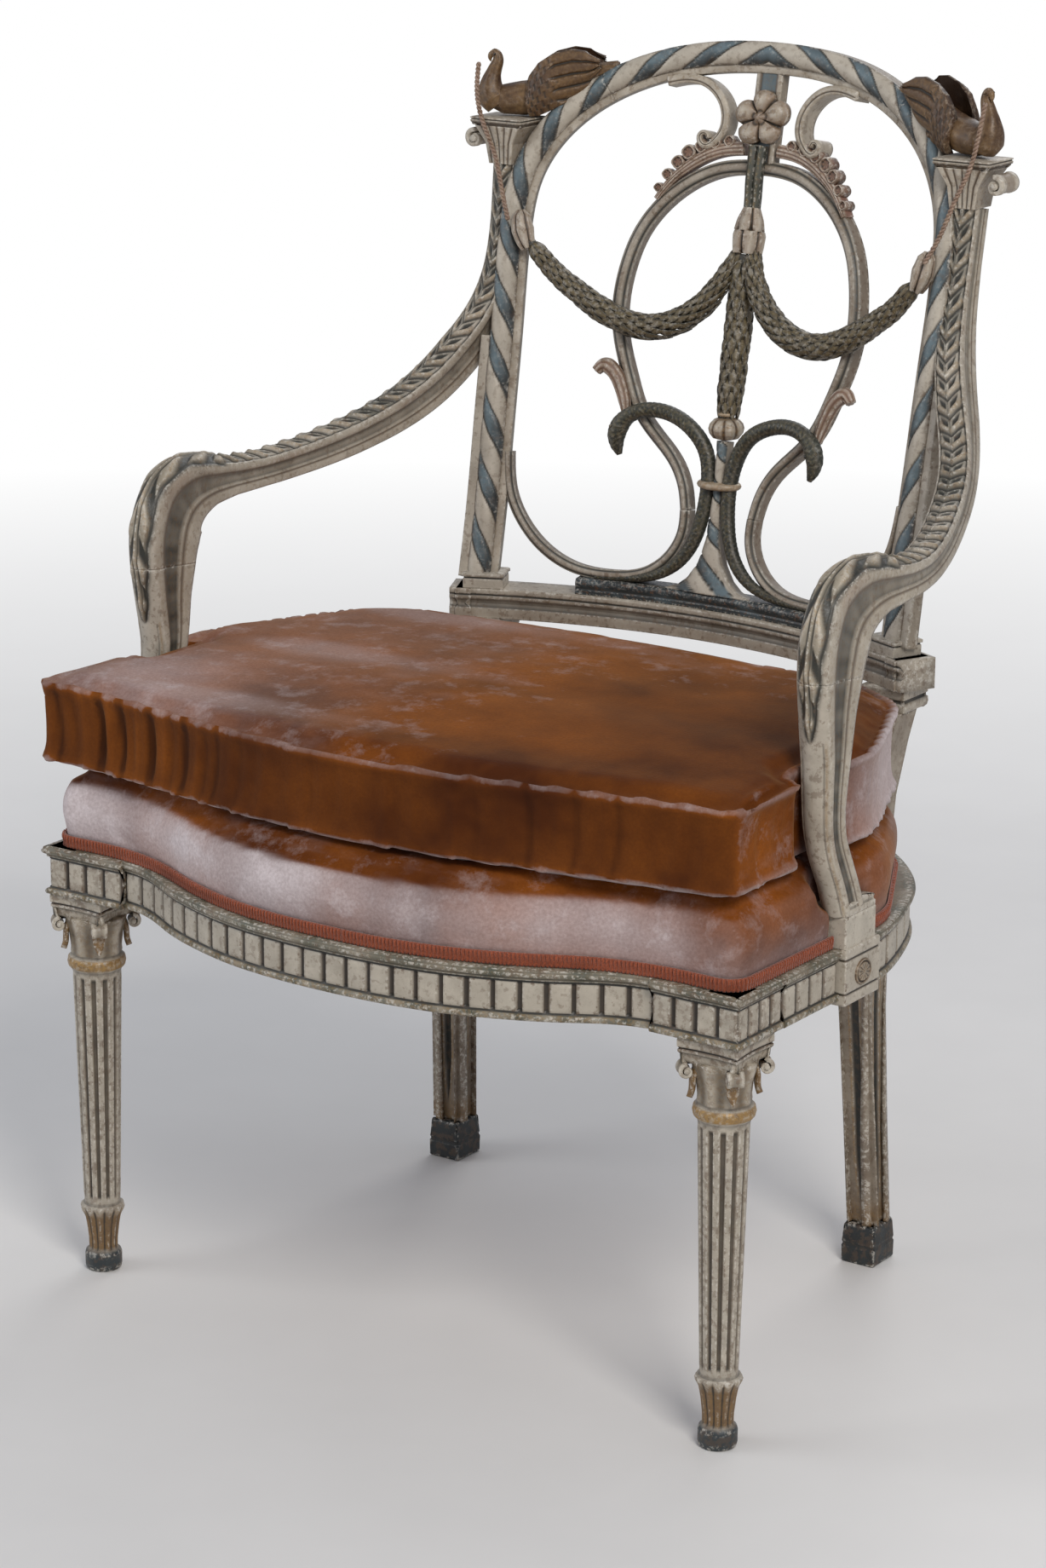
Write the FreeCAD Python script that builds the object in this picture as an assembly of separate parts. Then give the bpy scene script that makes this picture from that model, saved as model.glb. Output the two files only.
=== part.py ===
import FreeCAD, Part
import math
from functools import lru_cache
import os

os.makedirs("parts", exist_ok=True)

# Carved armchair with an openwork back, in millimetres.
# X runs across the chair, Y from front to back, Z up; the floor is Z = 0.
# Left and right are as seen by someone who stands in front of the chair.

# Clearances
JOINT_GAP = 0.15
SOFT_GAP = 0.3
LIFT_GAP = 3.0

# Seat frame
SEAT_HALF_WIDTH = 316.0
CORNER_FRONT_Y = -247.0
CORNER_BLOCK_WIDTH = 73.0
CORNER_BLOCK_DEPTH = 60.0
FRONT_BOW = 63.5
RAIL_TOP = 356.0
RAIL_HEIGHT = 39.0
RAIL_THICKNESS = 26.0
TOP_MOULDING_HEIGHT = 6.0
TOP_MOULDING_PROUD = 4.0
LOWER_BEAD_HEIGHT = 5.0
LOWER_BEAD_PROUD = 2.0
FLUTE_WIDTH = 4.5
FLUTE_DEPTH = 3.0
FLUTE_TOP_MARGIN = 4.0
FRONT_TABLETS = 26
CORNER_TABLETS = 4
SIDE_TABLETS_FRONT = 4
SIDE_TABLETS_REAR = 6
TENON_THICKNESS = 10.0
TENON_LENGTH = 20.0
TENON_SHOULDER = 6.0

# Front legs
FRONT_LEG_INSET = 25.5
ABACUS_SIZE = 51.0
ABACUS_HEIGHT = 19.0
FOOT_DIAMETER = 29.5
FOOT_HEIGHT = 17.0
LEAF_CUP_DIAMETER = 32.0
LEAF_CUP_TOP = 56.0
ANKLE_DIAMETER = 23.0
SHAFT_FOOT_DIAMETER = 28.0
SHAFT_TOP_DIAMETER = 39.0
NECK_RING_DIAMETER = 46.0
NECK_RING_Z = 261.0
NECK_RING_HEIGHT = 8.0
LEG_FLUTES = 12
LEG_FLUTE_RADIUS = 3.0
LEG_VOLUTE_DIAMETER = 13.0

# Rear legs
REAR_LEG_X = 196.0
REAR_LEG_Y = 136.0
REAR_LEG_SIZE = 34.0
REAR_ANKLE_SIZE = 20.0
REAR_FOOT_X = 205.0
REAR_FOOT_Y = 148.0
REAR_FOOT_SIZE = 30.0
REAR_FOOT_HEIGHT = 34.0
REAR_CAP_HEIGHT = 20.0

# Back: every member lies on one raked surface that bows backward in the middle
BACK_Y = 238.0
BACK_DATUM_Z = 600.0
BACK_RAKE = 0.19
BACK_BOW = 40.6
BACK_BOW_HALF = 190.0
CROSS_RAIL_BOTTOM = 475.0
CROSS_RAIL_HEIGHT = 25.0
CROSS_RAIL_DEPTH = 34.0
CROSS_RAIL_HALF = 218.0
CROSS_RAIL_FORWARD = 12.0
SHOE_HALF = 117.0
SHOE_HEIGHT = 13.0
SHOE_DEPTH = 22.0
PLINTH_WIDTH = 34.0
PLINTH_DEPTH = 28.0
PLINTH_HEIGHT = 13.0

# Stiles and crest
STILE_FOOT_X = 195.5
STILE_WAIST_X = 195.5
STILE_X = 200.0
ARCH_SPRING_Z = 800.0
ARCH_RISE = 144.0
ARCH_POWER = 2.3
BAND_WIDTH = 19.0
BAND_DEPTH = 17.0
BAND_FACE = 12.0
BAND_EDGE = 4.0
BOARD_OUTER = 7.5
BOARD_SETBACK = 5.0
BOARD_TOP_Z = 705.0
STRIP_WIDTH = 6.0
STRIP_CROWN = 1.5

# Oval, loops and snakes
TRACERY_FACE = 7.5
OVAL_HALF_WIDTH = 109.5
OVAL_TOP_Z = 854.0
OVAL_PINCH_Z = 577.0
OVAL_WIDTH = 12.0
OVAL_DEPTH = 15.0
LOOP_WIDTH = 9.0
LOOP_DEPTH = 14.0
SNAKE_BODY = 12.5
SNAKE_TAIL = 3.0
SNAKE_HEAD = 15.0
BAND_RING_Z = 601.0
BAND_RING_HALF = 19.0
BAND_RING_HEIGHT = 5.0
BAND_RING_DEPTH = 26.0
SPINDLE_FLARE = 42.0
SPINDLE_WAIST = 4.0

# Middle ornaments
BALL_Z = 646.0
BALL_DIAMETER = 29.0
BALL_HEIGHT = 18.0
DROP_TOP_Z = 785.0
CENTRE_FORWARD = 8.0
DROP_BOTTOM_Z = 662.0
DROP_DIAMETER = 19.0
HUSK_TOP_Z = 822.0
HUSK_DIAMETER = 27.0
RIBBON_WIDTH = 15.0
RIBBON_THICKNESS = 6.0
ROSETTE_Z = 892.0
ROSETTE_RADIUS = 25.0
ROSETTE_THICKNESS = 13.0
BRACKET_WIDTH = 24.0
BRACKET_DEPTH = 12.0
SCROLL_WIDTH = 7.0
SCROLL_DEPTH = 19.0
SCROLL_EYE_DIAMETER = 10.0
SHELL_WIDTH = 9.0
SHELL_DEPTH = 12.0
SWAG_MIDDLE = 17.0
SWAG_END = 8.0
KNOB_DIAMETER = 17.0

# Arms
ARM_WIDTH = 23.0
ARM_DEPTH = 28.0
ARM_STILE_OFFSET = 16.0
ARM_FOOT_FORWARD = 11.0
KNUCKLE_Z = 616.0
ARM_TOP_Y = 238.0
SUPPORT_WIDTH = 24.0
KNUCKLE_DEPTH = 68.0
SUPPORT_FOOT_HEIGHT = 9.0
SUPPORT_FOOT_LENGTH = 42.0
ARM_BLOCK_FRONT_Y = -113.0
ARM_BLOCK_LENGTH = 50.0
ARM_PLINTH_HEIGHT = 24.0
ARM_PLINTH_WIDTH = 26.0
ARM_PLINTH_SETBACK = 2.0
ARM_BLOCK_PROUD = 5.0
ARM_BLOCK_DROP = 4.0
PATERA_RADIUS = 11.5
PATERA_THICKNESS = 3.0
CAPITAL_BASE_Z = 845.0
CAPITAL_TOP_Z = 883.0
CAPITAL_PLATE = 7.0
CAPITAL_OUTER_X = 242.0
CAPITAL_INNER_X = 192.0
CAPITAL_Y = 239.0
CAPITAL_DEPTH = 40.0
VOLUTE_X = 243.0
VOLUTE_Z = 864.0
VOLUTE_DIAMETER = 20.0
VOLUTE_LENGTH = 28.0
BIRD_HEIGHT = 54.0
CORD_WIDTH = 4.0

# Upholstery
STRAP_WIDTH = 50.0
STRAP_THICKNESS = 1.2
PAD_REVEAL = 5.0
PAD_TOP = 420.0
GIMP_HEIGHT = 10.0
GIMP_THICKNESS = 2.5
CUSHION_HALF_WIDTH = 314.0
CUSHION_SHIFT = -7.0
CUSHION_LIFT = 30.0
CUSHION_FRONT_Y = -241.0
CUSHION_BOW = 58.0
CUSHION_BACK_Y = 124.0
CUSHION_BOX_HEIGHT = 68.0
CUSHION_CROWN = 12.0
CUSHION_PINCH = 5.0

# Fastenings
DOWEL_DIAMETER = 8.0
DOWEL_REACH = 22.0
SCREW_DIAMETER = 4.5
BRACE_LEG = 42.0
BRACE_HEIGHT = 26.0

# Corners of a square section in the order of its wire
SQUARE_TURN = ((0, 0), (1, 0), (1, 1), (0, 1))

# Sizes that follow from the ones above
RAIL_BOTTOM = RAIL_TOP - RAIL_HEIGHT
FRONT_LEG_X = SEAT_HALF_WIDTH - FRONT_LEG_INSET
FRONT_LEG_Y = CORNER_FRONT_Y + FRONT_LEG_INSET
BLOCK_INNER_X = SEAT_HALF_WIDTH - CORNER_BLOCK_WIDTH
BLOCK_REAR_Y = CORNER_FRONT_Y + CORNER_BLOCK_DEPTH
CROSS_RAIL_TOP = CROSS_RAIL_BOTTOM + CROSS_RAIL_HEIGHT
SHOE_TOP = CROSS_RAIL_TOP + SHOE_HEIGHT
STILE_BASE_Z = CROSS_RAIL_TOP + PLINTH_HEIGHT
ARM_PLINTH_TOP = RAIL_TOP + ARM_PLINTH_HEIGHT
ARM_BLOCK_Y = ARM_BLOCK_FRONT_Y + ARM_BLOCK_LENGTH / 2
WEB_TOP = RAIL_TOP + 2 * STRAP_THICKNESS
CUSHION_BOTTOM = PAD_TOP + SOFT_GAP
CUSHION_TOP_EDGE = CUSHION_BOTTOM + CUSHION_BOX_HEIGHT

# Outlines as fractions of the sizes above
SERPENTINE = [(0.0, 1.0), (0.2, 0.968), (0.395, 0.85), (0.547, 0.669), (0.72, 0.378), (0.918, -0.016),
              (1.0, -0.08)]
SIDE_CURVE = [(0.0, 1.0), (0.175, 1.01), (0.337, 1.019), (0.514, 1.019), (0.653, 0.893), (0.804, 0.66),
              (0.906, 0.379), (1.0, 0.0)]
OVAL_CURVE = [(0.0, 1.0), (0.31, 0.987), (0.53, 0.95), (0.735, 0.885), (0.895, 0.794), (0.98, 0.68),
              (1.0, 0.588), (0.96, 0.475), (0.86, 0.365), (0.745, 0.27), (0.6, 0.205), (0.43, 0.137),
              (0.325, 0.06), (0.29, 0.0)]

# Arm and support as (across, along, height, width, depth). Across runs from the stile to the plinth of
# the support and along from the top of the arm to that plinth. Height runs from the knuckle up to the
# capital in the first list and from the plinth up to the knuckle in the second. Width and depth are
# shares of the arm and of the knuckle.
ARM_CURVE = [(0.0, 0.0, 1.0, 0.913, 0.893), (-0.016, 0.018, 0.803, 0.913, 0.893),
             (-0.011, 0.042, 0.62, 0.957, 1.0), (0.064, 0.08, 0.463, 1.0, 1.179),
             (0.202, 0.134, 0.332, 1.043, 1.321), (0.351, 0.196, 0.227, 1.043, 1.25),
             (0.489, 0.273, 0.148, 1.043, 1.143), (0.617, 0.365, 0.092, 1.043, 1.071),
             (0.745, 0.469, 0.048, 1.043, 1.036), (0.862, 0.576, 0.017, 1.043, 1.0),
             (0.947, 0.68, 0.0, 1.043, 1.0), (0.984, 0.783, -0.002, 1.043, 1.107)]
SUPPORT_CURVE = [(0.979, 0.866, 1.0, 1.0, 0.56), (0.968, 0.947, 0.987, 1.0, 0.8),
                 (0.957, 1.006, 0.941, 1.0, 1.0),
                 (0.952, 1.042, 0.839, 1.042, 0.96), (0.947, 1.05, 0.737, 1.042, 0.84),
                 (0.941, 1.053, 0.644, 1.042, 0.69), (0.936, 1.053, 0.5, 1.042, 0.53),
                 (0.947, 1.062, 0.369, 1.0, 0.44), (0.968, 1.056, 0.233, 0.917, 0.41),
                 (1.0, 1.027, 0.114, 0.875, 0.41), (1.021, 1.0, 0.0, 0.875, 0.44)]


def vec(x, y, z):
    return FreeCAD.Vector(x, y, z)


X_AXIS = vec(1, 0, 0)
Y_AXIS = vec(0, 1, 0)
Z_AXIS = vec(0, 0, 1)


def mirrored(shape):
    return shape.mirror(vec(0, 0, 0), X_AXIS)


def box(x0, x1, y0, y1, z0, z1):
    return Part.makeBox(x1 - x0, y1 - y0, z1 - z0, vec(x0, y0, z0))


def rod(start, axis, radius, length):
    return Part.makeCylinder(radius, length, start, axis)


def joined(shapes):
    shape = shapes[0].multiFuse(shapes[1:]) if len(shapes) > 1 else shapes[0]
    return shape.removeSplitter()


def spline(points):
    curve = Part.BSplineCurve()
    curve.interpolate(points)
    return curve


def revolved(profile, centre):
    """Turn a list of (radius, height) pairs about the vertical through centre."""
    points = [vec(0, 0, profile[0][1])] + [vec(r, 0, z) for r, z in profile] + [vec(0, 0, profile[-1][1])]
    face = Part.Face(Part.makePolygon(points + [points[0]]))
    solid = face.revolve(vec(0, 0, 0), Z_AXIS, 360)
    solid.translate(centre)
    return solid


# The surface that carries the back

def surface_y(x, z):
    return BACK_Y + BACK_RAKE * (z - BACK_DATUM_Z) - BACK_BOW * (x / BACK_BOW_HALF) ** 2


def on_back(x, z, forward=0.0):
    return vec(x, surface_y(x, z) - forward, z)


def back_normal(point):
    slope_x = -2 * BACK_BOW * point.x / BACK_BOW_HALF ** 2
    return vec(slope_x, -1, BACK_RAKE).normalize()


def arm_normal(point):
    return X_AXIS


# Sections and the members drawn along a path

def bar_section(centre, across, out, width, depth):
    """A bar with flat back and sides and a rounded face."""
    crown = min(width, depth) * 0.35

    def at(b, n):
        return centre + across * b + out * n

    back_left = at(-width / 2, -depth / 2)
    back_right = at(width / 2, -depth / 2)
    face_right = at(width / 2, depth / 2 - crown)
    face_left = at(-width / 2, depth / 2 - crown)
    edges = [Part.makeLine(back_left, back_right), Part.makeLine(back_right, face_right),
             Part.Arc(face_right, at(0, depth / 2), face_left).toShape(), Part.makeLine(face_left, back_left)]
    return Part.Wire(edges)


def box_section(centre, across, out, width, depth):
    """A plain rectangular section."""
    corners = [centre + across * (b * width / 2) + out * (n * depth / 2)
               for b, n in ((-1, -1), (1, -1), (1, 1), (-1, 1))]
    return Part.Wire([Part.makeLine(corners[i], corners[(i + 1) % 4]) for i in range(4)])


def round_section(centre, across, out, width, depth):
    """An oval section of four arcs."""
    def at(turn):
        angle = math.radians(turn)
        return centre + across * (width / 2 * math.cos(angle)) + out * (depth / 2 * math.sin(angle))

    edges = [Part.Arc(at(turn), at(turn + 45), at(turn + 90)).toShape() for turn in (0, 90, 180, 270)]
    return Part.Wire(edges)


def between(values, fraction):
    """Read a list of evenly spaced sizes at a fraction of the way along."""
    place = fraction * (len(values) - 1)
    index = min(int(place), len(values) - 2)
    return values[index] + (values[index + 1] - values[index]) * (place - index)


def stations(points, normal_of, count):
    """Evenly spaced places along a smooth path, each with its frame."""
    curve = spline(points)
    places = curve.discretize(Number=count)
    frames = []
    for place in places:
        tangent = curve.tangent(curve.parameter(place))[0]
        hint = normal_of(place)
        if normal_of is arm_normal:
            out = hint.cross(tangent).normalize()
        else:
            out = (hint - tangent * hint.dot(tangent)).normalize()
        frames.append((place, tangent.cross(out), out))
    return frames


def skin(frames, widths, depths, section, grow=0.0, setback=None):
    """A solid through one section at each frame; grow makes a copy larger all round.

    With a setback the frames lie that far in front of the face of the member.
    """
    wires = []
    for index, (place, across, out) in enumerate(frames):
        fraction = index / (len(frames) - 1)
        width = between(widths, fraction)
        depth = between(depths, fraction)
        centre = place if setback is None else place - out * (setback + depth / 2)
        wires.append(section(centre, across, out, width + 2 * grow, depth + 2 * grow))
    return Part.makeLoft(wires, True, False, False)


def back_member(outline, face, widths, depths, section, count, grow=0.0):
    """A member of the back, its face drawn through (x, z) pairs."""
    frames = stations([on_back(x, z, face) for x, z in outline], back_normal, count)
    return skin(frames, widths, depths, section, grow, 0.0)


# Plan outlines

def front_curve_points(offset):
    right = [vec(BLOCK_INNER_X * u, CORNER_FRONT_Y - FRONT_BOW * v + offset, 0) for u, v in SERPENTINE]
    left = [vec(-p.x, p.y, 0) for p in reversed(right[1:])]
    return left + right


def side_curve_points(offset):
    outer_rear_x = REAR_LEG_X + REAR_LEG_SIZE / 2
    length = REAR_LEG_Y - CORNER_FRONT_Y
    return [vec(outer_rear_x + (SEAT_HALF_WIDTH - outer_rear_x) * u + offset, CORNER_FRONT_Y + length * v, 0)
            for v, u in SIDE_CURVE]


def slab(outer, inner, z0, z1):
    """A slab between two plan curves that run the same way."""
    edges = [spline(outer).toShape(), Part.makeLine(outer[-1], inner[-1]),
             spline(inner).toShape(), Part.makeLine(inner[0], outer[0])]
    face = Part.Face(Part.Wire(Part.__sortEdges__(edges)))
    face.translate(vec(0, 0, z0))
    return face.extrude(vec(0, 0, z1 - z0))


def rounded_outline(corners, z):
    """A closed wire of lines and arcs through (x, y, radius) corners, given for the right half."""
    left = [(-x, y, r) for x, y, r in reversed(corners) if x > 0]
    ring = corners + left
    count = len(ring)
    starts, arcs = [], []
    for i, (x, y, radius) in enumerate(ring):
        here = vec(x, y, z)
        before = vec(ring[i - 1][0], ring[i - 1][1], z)
        after = vec(ring[(i + 1) % count][0], ring[(i + 1) % count][1], z)
        back = (before - here).normalize()
        ahead = (after - here).normalize()
        half = back.getAngle(ahead) / 2
        reach = radius / math.tan(half)
        middle = here + (back + ahead).normalize() * (radius / math.sin(half) - radius)
        starts.append((here + back * reach, here + ahead * reach))
        arcs.append(Part.Arc(here + back * reach, middle, here + ahead * reach).toShape())
    edges = []
    for i in range(count):
        edges.append(arcs[i])
        edges.append(Part.makeLine(starts[i][1], starts[(i + 1) % count][0]))
    return Part.Wire(edges)


def scaled(corners, inset):
    """The same corners drawn in towards the middle of the seat by about inset."""
    half = max(x for x, y, r in corners)
    low = min(y for x, y, r in corners)
    high = max(y for x, y, r in corners)
    middle = (low + high) / 2
    kx = 1 - inset / half
    ky = 1 - inset / ((high - low) / 2)
    return [(x * kx, middle + (y - middle) * ky, r * min(kx, ky)) for x, y, r in corners]


def pillow(corners, layers):
    """A soft solid through the same outline at (height, inset) layers."""
    wires = [rounded_outline(scaled(corners, inset), z) for z, inset in layers]
    return Part.makeLoft(wires, True, True, False)


# Seat frame

def leg_block_box(grow=0.0):
    return box(BLOCK_INNER_X - grow, SEAT_HALF_WIDTH + grow, CORNER_FRONT_Y - grow, BLOCK_REAR_Y + grow,
               RAIL_BOTTOM, RAIL_TOP)


def rear_leg_box(grow=0.0, top=RAIL_TOP):
    half = REAR_LEG_SIZE / 2 + grow
    return box(REAR_LEG_X - half, REAR_LEG_X + half, REAR_LEG_Y - half, REAR_LEG_Y + half, RAIL_BOTTOM, top)


def groove(point, direction):
    """A flute between two tablets, cut into a rail face at point."""
    z0 = RAIL_BOTTOM + LOWER_BEAD_HEIGHT
    z1 = RAIL_TOP - TOP_MOULDING_HEIGHT - FLUTE_TOP_MARGIN
    tool = box(-FLUTE_WIDTH / 2, FLUTE_WIDTH / 2, -FLUTE_DEPTH, FLUTE_DEPTH, z0, z1)
    tool.rotate(vec(0, 0, 0), Z_AXIS, math.degrees(math.atan2(direction.y, direction.x)))
    tool.translate(vec(point.x, point.y, 0))
    return tool


def straight_grooves(start, end, count):
    step = (end - start) / count
    return [groove(start + step * i, step) for i in range(1, count)]


def front_tenon(grow=0.0):
    """The tenon of the front rail in the right-hand corner block."""
    y0 = CORNER_FRONT_Y + RAIL_THICKNESS / 2
    return box(BLOCK_INNER_X - 1, BLOCK_INNER_X + TENON_LENGTH + grow, y0 - TENON_THICKNESS / 2 - grow,
               y0 + TENON_THICKNESS / 2 + grow, RAIL_BOTTOM + TENON_SHOULDER - grow,
               RAIL_TOP - TENON_SHOULDER - TOP_MOULDING_HEIGHT + grow)


def side_tenon(grow=0.0):
    """The tenon of the side rail in the back of the right-hand corner block."""
    x0 = SEAT_HALF_WIDTH - RAIL_THICKNESS / 2
    return box(x0 - TENON_THICKNESS / 2 - grow, x0 + TENON_THICKNESS / 2 + grow,
               BLOCK_REAR_Y - TENON_LENGTH - grow, BLOCK_REAR_Y + 1, RAIL_BOTTOM + TENON_SHOULDER - grow,
               RAIL_TOP - TENON_SHOULDER - TOP_MOULDING_HEIGHT + grow)


def rear_tenon(grow=0.0):
    """The tenon of the back rail in the right-hand rear leg."""
    inner_x = REAR_LEG_X - REAR_LEG_SIZE / 2
    return box(inner_x - 1, inner_x + TENON_LENGTH + grow, REAR_LEG_Y - TENON_THICKNESS / 2 - grow,
               REAR_LEG_Y + TENON_THICKNESS / 2 + grow, RAIL_BOTTOM + TENON_SHOULDER - grow,
               RAIL_TOP - TENON_SHOULDER - TOP_MOULDING_HEIGHT + grow)


def front_rail():
    outer = front_curve_points(0)
    inner = front_curve_points(RAIL_THICKNESS)
    layers = [slab(outer, inner, RAIL_BOTTOM, RAIL_TOP),
              slab(front_curve_points(-TOP_MOULDING_PROUD), inner, RAIL_TOP - TOP_MOULDING_HEIGHT, RAIL_TOP),
              slab(front_curve_points(-LOWER_BEAD_PROUD), inner, RAIL_BOTTOM,
                   RAIL_BOTTOM + LOWER_BEAD_HEIGHT)]
    rail = joined(layers)
    curve = spline(outer)
    places = curve.discretize(Number=FRONT_TABLETS + 1)[1:-1]
    rail = rail.cut(Part.makeCompound([groove(p, curve.tangent(curve.parameter(p))[0]) for p in places]))
    return joined([rail, front_tenon(), mirrored(front_tenon())])


def arm_block():
    """The tablet on the side rail and the plinth above it that carries the arm support."""
    x1 = SEAT_HALF_WIDTH + TOP_MOULDING_PROUD + ARM_BLOCK_PROUD
    y0 = ARM_BLOCK_FRONT_Y
    y1 = ARM_BLOCK_FRONT_Y + ARM_BLOCK_LENGTH
    tablet = box(SEAT_HALF_WIDTH - RAIL_THICKNESS, x1, y0, y1, RAIL_BOTTOM - ARM_BLOCK_DROP, RAIL_TOP)
    foot = box(x1 - 2 - ARM_PLINTH_WIDTH, x1 - 2, y0 + 2, y1 - 4, RAIL_TOP, ARM_PLINTH_TOP)
    return joined([tablet, foot])


def side_rail():
    inner = side_curve_points(-RAIL_THICKNESS)
    top = slab(side_curve_points(TOP_MOULDING_PROUD), inner, RAIL_TOP - TOP_MOULDING_HEIGHT, RAIL_TOP)
    bead = slab(side_curve_points(LOWER_BEAD_PROUD), inner, RAIL_BOTTOM, RAIL_BOTTOM + LOWER_BEAD_HEIGHT)
    rail = joined([slab(side_curve_points(0), inner, RAIL_BOTTOM, RAIL_TOP), top, bead])
    curve = spline(side_curve_points(0))
    grooves = []
    block_rear = ARM_BLOCK_FRONT_Y + ARM_BLOCK_LENGTH
    reaches = [(BLOCK_REAR_Y, ARM_BLOCK_FRONT_Y, SIDE_TABLETS_FRONT),
               (block_rear, REAR_LEG_Y - REAR_LEG_SIZE, SIDE_TABLETS_REAR)]
    for low, high, count in reaches:
        for i in range(1, count):
            y = low + (high - low) * i / count
            near = curve.intersect(Part.Line(vec(0, y, 0), vec(1, y, 0)))
            point = vec(near[0].X, near[0].Y, 0)
            grooves.append(groove(point, curve.tangent(curve.parameter(point))[0]))
    rail = rail.cut(Part.makeCompound(grooves))
    reach = box(0, 2 * SEAT_HALF_WIDTH, BLOCK_REAR_Y, REAR_LEG_Y, 0, RAIL_TOP)
    rail = rail.common(reach).cut(rear_leg_box())
    return joined([rail, arm_block(), side_tenon()])


def back_rail():
    inner_x = REAR_LEG_X - REAR_LEG_SIZE / 2
    y0 = REAR_LEG_Y - RAIL_THICKNESS / 2
    rail = box(-inner_x, inner_x, y0, y0 + RAIL_THICKNESS, RAIL_BOTTOM, RAIL_TOP)
    return joined([rail, rear_tenon(), mirrored(rear_tenon())])


def patera():
    """An oval rosette on the outside of the arm block."""
    x0 = SEAT_HALF_WIDTH + TOP_MOULDING_PROUD + ARM_BLOCK_PROUD
    y0 = ARM_BLOCK_Y
    z0 = (RAIL_TOP + RAIL_BOTTOM - ARM_BLOCK_DROP) / 2
    disc = rod(vec(x0, y0, z0), X_AXIS, PATERA_RADIUS, PATERA_THICKNESS * 0.5)
    boss = Part.makeCone(PATERA_RADIUS * 0.8, PATERA_RADIUS * 0.5, PATERA_THICKNESS * 0.5,
                         vec(x0 + PATERA_THICKNESS * 0.5, y0, z0), X_AXIS)
    eye = rod(vec(x0 + PATERA_THICKNESS, y0, z0), X_AXIS, PATERA_RADIUS * 0.3, PATERA_THICKNESS * 0.3)
    return joined([disc, boss, eye])


# Legs

def front_leg():
    abacus_bottom = RAIL_BOTTOM - ABACUS_HEIGHT
    ring_low = NECK_RING_Z - NECK_RING_HEIGHT / 2
    ring_high = NECK_RING_Z + NECK_RING_HEIGHT / 2
    profile = [(FOOT_DIAMETER / 2 - 2, 0), (FOOT_DIAMETER / 2, 3), (FOOT_DIAMETER / 2, FOOT_HEIGHT - 3),
               (ANKLE_DIAMETER / 2, FOOT_HEIGHT), (ANKLE_DIAMETER / 2, LEAF_CUP_TOP - 26),
               (LEAF_CUP_DIAMETER / 2, LEAF_CUP_TOP - 3), (LEAF_CUP_DIAMETER / 2 - 1, LEAF_CUP_TOP),
               (SHAFT_FOOT_DIAMETER / 2, LEAF_CUP_TOP + 1), (SHAFT_TOP_DIAMETER / 2, ring_low - 2),
               (NECK_RING_DIAMETER / 2 - 2, ring_low), (NECK_RING_DIAMETER / 2, NECK_RING_Z),
               (NECK_RING_DIAMETER / 2 - 2, ring_high), (SHAFT_TOP_DIAMETER / 2 - 1, ring_high + 2),
               (SHAFT_TOP_DIAMETER / 2 + 3, abacus_bottom - 4), (ABACUS_SIZE / 2 - 3, abacus_bottom)]
    centre = vec(FRONT_LEG_X, FRONT_LEG_Y, 0)
    shaft = revolved(profile, centre)
    flutes = []
    low_radius = SHAFT_FOOT_DIAMETER / 2 + LEG_FLUTE_RADIUS * 0.35
    high_radius = SHAFT_TOP_DIAMETER / 2 + LEG_FLUTE_RADIUS * 0.35
    for i in range(LEG_FLUTES):
        angle = 2 * math.pi * (i + 0.5) / LEG_FLUTES
        ray = vec(math.cos(angle), math.sin(angle), 0)
        start = centre + ray * low_radius + vec(0, 0, LEAF_CUP_TOP + 6)
        end = centre + ray * high_radius + vec(0, 0, ring_low - 8)
        flutes.append(rod(start, end - start, LEG_FLUTE_RADIUS, (end - start).Length))
    shaft = shaft.cut(Part.makeCompound(flutes))
    half = ABACUS_SIZE / 2
    upper = box(FRONT_LEG_X - half, FRONT_LEG_X + half, FRONT_LEG_Y - half, FRONT_LEG_Y + half,
                RAIL_BOTTOM - ABACUS_HEIGHT * 0.6, RAIL_BOTTOM)
    lower = box(FRONT_LEG_X - half + 2, FRONT_LEG_X + half - 2, FRONT_LEG_Y - half + 2,
                FRONT_LEG_Y + half - 2,
                abacus_bottom, RAIL_BOTTOM - ABACUS_HEIGHT * 0.6)
    scrolls = []
    for sx in (-1, 1):
        for sy in (-1, 1):
            place = vec(FRONT_LEG_X + sx * (half - 1), FRONT_LEG_Y + sy * (half - 1),
                        abacus_bottom - LEG_VOLUTE_DIAMETER / 2 + 2)
            axis = vec(sx, -sy, 0).normalize()
            scrolls.append(rod(place - axis * 6, axis, LEG_VOLUTE_DIAMETER / 2, 12))
    block = leg_block_box()
    band = box(BLOCK_INNER_X, SEAT_HALF_WIDTH + TOP_MOULDING_PROUD, CORNER_FRONT_Y - TOP_MOULDING_PROUD,
               BLOCK_REAR_Y, RAIL_TOP - TOP_MOULDING_HEIGHT, RAIL_TOP)
    bead = box(BLOCK_INNER_X, SEAT_HALF_WIDTH + LOWER_BEAD_PROUD, CORNER_FRONT_Y - LOWER_BEAD_PROUD,
               BLOCK_REAR_Y, RAIL_BOTTOM, RAIL_BOTTOM + LOWER_BEAD_HEIGHT)
    leg = joined([shaft, lower, upper, block, band, bead] + scrolls)
    front_left = vec(BLOCK_INNER_X, CORNER_FRONT_Y, 0)
    front_right = vec(SEAT_HALF_WIDTH, CORNER_FRONT_Y, 0)
    rear_right = vec(SEAT_HALF_WIDTH, BLOCK_REAR_Y, 0)
    grooves = straight_grooves(front_left, front_right, CORNER_TABLETS)
    grooves += straight_grooves(front_right, rear_right, CORNER_TABLETS)
    return leg.cut(Part.makeCompound(grooves + [front_tenon(JOINT_GAP), side_tenon(JOINT_GAP)]))


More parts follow.
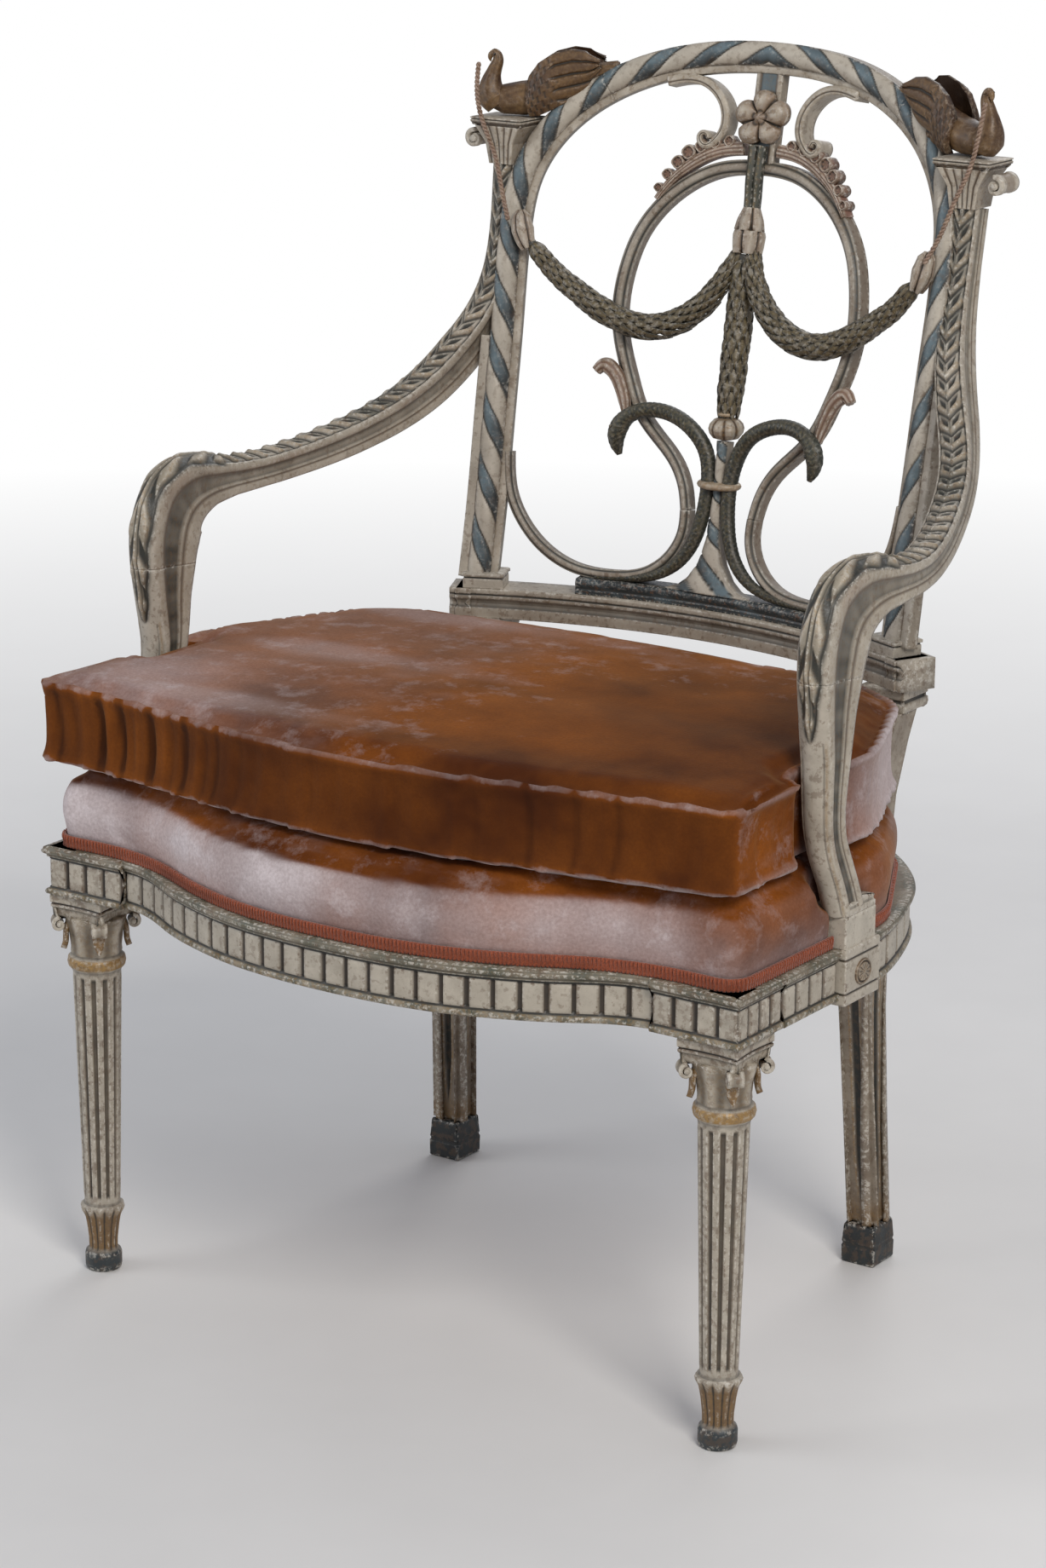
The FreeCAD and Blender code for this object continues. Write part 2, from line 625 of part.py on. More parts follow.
def square_wire(x, y, z, half):
    corners = [vec(x - half, y - half, z), vec(x + half, y - half, z), vec(x + half, y + half, z),
               vec(x - half, y + half, z)]
    return Part.makePolygon(corners + [corners[0]])


def stile_seat_y():
    """Front-to-back centre of what stands above the rear leg."""
    return surface_y(STILE_FOOT_X, CROSS_RAIL_TOP) - CROSS_RAIL_FORWARD + CROSS_RAIL_DEPTH / 2


def rear_leg():
    foot = box(REAR_FOOT_X - REAR_FOOT_SIZE / 2, REAR_FOOT_X + REAR_FOOT_SIZE / 2,
               REAR_FOOT_Y - REAR_FOOT_SIZE / 2 - 2, REAR_FOOT_Y + REAR_FOOT_SIZE / 2 + 2, 0, REAR_FOOT_HEIGHT)
    rise = RAIL_BOTTOM - REAR_FOOT_HEIGHT
    thin = REAR_ANKLE_SIZE / 2
    thick = REAR_LEG_SIZE / 2
    lower = [square_wire(REAR_FOOT_X + (REAR_LEG_X - REAR_FOOT_X) * t,
                         REAR_FOOT_Y + (REAR_LEG_Y - REAR_FOOT_Y) * s,
                         REAR_FOOT_HEIGHT + rise * t, thin + (thick - thin) * k)
             for t, s, k in ((0, 0, 0), (0.3, 0.42, 0.08), (0.65, 0.85, 0.4), (1, 1, 1))]
    upper_rise = CROSS_RAIL_BOTTOM - RAIL_TOP
    upper = [square_wire(REAR_LEG_X, REAR_LEG_Y + (stile_seat_y() - REAR_LEG_Y) * s,
                         RAIL_TOP + upper_rise * t, thick)
             for t, s in ((0, 0), (0.3, 0.12), (0.65, 0.5), (1, 1))]
    half = thick + 3
    cap = box(REAR_LEG_X - half, REAR_LEG_X + half, stile_seat_y() - half, stile_seat_y() + half,
              CROSS_RAIL_BOTTOM - REAR_CAP_HEIGHT, CROSS_RAIL_BOTTOM)
    leg = joined([foot, Part.makeLoft(lower, True, False, False), rear_leg_box(),
                  Part.makeLoft(upper, True, False, False), cap])
    return leg.cut(Part.makeCompound([rear_tenon(JOINT_GAP), stile_dowel(JOINT_GAP)]))


# Back frame

def bowed_block(half_width, z0, z1, forward, depth):
    """A block that follows the bow of the back, its face forward of the surface."""
    steps = [half_width * i / 4 for i in range(-4, 5)]
    front = [vec(x, surface_y(x, CROSS_RAIL_TOP) - forward, 0) for x in steps]
    rear = [p + vec(0, depth, 0) for p in front]
    return slab(front, rear, z0, z1)


def cross_rail():
    cove = CROSS_RAIL_HEIGHT * 0.22
    layers = [bowed_block(CROSS_RAIL_HALF, CROSS_RAIL_BOTTOM, CROSS_RAIL_TOP - 2 * cove, CROSS_RAIL_FORWARD,
                          CROSS_RAIL_DEPTH),
              bowed_block(CROSS_RAIL_HALF - 3, CROSS_RAIL_TOP - 2 * cove, CROSS_RAIL_TOP - cove,
                          CROSS_RAIL_FORWARD - 3, CROSS_RAIL_DEPTH - 6),
              bowed_block(CROSS_RAIL_HALF, CROSS_RAIL_TOP - cove, CROSS_RAIL_TOP, CROSS_RAIL_FORWARD,
                          CROSS_RAIL_DEPTH)]
    rail = joined(layers)
    return rail.cut(Part.makeCompound([stile_dowel(JOINT_GAP), mirrored(stile_dowel(JOINT_GAP))]))


def shoe_block():
    return bowed_block(SHOE_HALF, CROSS_RAIL_TOP, SHOE_TOP, CROSS_RAIL_FORWARD - 2, SHOE_DEPTH)


def stile_dowel(grow=0.0):
    """The pin through the cross rail that joins rear leg and stile."""
    low = CROSS_RAIL_BOTTOM - DOWEL_REACH
    start = vec(STILE_FOOT_X, stile_seat_y(), low - grow)
    return rod(start, Z_AXIS, DOWEL_DIAMETER / 2 + grow, STILE_BASE_Z - low + 2 * grow)


def arch_points():
    """Centre of the striped band over the right half of the arch, from its spring to the top."""
    points = []
    for turn in (0, 12, 25, 38, 52, 68, 90):
        angle = math.radians(turn)
        x = STILE_X * abs(math.cos(angle)) ** (2 / ARCH_POWER)
        z = ARCH_SPRING_Z + ARCH_RISE * math.sin(angle) ** (2 / ARCH_POWER)
        points.append((x, z))
    points[-1] = (0.0, ARCH_SPRING_Z + ARCH_RISE)
    return points


def stile_points():
    rise = ARCH_SPRING_Z - CROSS_RAIL_TOP
    return [(STILE_FOOT_X, STILE_BASE_Z - 5), (STILE_WAIST_X, CROSS_RAIL_TOP + rise * 0.25),
            (STILE_X - 3, CROSS_RAIL_TOP + rise * 0.48), (STILE_X - 1.5, CROSS_RAIL_TOP + rise * 0.73)]


BAND_COUNT = 41
BAND_STILE = 15


@lru_cache(maxsize=None)
def band_frames():
    """Frames along the middle of the face of the striped band, right foot to left foot."""
    right = stile_points() + arch_points()
    left = [(-x, z) for x, z in reversed(right[:-1])]
    return stations([on_back(x, z, BAND_FACE) for x, z in right + left], back_normal, BAND_COUNT)


def arch_section(frame, grow):
    """The crowned band with a flat strip along its inner side."""
    place, across, out = frame

    def at(b, n):
        return place + across * b + out * n

    side = BAND_WIDTH / 2 + grow
    edge = grow - BAND_EDGE
    back = -BAND_DEPTH - grow
    rim = -side - STRIP_WIDTH
    face = grow - BOARD_SETBACK
    points = [at(side, back), at(side, edge), at(-side, edge), at(-side, face - STRIP_CROWN),
              at(rim, face - STRIP_CROWN), at(rim, back)]
    edges = [Part.makeLine(points[0], points[1]), Part.Arc(points[1], at(0, grow), points[2]).toShape(),
             Part.makeLine(points[2], points[3]),
             Part.Arc(points[3], at((rim - side) / 2, face), points[4]).toShape(),
             Part.makeLine(points[4], points[5]), Part.makeLine(points[5], points[0])]
    return Part.Wire(edges)


@lru_cache(maxsize=None)
def arch_piece(first, last, grow=0.0):
    """The band and its strip from one frame to another."""
    wires = [arch_section(frame, grow) for frame in band_frames()[first:last + 1]]
    return Part.makeLoft(wires, True, False, False)


@lru_cache(maxsize=None)
def board_piece(grow=0.0):
    """The flat fillet along the outer side of the stile, from its foot up to the arm."""
    wires = []
    for place, across, out in band_frames():
        if place.x > 0 and place.z < BOARD_TOP_Z:
            sides = (BAND_WIDTH / 4 - grow, BAND_WIDTH / 2 + BOARD_OUTER + grow)
            faces = (grow - BOARD_SETBACK, -BAND_DEPTH + 1 - grow)
            corners = [place + across * sides[b] + out * faces[n] for b, n in SQUARE_TURN]
            wires.append(Part.makePolygon(corners + [corners[0]]))
    return Part.makeLoft(wires, True, False, False)


def spring_dowel(grow=0.0):
    """The pin between the right stile and the crest."""
    place, across, out = band_frames()[BAND_STILE]
    middle = place - out * (BAND_DEPTH / 2)
    axis = across.cross(out)
    start = middle - axis * (DOWEL_REACH + grow)
    return rod(start, axis, DOWEL_DIAMETER / 2 + grow, 2 * (DOWEL_REACH + grow))


def plinth():
    """The square block at the foot of the stile."""
    block = box(-PLINTH_WIDTH / 2, PLINTH_WIDTH / 2, -PLINTH_DEPTH / 2, PLINTH_DEPTH / 2, 0, PLINTH_HEIGHT)
    slope = -2 * BACK_BOW * STILE_FOOT_X / BACK_BOW_HALF ** 2
    block.rotate(vec(0, 0, 0), Z_AXIS, math.degrees(math.atan(slope)))
    block.translate(vec(STILE_FOOT_X, stile_seat_y() - 3, CROSS_RAIL_TOP))
    return block


def stile():
    piece = joined([arch_piece(0, BAND_STILE), board_piece(), plinth()])
    return piece.cut(Part.makeCompound([stile_dowel(JOINT_GAP), spring_dowel(JOINT_GAP)]))


def crest_arch():
    piece = arch_piece(BAND_STILE, BAND_COUNT - 1 - BAND_STILE)
    return piece.cut(Part.makeCompound([spring_dowel(JOINT_GAP), mirrored(spring_dowel(JOINT_GAP))]))


def frame_dowels():
    pins = [stile_dowel(), spring_dowel()]
    return Part.makeCompound(pins + [mirrored(pin) for pin in pins])


# Tracery of the back

def oval_outline():
    rise = OVAL_TOP_Z - OVAL_PINCH_Z
    return [(OVAL_HALF_WIDTH * u, OVAL_PINCH_Z + rise * v) for u, v in OVAL_CURVE]


@lru_cache(maxsize=None)
def oval_side(grow=0.0):
    return back_member(oval_outline(), TRACERY_FACE, [OVAL_WIDTH, OVAL_WIDTH, LOOP_WIDTH],
                       [OVAL_DEPTH, LOOP_DEPTH],
                       bar_section, 21, grow)


def loop_outline():
    """The loop from the pinch of the oval round to the strip beside the stile."""
    pinch_x = OVAL_HALF_WIDTH * OVAL_CURVE[-1][0]
    bottom = SHOE_TOP + LOOP_WIDTH / 2 + JOINT_GAP
    wall_x = STILE_WAIST_X + 1 - BAND_WIDTH / 2 - STRIP_WIDTH / 2 + 2
    rise = OVAL_PINCH_Z - bottom
    span = wall_x - pinch_x
    shape = [(0.0, 1.0), (0.0, 0.72), (0.06, 0.36), (0.2, 0.08), (0.38, 0.0), (0.58, 0.05), (0.75, 0.27),
             (0.88, 0.62), (0.965, 1.05), (1.0, 1.6)]
    return [(pinch_x + span * u, bottom + rise * v) for u, v in shape]


@lru_cache(maxsize=None)
def lower_loop(grow=0.0):
    solid = back_member(loop_outline(), TRACERY_FACE, [LOOP_WIDTH] * 2, [LOOP_DEPTH] * 2, bar_section, 21,
                        grow)
    if grow:
        return solid
    return largest(solid.cut(Part.makeCompound([arch_piece(0, BAND_STILE, JOINT_GAP), shoe_block()])))


def snake_points():
    """Centre line of the right-hand snake: tail on the shoe, neck over the oval, head outside it."""
    bottom = SHOE_TOP + SNAKE_TAIL / 2 + JOINT_GAP
    rise = BAND_RING_Z - bottom
    near = SPINDLE_WAIST + SNAKE_BODY / 2 + JOINT_GAP
    over = TRACERY_FACE + SNAKE_BODY / 2 + JOINT_GAP
    rows = [(104, bottom, 5), (82, bottom + 1, 5), (60, bottom + 4, 7), (40, bottom + rise * 0.14, 9),
            (near + 11, bottom + rise * 0.36, 9), (near + 2, bottom + rise * 0.68, 9), (near, BAND_RING_Z, 9),
            (near + 6, BAND_RING_Z + 27, 10), (near + 20, BAND_RING_Z + 44, over),
            (near + 40, BAND_RING_Z + 53, over),
            (near + 61, BAND_RING_Z + 54, over + 1), (near + 79, BAND_RING_Z + 44, over + 1),
            (near + 84, BAND_RING_Z + 30, over), (near + 80, BAND_RING_Z + 16, over - 1)]
    return [on_back(x, z, forward) for x, z, forward in rows]


@lru_cache(maxsize=None)
def snake_solid(grow=0.0):
    body = SNAKE_BODY
    widths = [SNAKE_TAIL, 5, 7, body - 3, body, body, body, body, body - 1, SNAKE_HEAD, SNAKE_HEAD - 2, 4]
    return skin(stations(snake_points(), back_normal, 27), widths, widths, round_section, grow)


def snake():
    blocked = [oval_side(JOINT_GAP), lower_loop(JOINT_GAP), shoe_block(), neck_ball(JOINT_GAP)]
    return largest(snake_solid().cut(Part.makeCompound(blocked)))


def largest(shape):
    return max(shape.Solids, key=lambda solid: solid.Volume)


def centre_spindle():
    """The flat striped spindle that flares between the snakes down to the shoe."""
    rise = BALL_Z - BALL_HEIGHT / 2 - SHOE_TOP
    sizes = [(0.0, SPINDLE_FLARE), (0.04, SPINDLE_FLARE * 0.66), (0.1, SPINDLE_FLARE * 0.45),
             (0.2, SPINDLE_FLARE * 0.26), (0.35, SPINDLE_FLARE * 0.14), (0.6, SPINDLE_WAIST),
             (0.8, SPINDLE_WAIST), (1.0, SPINDLE_WAIST + 1)]
    wires = []
    for t, half in sizes:
        place = on_back(0, SHOE_TOP + rise * t, 5 + 3 * t)
        wires.append(bar_section(place, X_AXIS, vec(0, -1, 0), 2 * half, 13))
    solid = Part.makeLoft(wires, True, False, False)
    snakes = [snake_solid(JOINT_GAP), mirrored(snake_solid(JOINT_GAP))]
    return largest(solid.cut(Part.makeCompound(snakes + [neck_ball(JOINT_GAP)])))


def band_ring():
    """The gilded band that holds the snakes to the spindle."""
    place = on_back(0, BAND_RING_Z, 9)
    wires = [round_section(place + vec(0, 0, dz), X_AXIS, vec(0, -1, 0), 2 * BAND_RING_HALF, BAND_RING_DEPTH)
             for dz in (-BAND_RING_HEIGHT / 2, BAND_RING_HEIGHT / 2)]
    plate = Part.makeLoft(wires, True, True, False)
    spindle = box(-SPINDLE_WAIST - 1.5, SPINDLE_WAIST + 1.5, place.y - 7, place.y + 9, BAND_RING_Z - 10,
                  BAND_RING_Z + 10)
    snakes = [snake_solid(JOINT_GAP), mirrored(snake_solid(JOINT_GAP))]
    ovals = [oval_side(JOINT_GAP), mirrored(oval_side(JOINT_GAP))]
    return largest(plate.cut(Part.makeCompound([spindle] + snakes + ovals)))


@lru_cache(maxsize=None)
def neck_ball(grow=0.0):
    """The carved ball with its small collar, over the spindle."""
    half = BALL_HEIGHT / 2
    radius = BALL_DIAMETER / 2
    profile = [(3, -half), (radius * 0.7, -half * 0.85), (radius, -half * 0.2), (radius, half * 0.2),
               (radius * 0.75, half * 0.75), (5, half), (5, DROP_BOTTOM_Z - BALL_Z - 0.2)]
    if grow:
        profile = [(r + grow, z) for r, z in profile]
        profile[0] = (profile[0][0], -half - grow)
    return revolved(profile, on_back(0, BALL_Z, CENTRE_FORWARD))


def hanging(points, sizes, count, section, grow=0.0):
    return skin(stations(points, back_normal, count), sizes, sizes, section, grow)


def laurel_drop(grow=0.0):
    drop = DROP_TOP_Z - DROP_BOTTOM_Z
    points = [on_back(0, DROP_BOTTOM_Z + drop * t, CENTRE_FORWARD) for t in (0, 0.3, 0.7, 1)]
    d = DROP_DIAMETER
    return hanging(points, [d * 0.6, d * 0.9, d * 0.92, d * 0.95, d * 0.97, d, d], 9, round_section, grow)


def bell_husk(grow=0.0):
    rise = HUSK_TOP_Z - DROP_TOP_Z
    points = [on_back(0, DROP_TOP_Z + 0.2 + rise * t, CENTRE_FORWARD) for t in (0, 0.4, 1)]
    d = HUSK_DIAMETER
    return hanging(points, [d * 0.9, d, d * 0.85, d * 0.55], 7, round_section, grow)


def ribbon(grow=0.0):
    """The doubled ribbon from the husk over the top of the oval to the rosette."""
    forward = TRACERY_FACE + RIBBON_THICKNESS / 2 + JOINT_GAP
    rows = [(HUSK_TOP_Z + 0.5, CENTRE_FORWARD), (HUSK_TOP_Z + 9, CENTRE_FORWARD + 1),
            (OVAL_TOP_Z - OVAL_WIDTH, forward),
            (OVAL_TOP_Z + OVAL_WIDTH / 2, forward), (ROSETTE_Z - ROSETTE_RADIUS - 2, forward)]
    points = [on_back(0, z, f) for z, f in rows]
    return skin(stations(points, back_normal, 9), [RIBBON_WIDTH] * 2, [RIBBON_THICKNESS] * 2, box_section,
                grow)


def facing_disc(x, z, forward, radius, thickness):
    """A disc whose face looks out of the back."""
    place = on_back(x, z, forward)
    return rod(place, back_normal(place), radius, thickness)


def rosette():
    """A knotted bow, shown as a lobed disc with a raised middle."""
    base = BRACKET_DEPTH / 2 + JOINT_GAP
    lobes = [facing_disc(0, ROSETTE_Z, base, ROSETTE_RADIUS * 0.62, ROSETTE_THICKNESS)]
    for i in range(6):
        angle = math.radians(60 * i + 30)
        lobes.append(facing_disc(ROSETTE_RADIUS * 0.6 * math.cos(angle),
                                 ROSETTE_Z + ROSETTE_RADIUS * 0.6 * math.sin(angle),
                                 base, ROSETTE_RADIUS * 0.4, ROSETTE_THICKNESS * 0.8))
    return joined(lobes)


def top_bracket():
    """The stem between the top of the oval and the crest, behind the rosette."""
    low = OVAL_TOP_Z
    high = ARCH_SPRING_Z + ARCH_RISE - BAND_WIDTH / 2
    solid = back_member([(0, low), (0, (low + high) / 2), (0, high)], BRACKET_DEPTH / 2, [BRACKET_WIDTH] * 2,
                        [BRACKET_DEPTH] * 2, bar_section, 5)
    arch = arch_piece(BAND_STILE, BAND_COUNT - 1 - BAND_STILE, JOINT_GAP)
    blocked = [oval_side(JOINT_GAP), mirrored(oval_side(JOINT_GAP)), arch]
    return largest(solid.cut(Part.makeCompound(blocked)))


@lru_cache(maxsize=None)
def c_scroll(grow=0.0):
    """The scroll that leaves the arch and curls down beside the rosette."""
    top = ARCH_SPRING_Z + ARCH_RISE
    outline = [(88, top - 27), (72, top - 24), (56, top - 26), (42, top - 36), (35, top - 50),
               (35.5, top - 62),
               (43, top - 71)]
    solid = back_member(outline, SCROLL_DEPTH / 2, [SCROLL_WIDTH] * 2, [SCROLL_DEPTH] * 2, bar_section,
                        13, grow)
    eye = facing_disc(50, top - 71, -SCROLL_DEPTH / 2, SCROLL_EYE_DIAMETER / 2 + grow, SCROLL_DEPTH)
    solid = joined([solid, eye])
    if grow:
        return solid
    return largest(solid.cut(arch_piece(BAND_STILE, BAND_COUNT - 1 - BAND_STILE, JOINT_GAP)))


def shell_leaf():
    """The lobed leaf that lies on the shoulder of the oval and carries the scroll."""
    rise = OVAL_TOP_Z - 854.0
    outline = [(16, 867), (34, 864.5), (50, 858), (64, 849), (77, 837), (88, 822)]
    outline = [(x, z + rise) for x, z in outline]
    solid = back_member(outline, SHELL_DEPTH / 2 + 1, [SHELL_WIDTH + 3, SHELL_WIDTH, 5], [SHELL_DEPTH] * 2,
                        bar_section, 11)
    lobes = [facing_disc(x, z + rise, -SHELL_DEPTH / 2 + 1, radius, SHELL_DEPTH)
             for x, z, radius in ((66, 859.5, 6.5), (74, 851, 6), (82, 841.5, 5))]
    blocked = [oval_side(JOINT_GAP), c_scroll(JOINT_GAP)]
    return largest(joined([solid] + lobes).cut(Part.makeCompound(blocked)))


def leaf_bud():
    """The small curled leaf outside the oval, below the swag."""
    outline = [(91, 646), (94, 658), (99, 671), (106, 682), (115, 687), (121, 683)]
    solid = back_member(outline, TRACERY_FACE, [5, 9, 10, 12, 9], [8, 9, 9, 10, 8], round_section, 11)
    return largest(solid.cut(Part.makeCompound([oval_side(JOINT_GAP), snake_solid(JOINT_GAP)])))


def swag_outline():
    return [(182, 786), (163, 765), (138, 746), (110, 730), (81, 723), (54, 728), (31, 744), (16, 765),
            (9, 780)]


@lru_cache(maxsize=None)
def swag_solid(grow=0.0):
    forward = TRACERY_FACE + SWAG_MIDDLE / 2 + JOINT_GAP
    depth = [BAND_FACE + 5, forward, forward + 1, forward + 1, forward + 1, forward + 1, forward, 14, 10]
    points = [on_back(x, z, f) for (x, z), f in zip(swag_outline(), depth)]
    sizes = [SWAG_END, SWAG_MIDDLE * 0.8, SWAG_MIDDLE, SWAG_MIDDLE, SWAG_MIDDLE, SWAG_MIDDLE * 0.8, SWAG_END]
    return skin(stations(points, back_normal, 21), sizes, sizes, round_section, grow)


def swag():
    blocked = [laurel_drop(JOINT_GAP), bell_husk(JOINT_GAP), garland_knob(JOINT_GAP),
               arch_piece(0, BAND_STILE + 2, JOINT_GAP), oval_side(JOINT_GAP)]
    return largest(swag_solid().cut(Part.makeCompound(blocked)))


@lru_cache(maxsize=None)
def garland_knob(grow=0.0):
    """The husk that holds the outer end of the swag, on the face of the stile."""
    forward = BAND_FACE + KNOB_DIAMETER / 2 - 4
    rows = [(191, 808), (189, 799), (186, 789), (182, 780)]
    points = [on_back(x, z, forward) for x, z in rows]
    d = KNOB_DIAMETER
    sizes = [d * 0.5, d * 0.9, d, d * 0.7]
    solid = skin(stations(points, back_normal, 7), sizes, sizes, round_section, grow)
    if grow:
        return solid
    return largest(solid.cut(arch_piece(BAND_STILE - 7, BAND_STILE + 1, JOINT_GAP)))


# Arms

ARM_COUNT = 49


def arm_foot_x():
    """The middle of the plinth under the arm support."""
    return SEAT_HALF_WIDTH + TOP_MOULDING_PROUD + ARM_BLOCK_PROUD - ARM_PLINTH_SETBACK - ARM_PLINTH_WIDTH / 2


def arm_rows():
    """Right arm and support: (x, y, z, width, depth) from the capital down to the plinth."""
    top_x = STILE_X + ARM_STILE_OFFSET
    reach_x = arm_foot_x() - top_x
    reach_y = ARM_BLOCK_Y - ARM_FOOT_FORWARD - ARM_TOP_Y
    rows = []
    for across, along, height, width, depth in ARM_CURVE:
        rows.append((top_x + reach_x * across, ARM_TOP_Y + reach_y * along,
                     KNUCKLE_Z + (CAPITAL_BASE_Z - KNUCKLE_Z) * height, ARM_WIDTH * width, ARM_DEPTH * depth))
    for across, along, height, width, depth in SUPPORT_CURVE:
        rows.append((top_x + reach_x * across, ARM_TOP_Y + reach_y * along,
                     ARM_PLINTH_TOP + (KNUCKLE_Z - ARM_PLINTH_TOP) * height, SUPPORT_WIDTH * width,
                     KNUCKLE_DEPTH * depth))
    return rows


@lru_cache(maxsize=None)
def whole_arm_frames():
    """Frames down the whole arm, with the width and depth at each."""
    rows = arm_rows()
    points = [vec(x, y, z) for x, y, z, w, d in rows]
    curve = spline(points)
    marks = [curve.parameter(p) for p in points]
    frames = []
    for place in curve.discretize(Number=ARM_COUNT):
        here = curve.parameter(place)
        index = max(i for i in range(len(marks) - 1) if here >= marks[i] - 1e-9)
        share = (here - marks[index]) / (marks[index + 1] - marks[index])
        width = rows[index][3] + (rows[index + 1][3] - rows[index][3]) * share
        depth = rows[index][4] + (rows[index + 1][4] - rows[index][4]) * share
        tangent = curve.tangent(here)[0]
        out = tangent.cross(X_AXIS).normalize()
        frames.append((place, tangent.cross(out), out, width, depth))
    return frames


def knuckle_index():
    """The frame where the arm is jointed to its support, under the knuckle."""
    frames = whole_arm_frames()
    return next(i for i, frame in enumerate(frames) if frame[0].z < 570 and frame[0].y < 0)


@lru_cache(maxsize=None)
def arm_stretch(first, last, grow=0.0):
    wires = [bar_section(place, across, out, width + 2 * grow, depth + 2 * grow)
             for place, across, out, width, depth in whole_arm_frames()[first:last + 1]]
    return Part.makeLoft(wires, True, False, False)


def support_dowel(grow=0.0):
    """The pin between the arm and its support."""
    place, across, out, width, depth = whole_arm_frames()[knuckle_index()]
    axis = across.cross(out)
    start = place - axis * (DOWEL_REACH * 0.6 + grow)
    return rod(start, axis, DOWEL_DIAMETER / 2 + grow, 2 * (DOWEL_REACH * 0.6 + grow))


def foot_dowel(grow=0.0):
    """The pin between the arm support and its plinth."""
    x, y, z, width, depth = arm_rows()[-1]
    return rod(vec(x, y + 4, z - DOWEL_REACH - grow), Z_AXIS, DOWEL_DIAMETER / 2 + grow,
               1.6 * DOWEL_REACH + 2 * grow)


def arm():
    solid = arm_stretch(0, knuckle_index())
    blocked = [arch_piece(0, BAND_STILE, JOINT_GAP), board_piece(JOINT_GAP), support_dowel(JOINT_GAP),
               arm_screw(JOINT_GAP)]
    return largest(solid.cut(Part.makeCompound(blocked)))


def arm_support():
    solid = arm_stretch(knuckle_index(), ARM_COUNT - 1)
    x = arm_foot_x()
    foot = box(x - ARM_PLINTH_WIDTH / 2, x + ARM_PLINTH_WIDTH / 2, ARM_BLOCK_Y - SUPPORT_FOOT_LENGTH / 2 - 1,
               ARM_BLOCK_Y + SUPPORT_FOOT_LENGTH / 2 - 1, ARM_PLINTH_TOP, ARM_PLINTH_TOP + SUPPORT_FOOT_HEIGHT)
    above = box(0, 2 * SEAT_HALF_WIDTH, 2 * CORNER_FRONT_Y, ARM_TOP_Y, ARM_PLINTH_TOP, CAPITAL_BASE_Z)
    solid = joined([solid.common(above), foot])
    return largest(solid.cut(Part.makeCompound([support_dowel(JOINT_GAP), foot_dowel(JOINT_GAP)])))


def arm_screw(grow=0.0):
    """The screw from the inner side of the stile into the arm."""
    z = 770.0
    start = vec(STILE_X - 6, surface_y(STILE_X, z) - 2, z)
    return rod(start, X_AXIS, SCREW_DIAMETER / 2 + grow, 22)


def capital():
    """The scrolled capital on top of the arm: plate, bracket and volute."""
    core_x = arm_rows()[0][0]
    plate_z = CAPITAL_TOP_Z - CAPITAL_PLATE
    plate = box(CAPITAL_INNER_X, CAPITAL_OUTER_X, CAPITAL_Y - CAPITAL_DEPTH / 2,
                CAPITAL_Y + CAPITAL_DEPTH / 2,
                plate_z, CAPITAL_TOP_Z)
    wires = []
    for z, left, right, half in ((CAPITAL_BASE_Z, core_x - 11, core_x + 11, 13),
                                 (plate_z - 14, core_x - 13, core_x + 14, 14),
                                 (plate_z, CAPITAL_INNER_X + 3, CAPITAL_OUTER_X - 3, 17)):
        corners = [vec(left, CAPITAL_Y - half, z), vec(right, CAPITAL_Y - half, z),
                   vec(right, CAPITAL_Y + half, z),
                   vec(left, CAPITAL_Y + half, z)]
        wires.append(Part.makePolygon(corners + [corners[0]]))
    bracket = Part.makeLoft(wires, True, False, False)
    volute = rod(vec(VOLUTE_X, CAPITAL_Y - VOLUTE_LENGTH / 2, VOLUTE_Z), Y_AXIS, VOLUTE_DIAMETER / 2,
                 VOLUTE_LENGTH)
    web = box(core_x, VOLUTE_X, CAPITAL_Y - VOLUTE_LENGTH / 2 + 2, CAPITAL_Y + VOLUTE_LENGTH / 2 - 2,
              VOLUTE_Z - 2, plate_z)
    solid = joined([plate, bracket, volute, web])
    blocked = [arch_piece(BAND_STILE - 5, BAND_STILE + 3, JOINT_GAP), arm_stretch(0, 3, JOINT_GAP)]
    return largest(solid.cut(Part.makeCompound(blocked)))


@lru_cache(maxsize=None)
def bird():
    """The small carved bird on the capital, head outward and tail towards the crest."""
    base = CAPITAL_TOP_Z
    k = BIRD_HEIGHT / 54.0
    outer = vec(242, 232, base)
    along = vec(133 - 242, 281 - 232, 0).normalize()
    aside = vec(-along.y, along.x, 0)

    def at(s, height, side=0.0):
        return outer + along * s + aside * side + vec(0, 0, height * k)

    body = hanging([at(0, 21), at(8, 18), at(24, 15), at(42, 16), at(62, 22), at(84, 31), at(106, 41)],
                   [6, 26, 33, 33, 32, 24, 12, 4], 15, round_section)
    neck = skin(stations([at(9, 24), at(10, 34), at(14, 43), at(17, 49), at(12, 50)], arm_normal, 9),
                [24, 17, 13, 13, 10, 5], [24, 17, 13, 13, 9, 4], round_section)
    wings = []
    for side in (-1, 1):
        tip = [at(34, 20, 9 * side), at(46, 31, 14 * side), at(66, 41, 13 * side), at(100, 47, 7 * side)]
        wings.append(skin(stations(tip, back_normal, 7), [22, 27, 27, 8], [9, 10, 8, 4], round_section))
    solid = joined([body, neck] + wings)
    above = box(0, 2 * CAPITAL_OUTER_X, 0, 2 * CAPITAL_Y, base, base + 4 * BIRD_HEIGHT)
    blocked = [arch_piece(0, BAND_STILE, JOINT_GAP),
               arch_piece(BAND_STILE, BAND_COUNT - 1 - BAND_STILE, JOINT_GAP)]
    return largest(solid.common(above).cut(Part.makeCompound(blocked)))


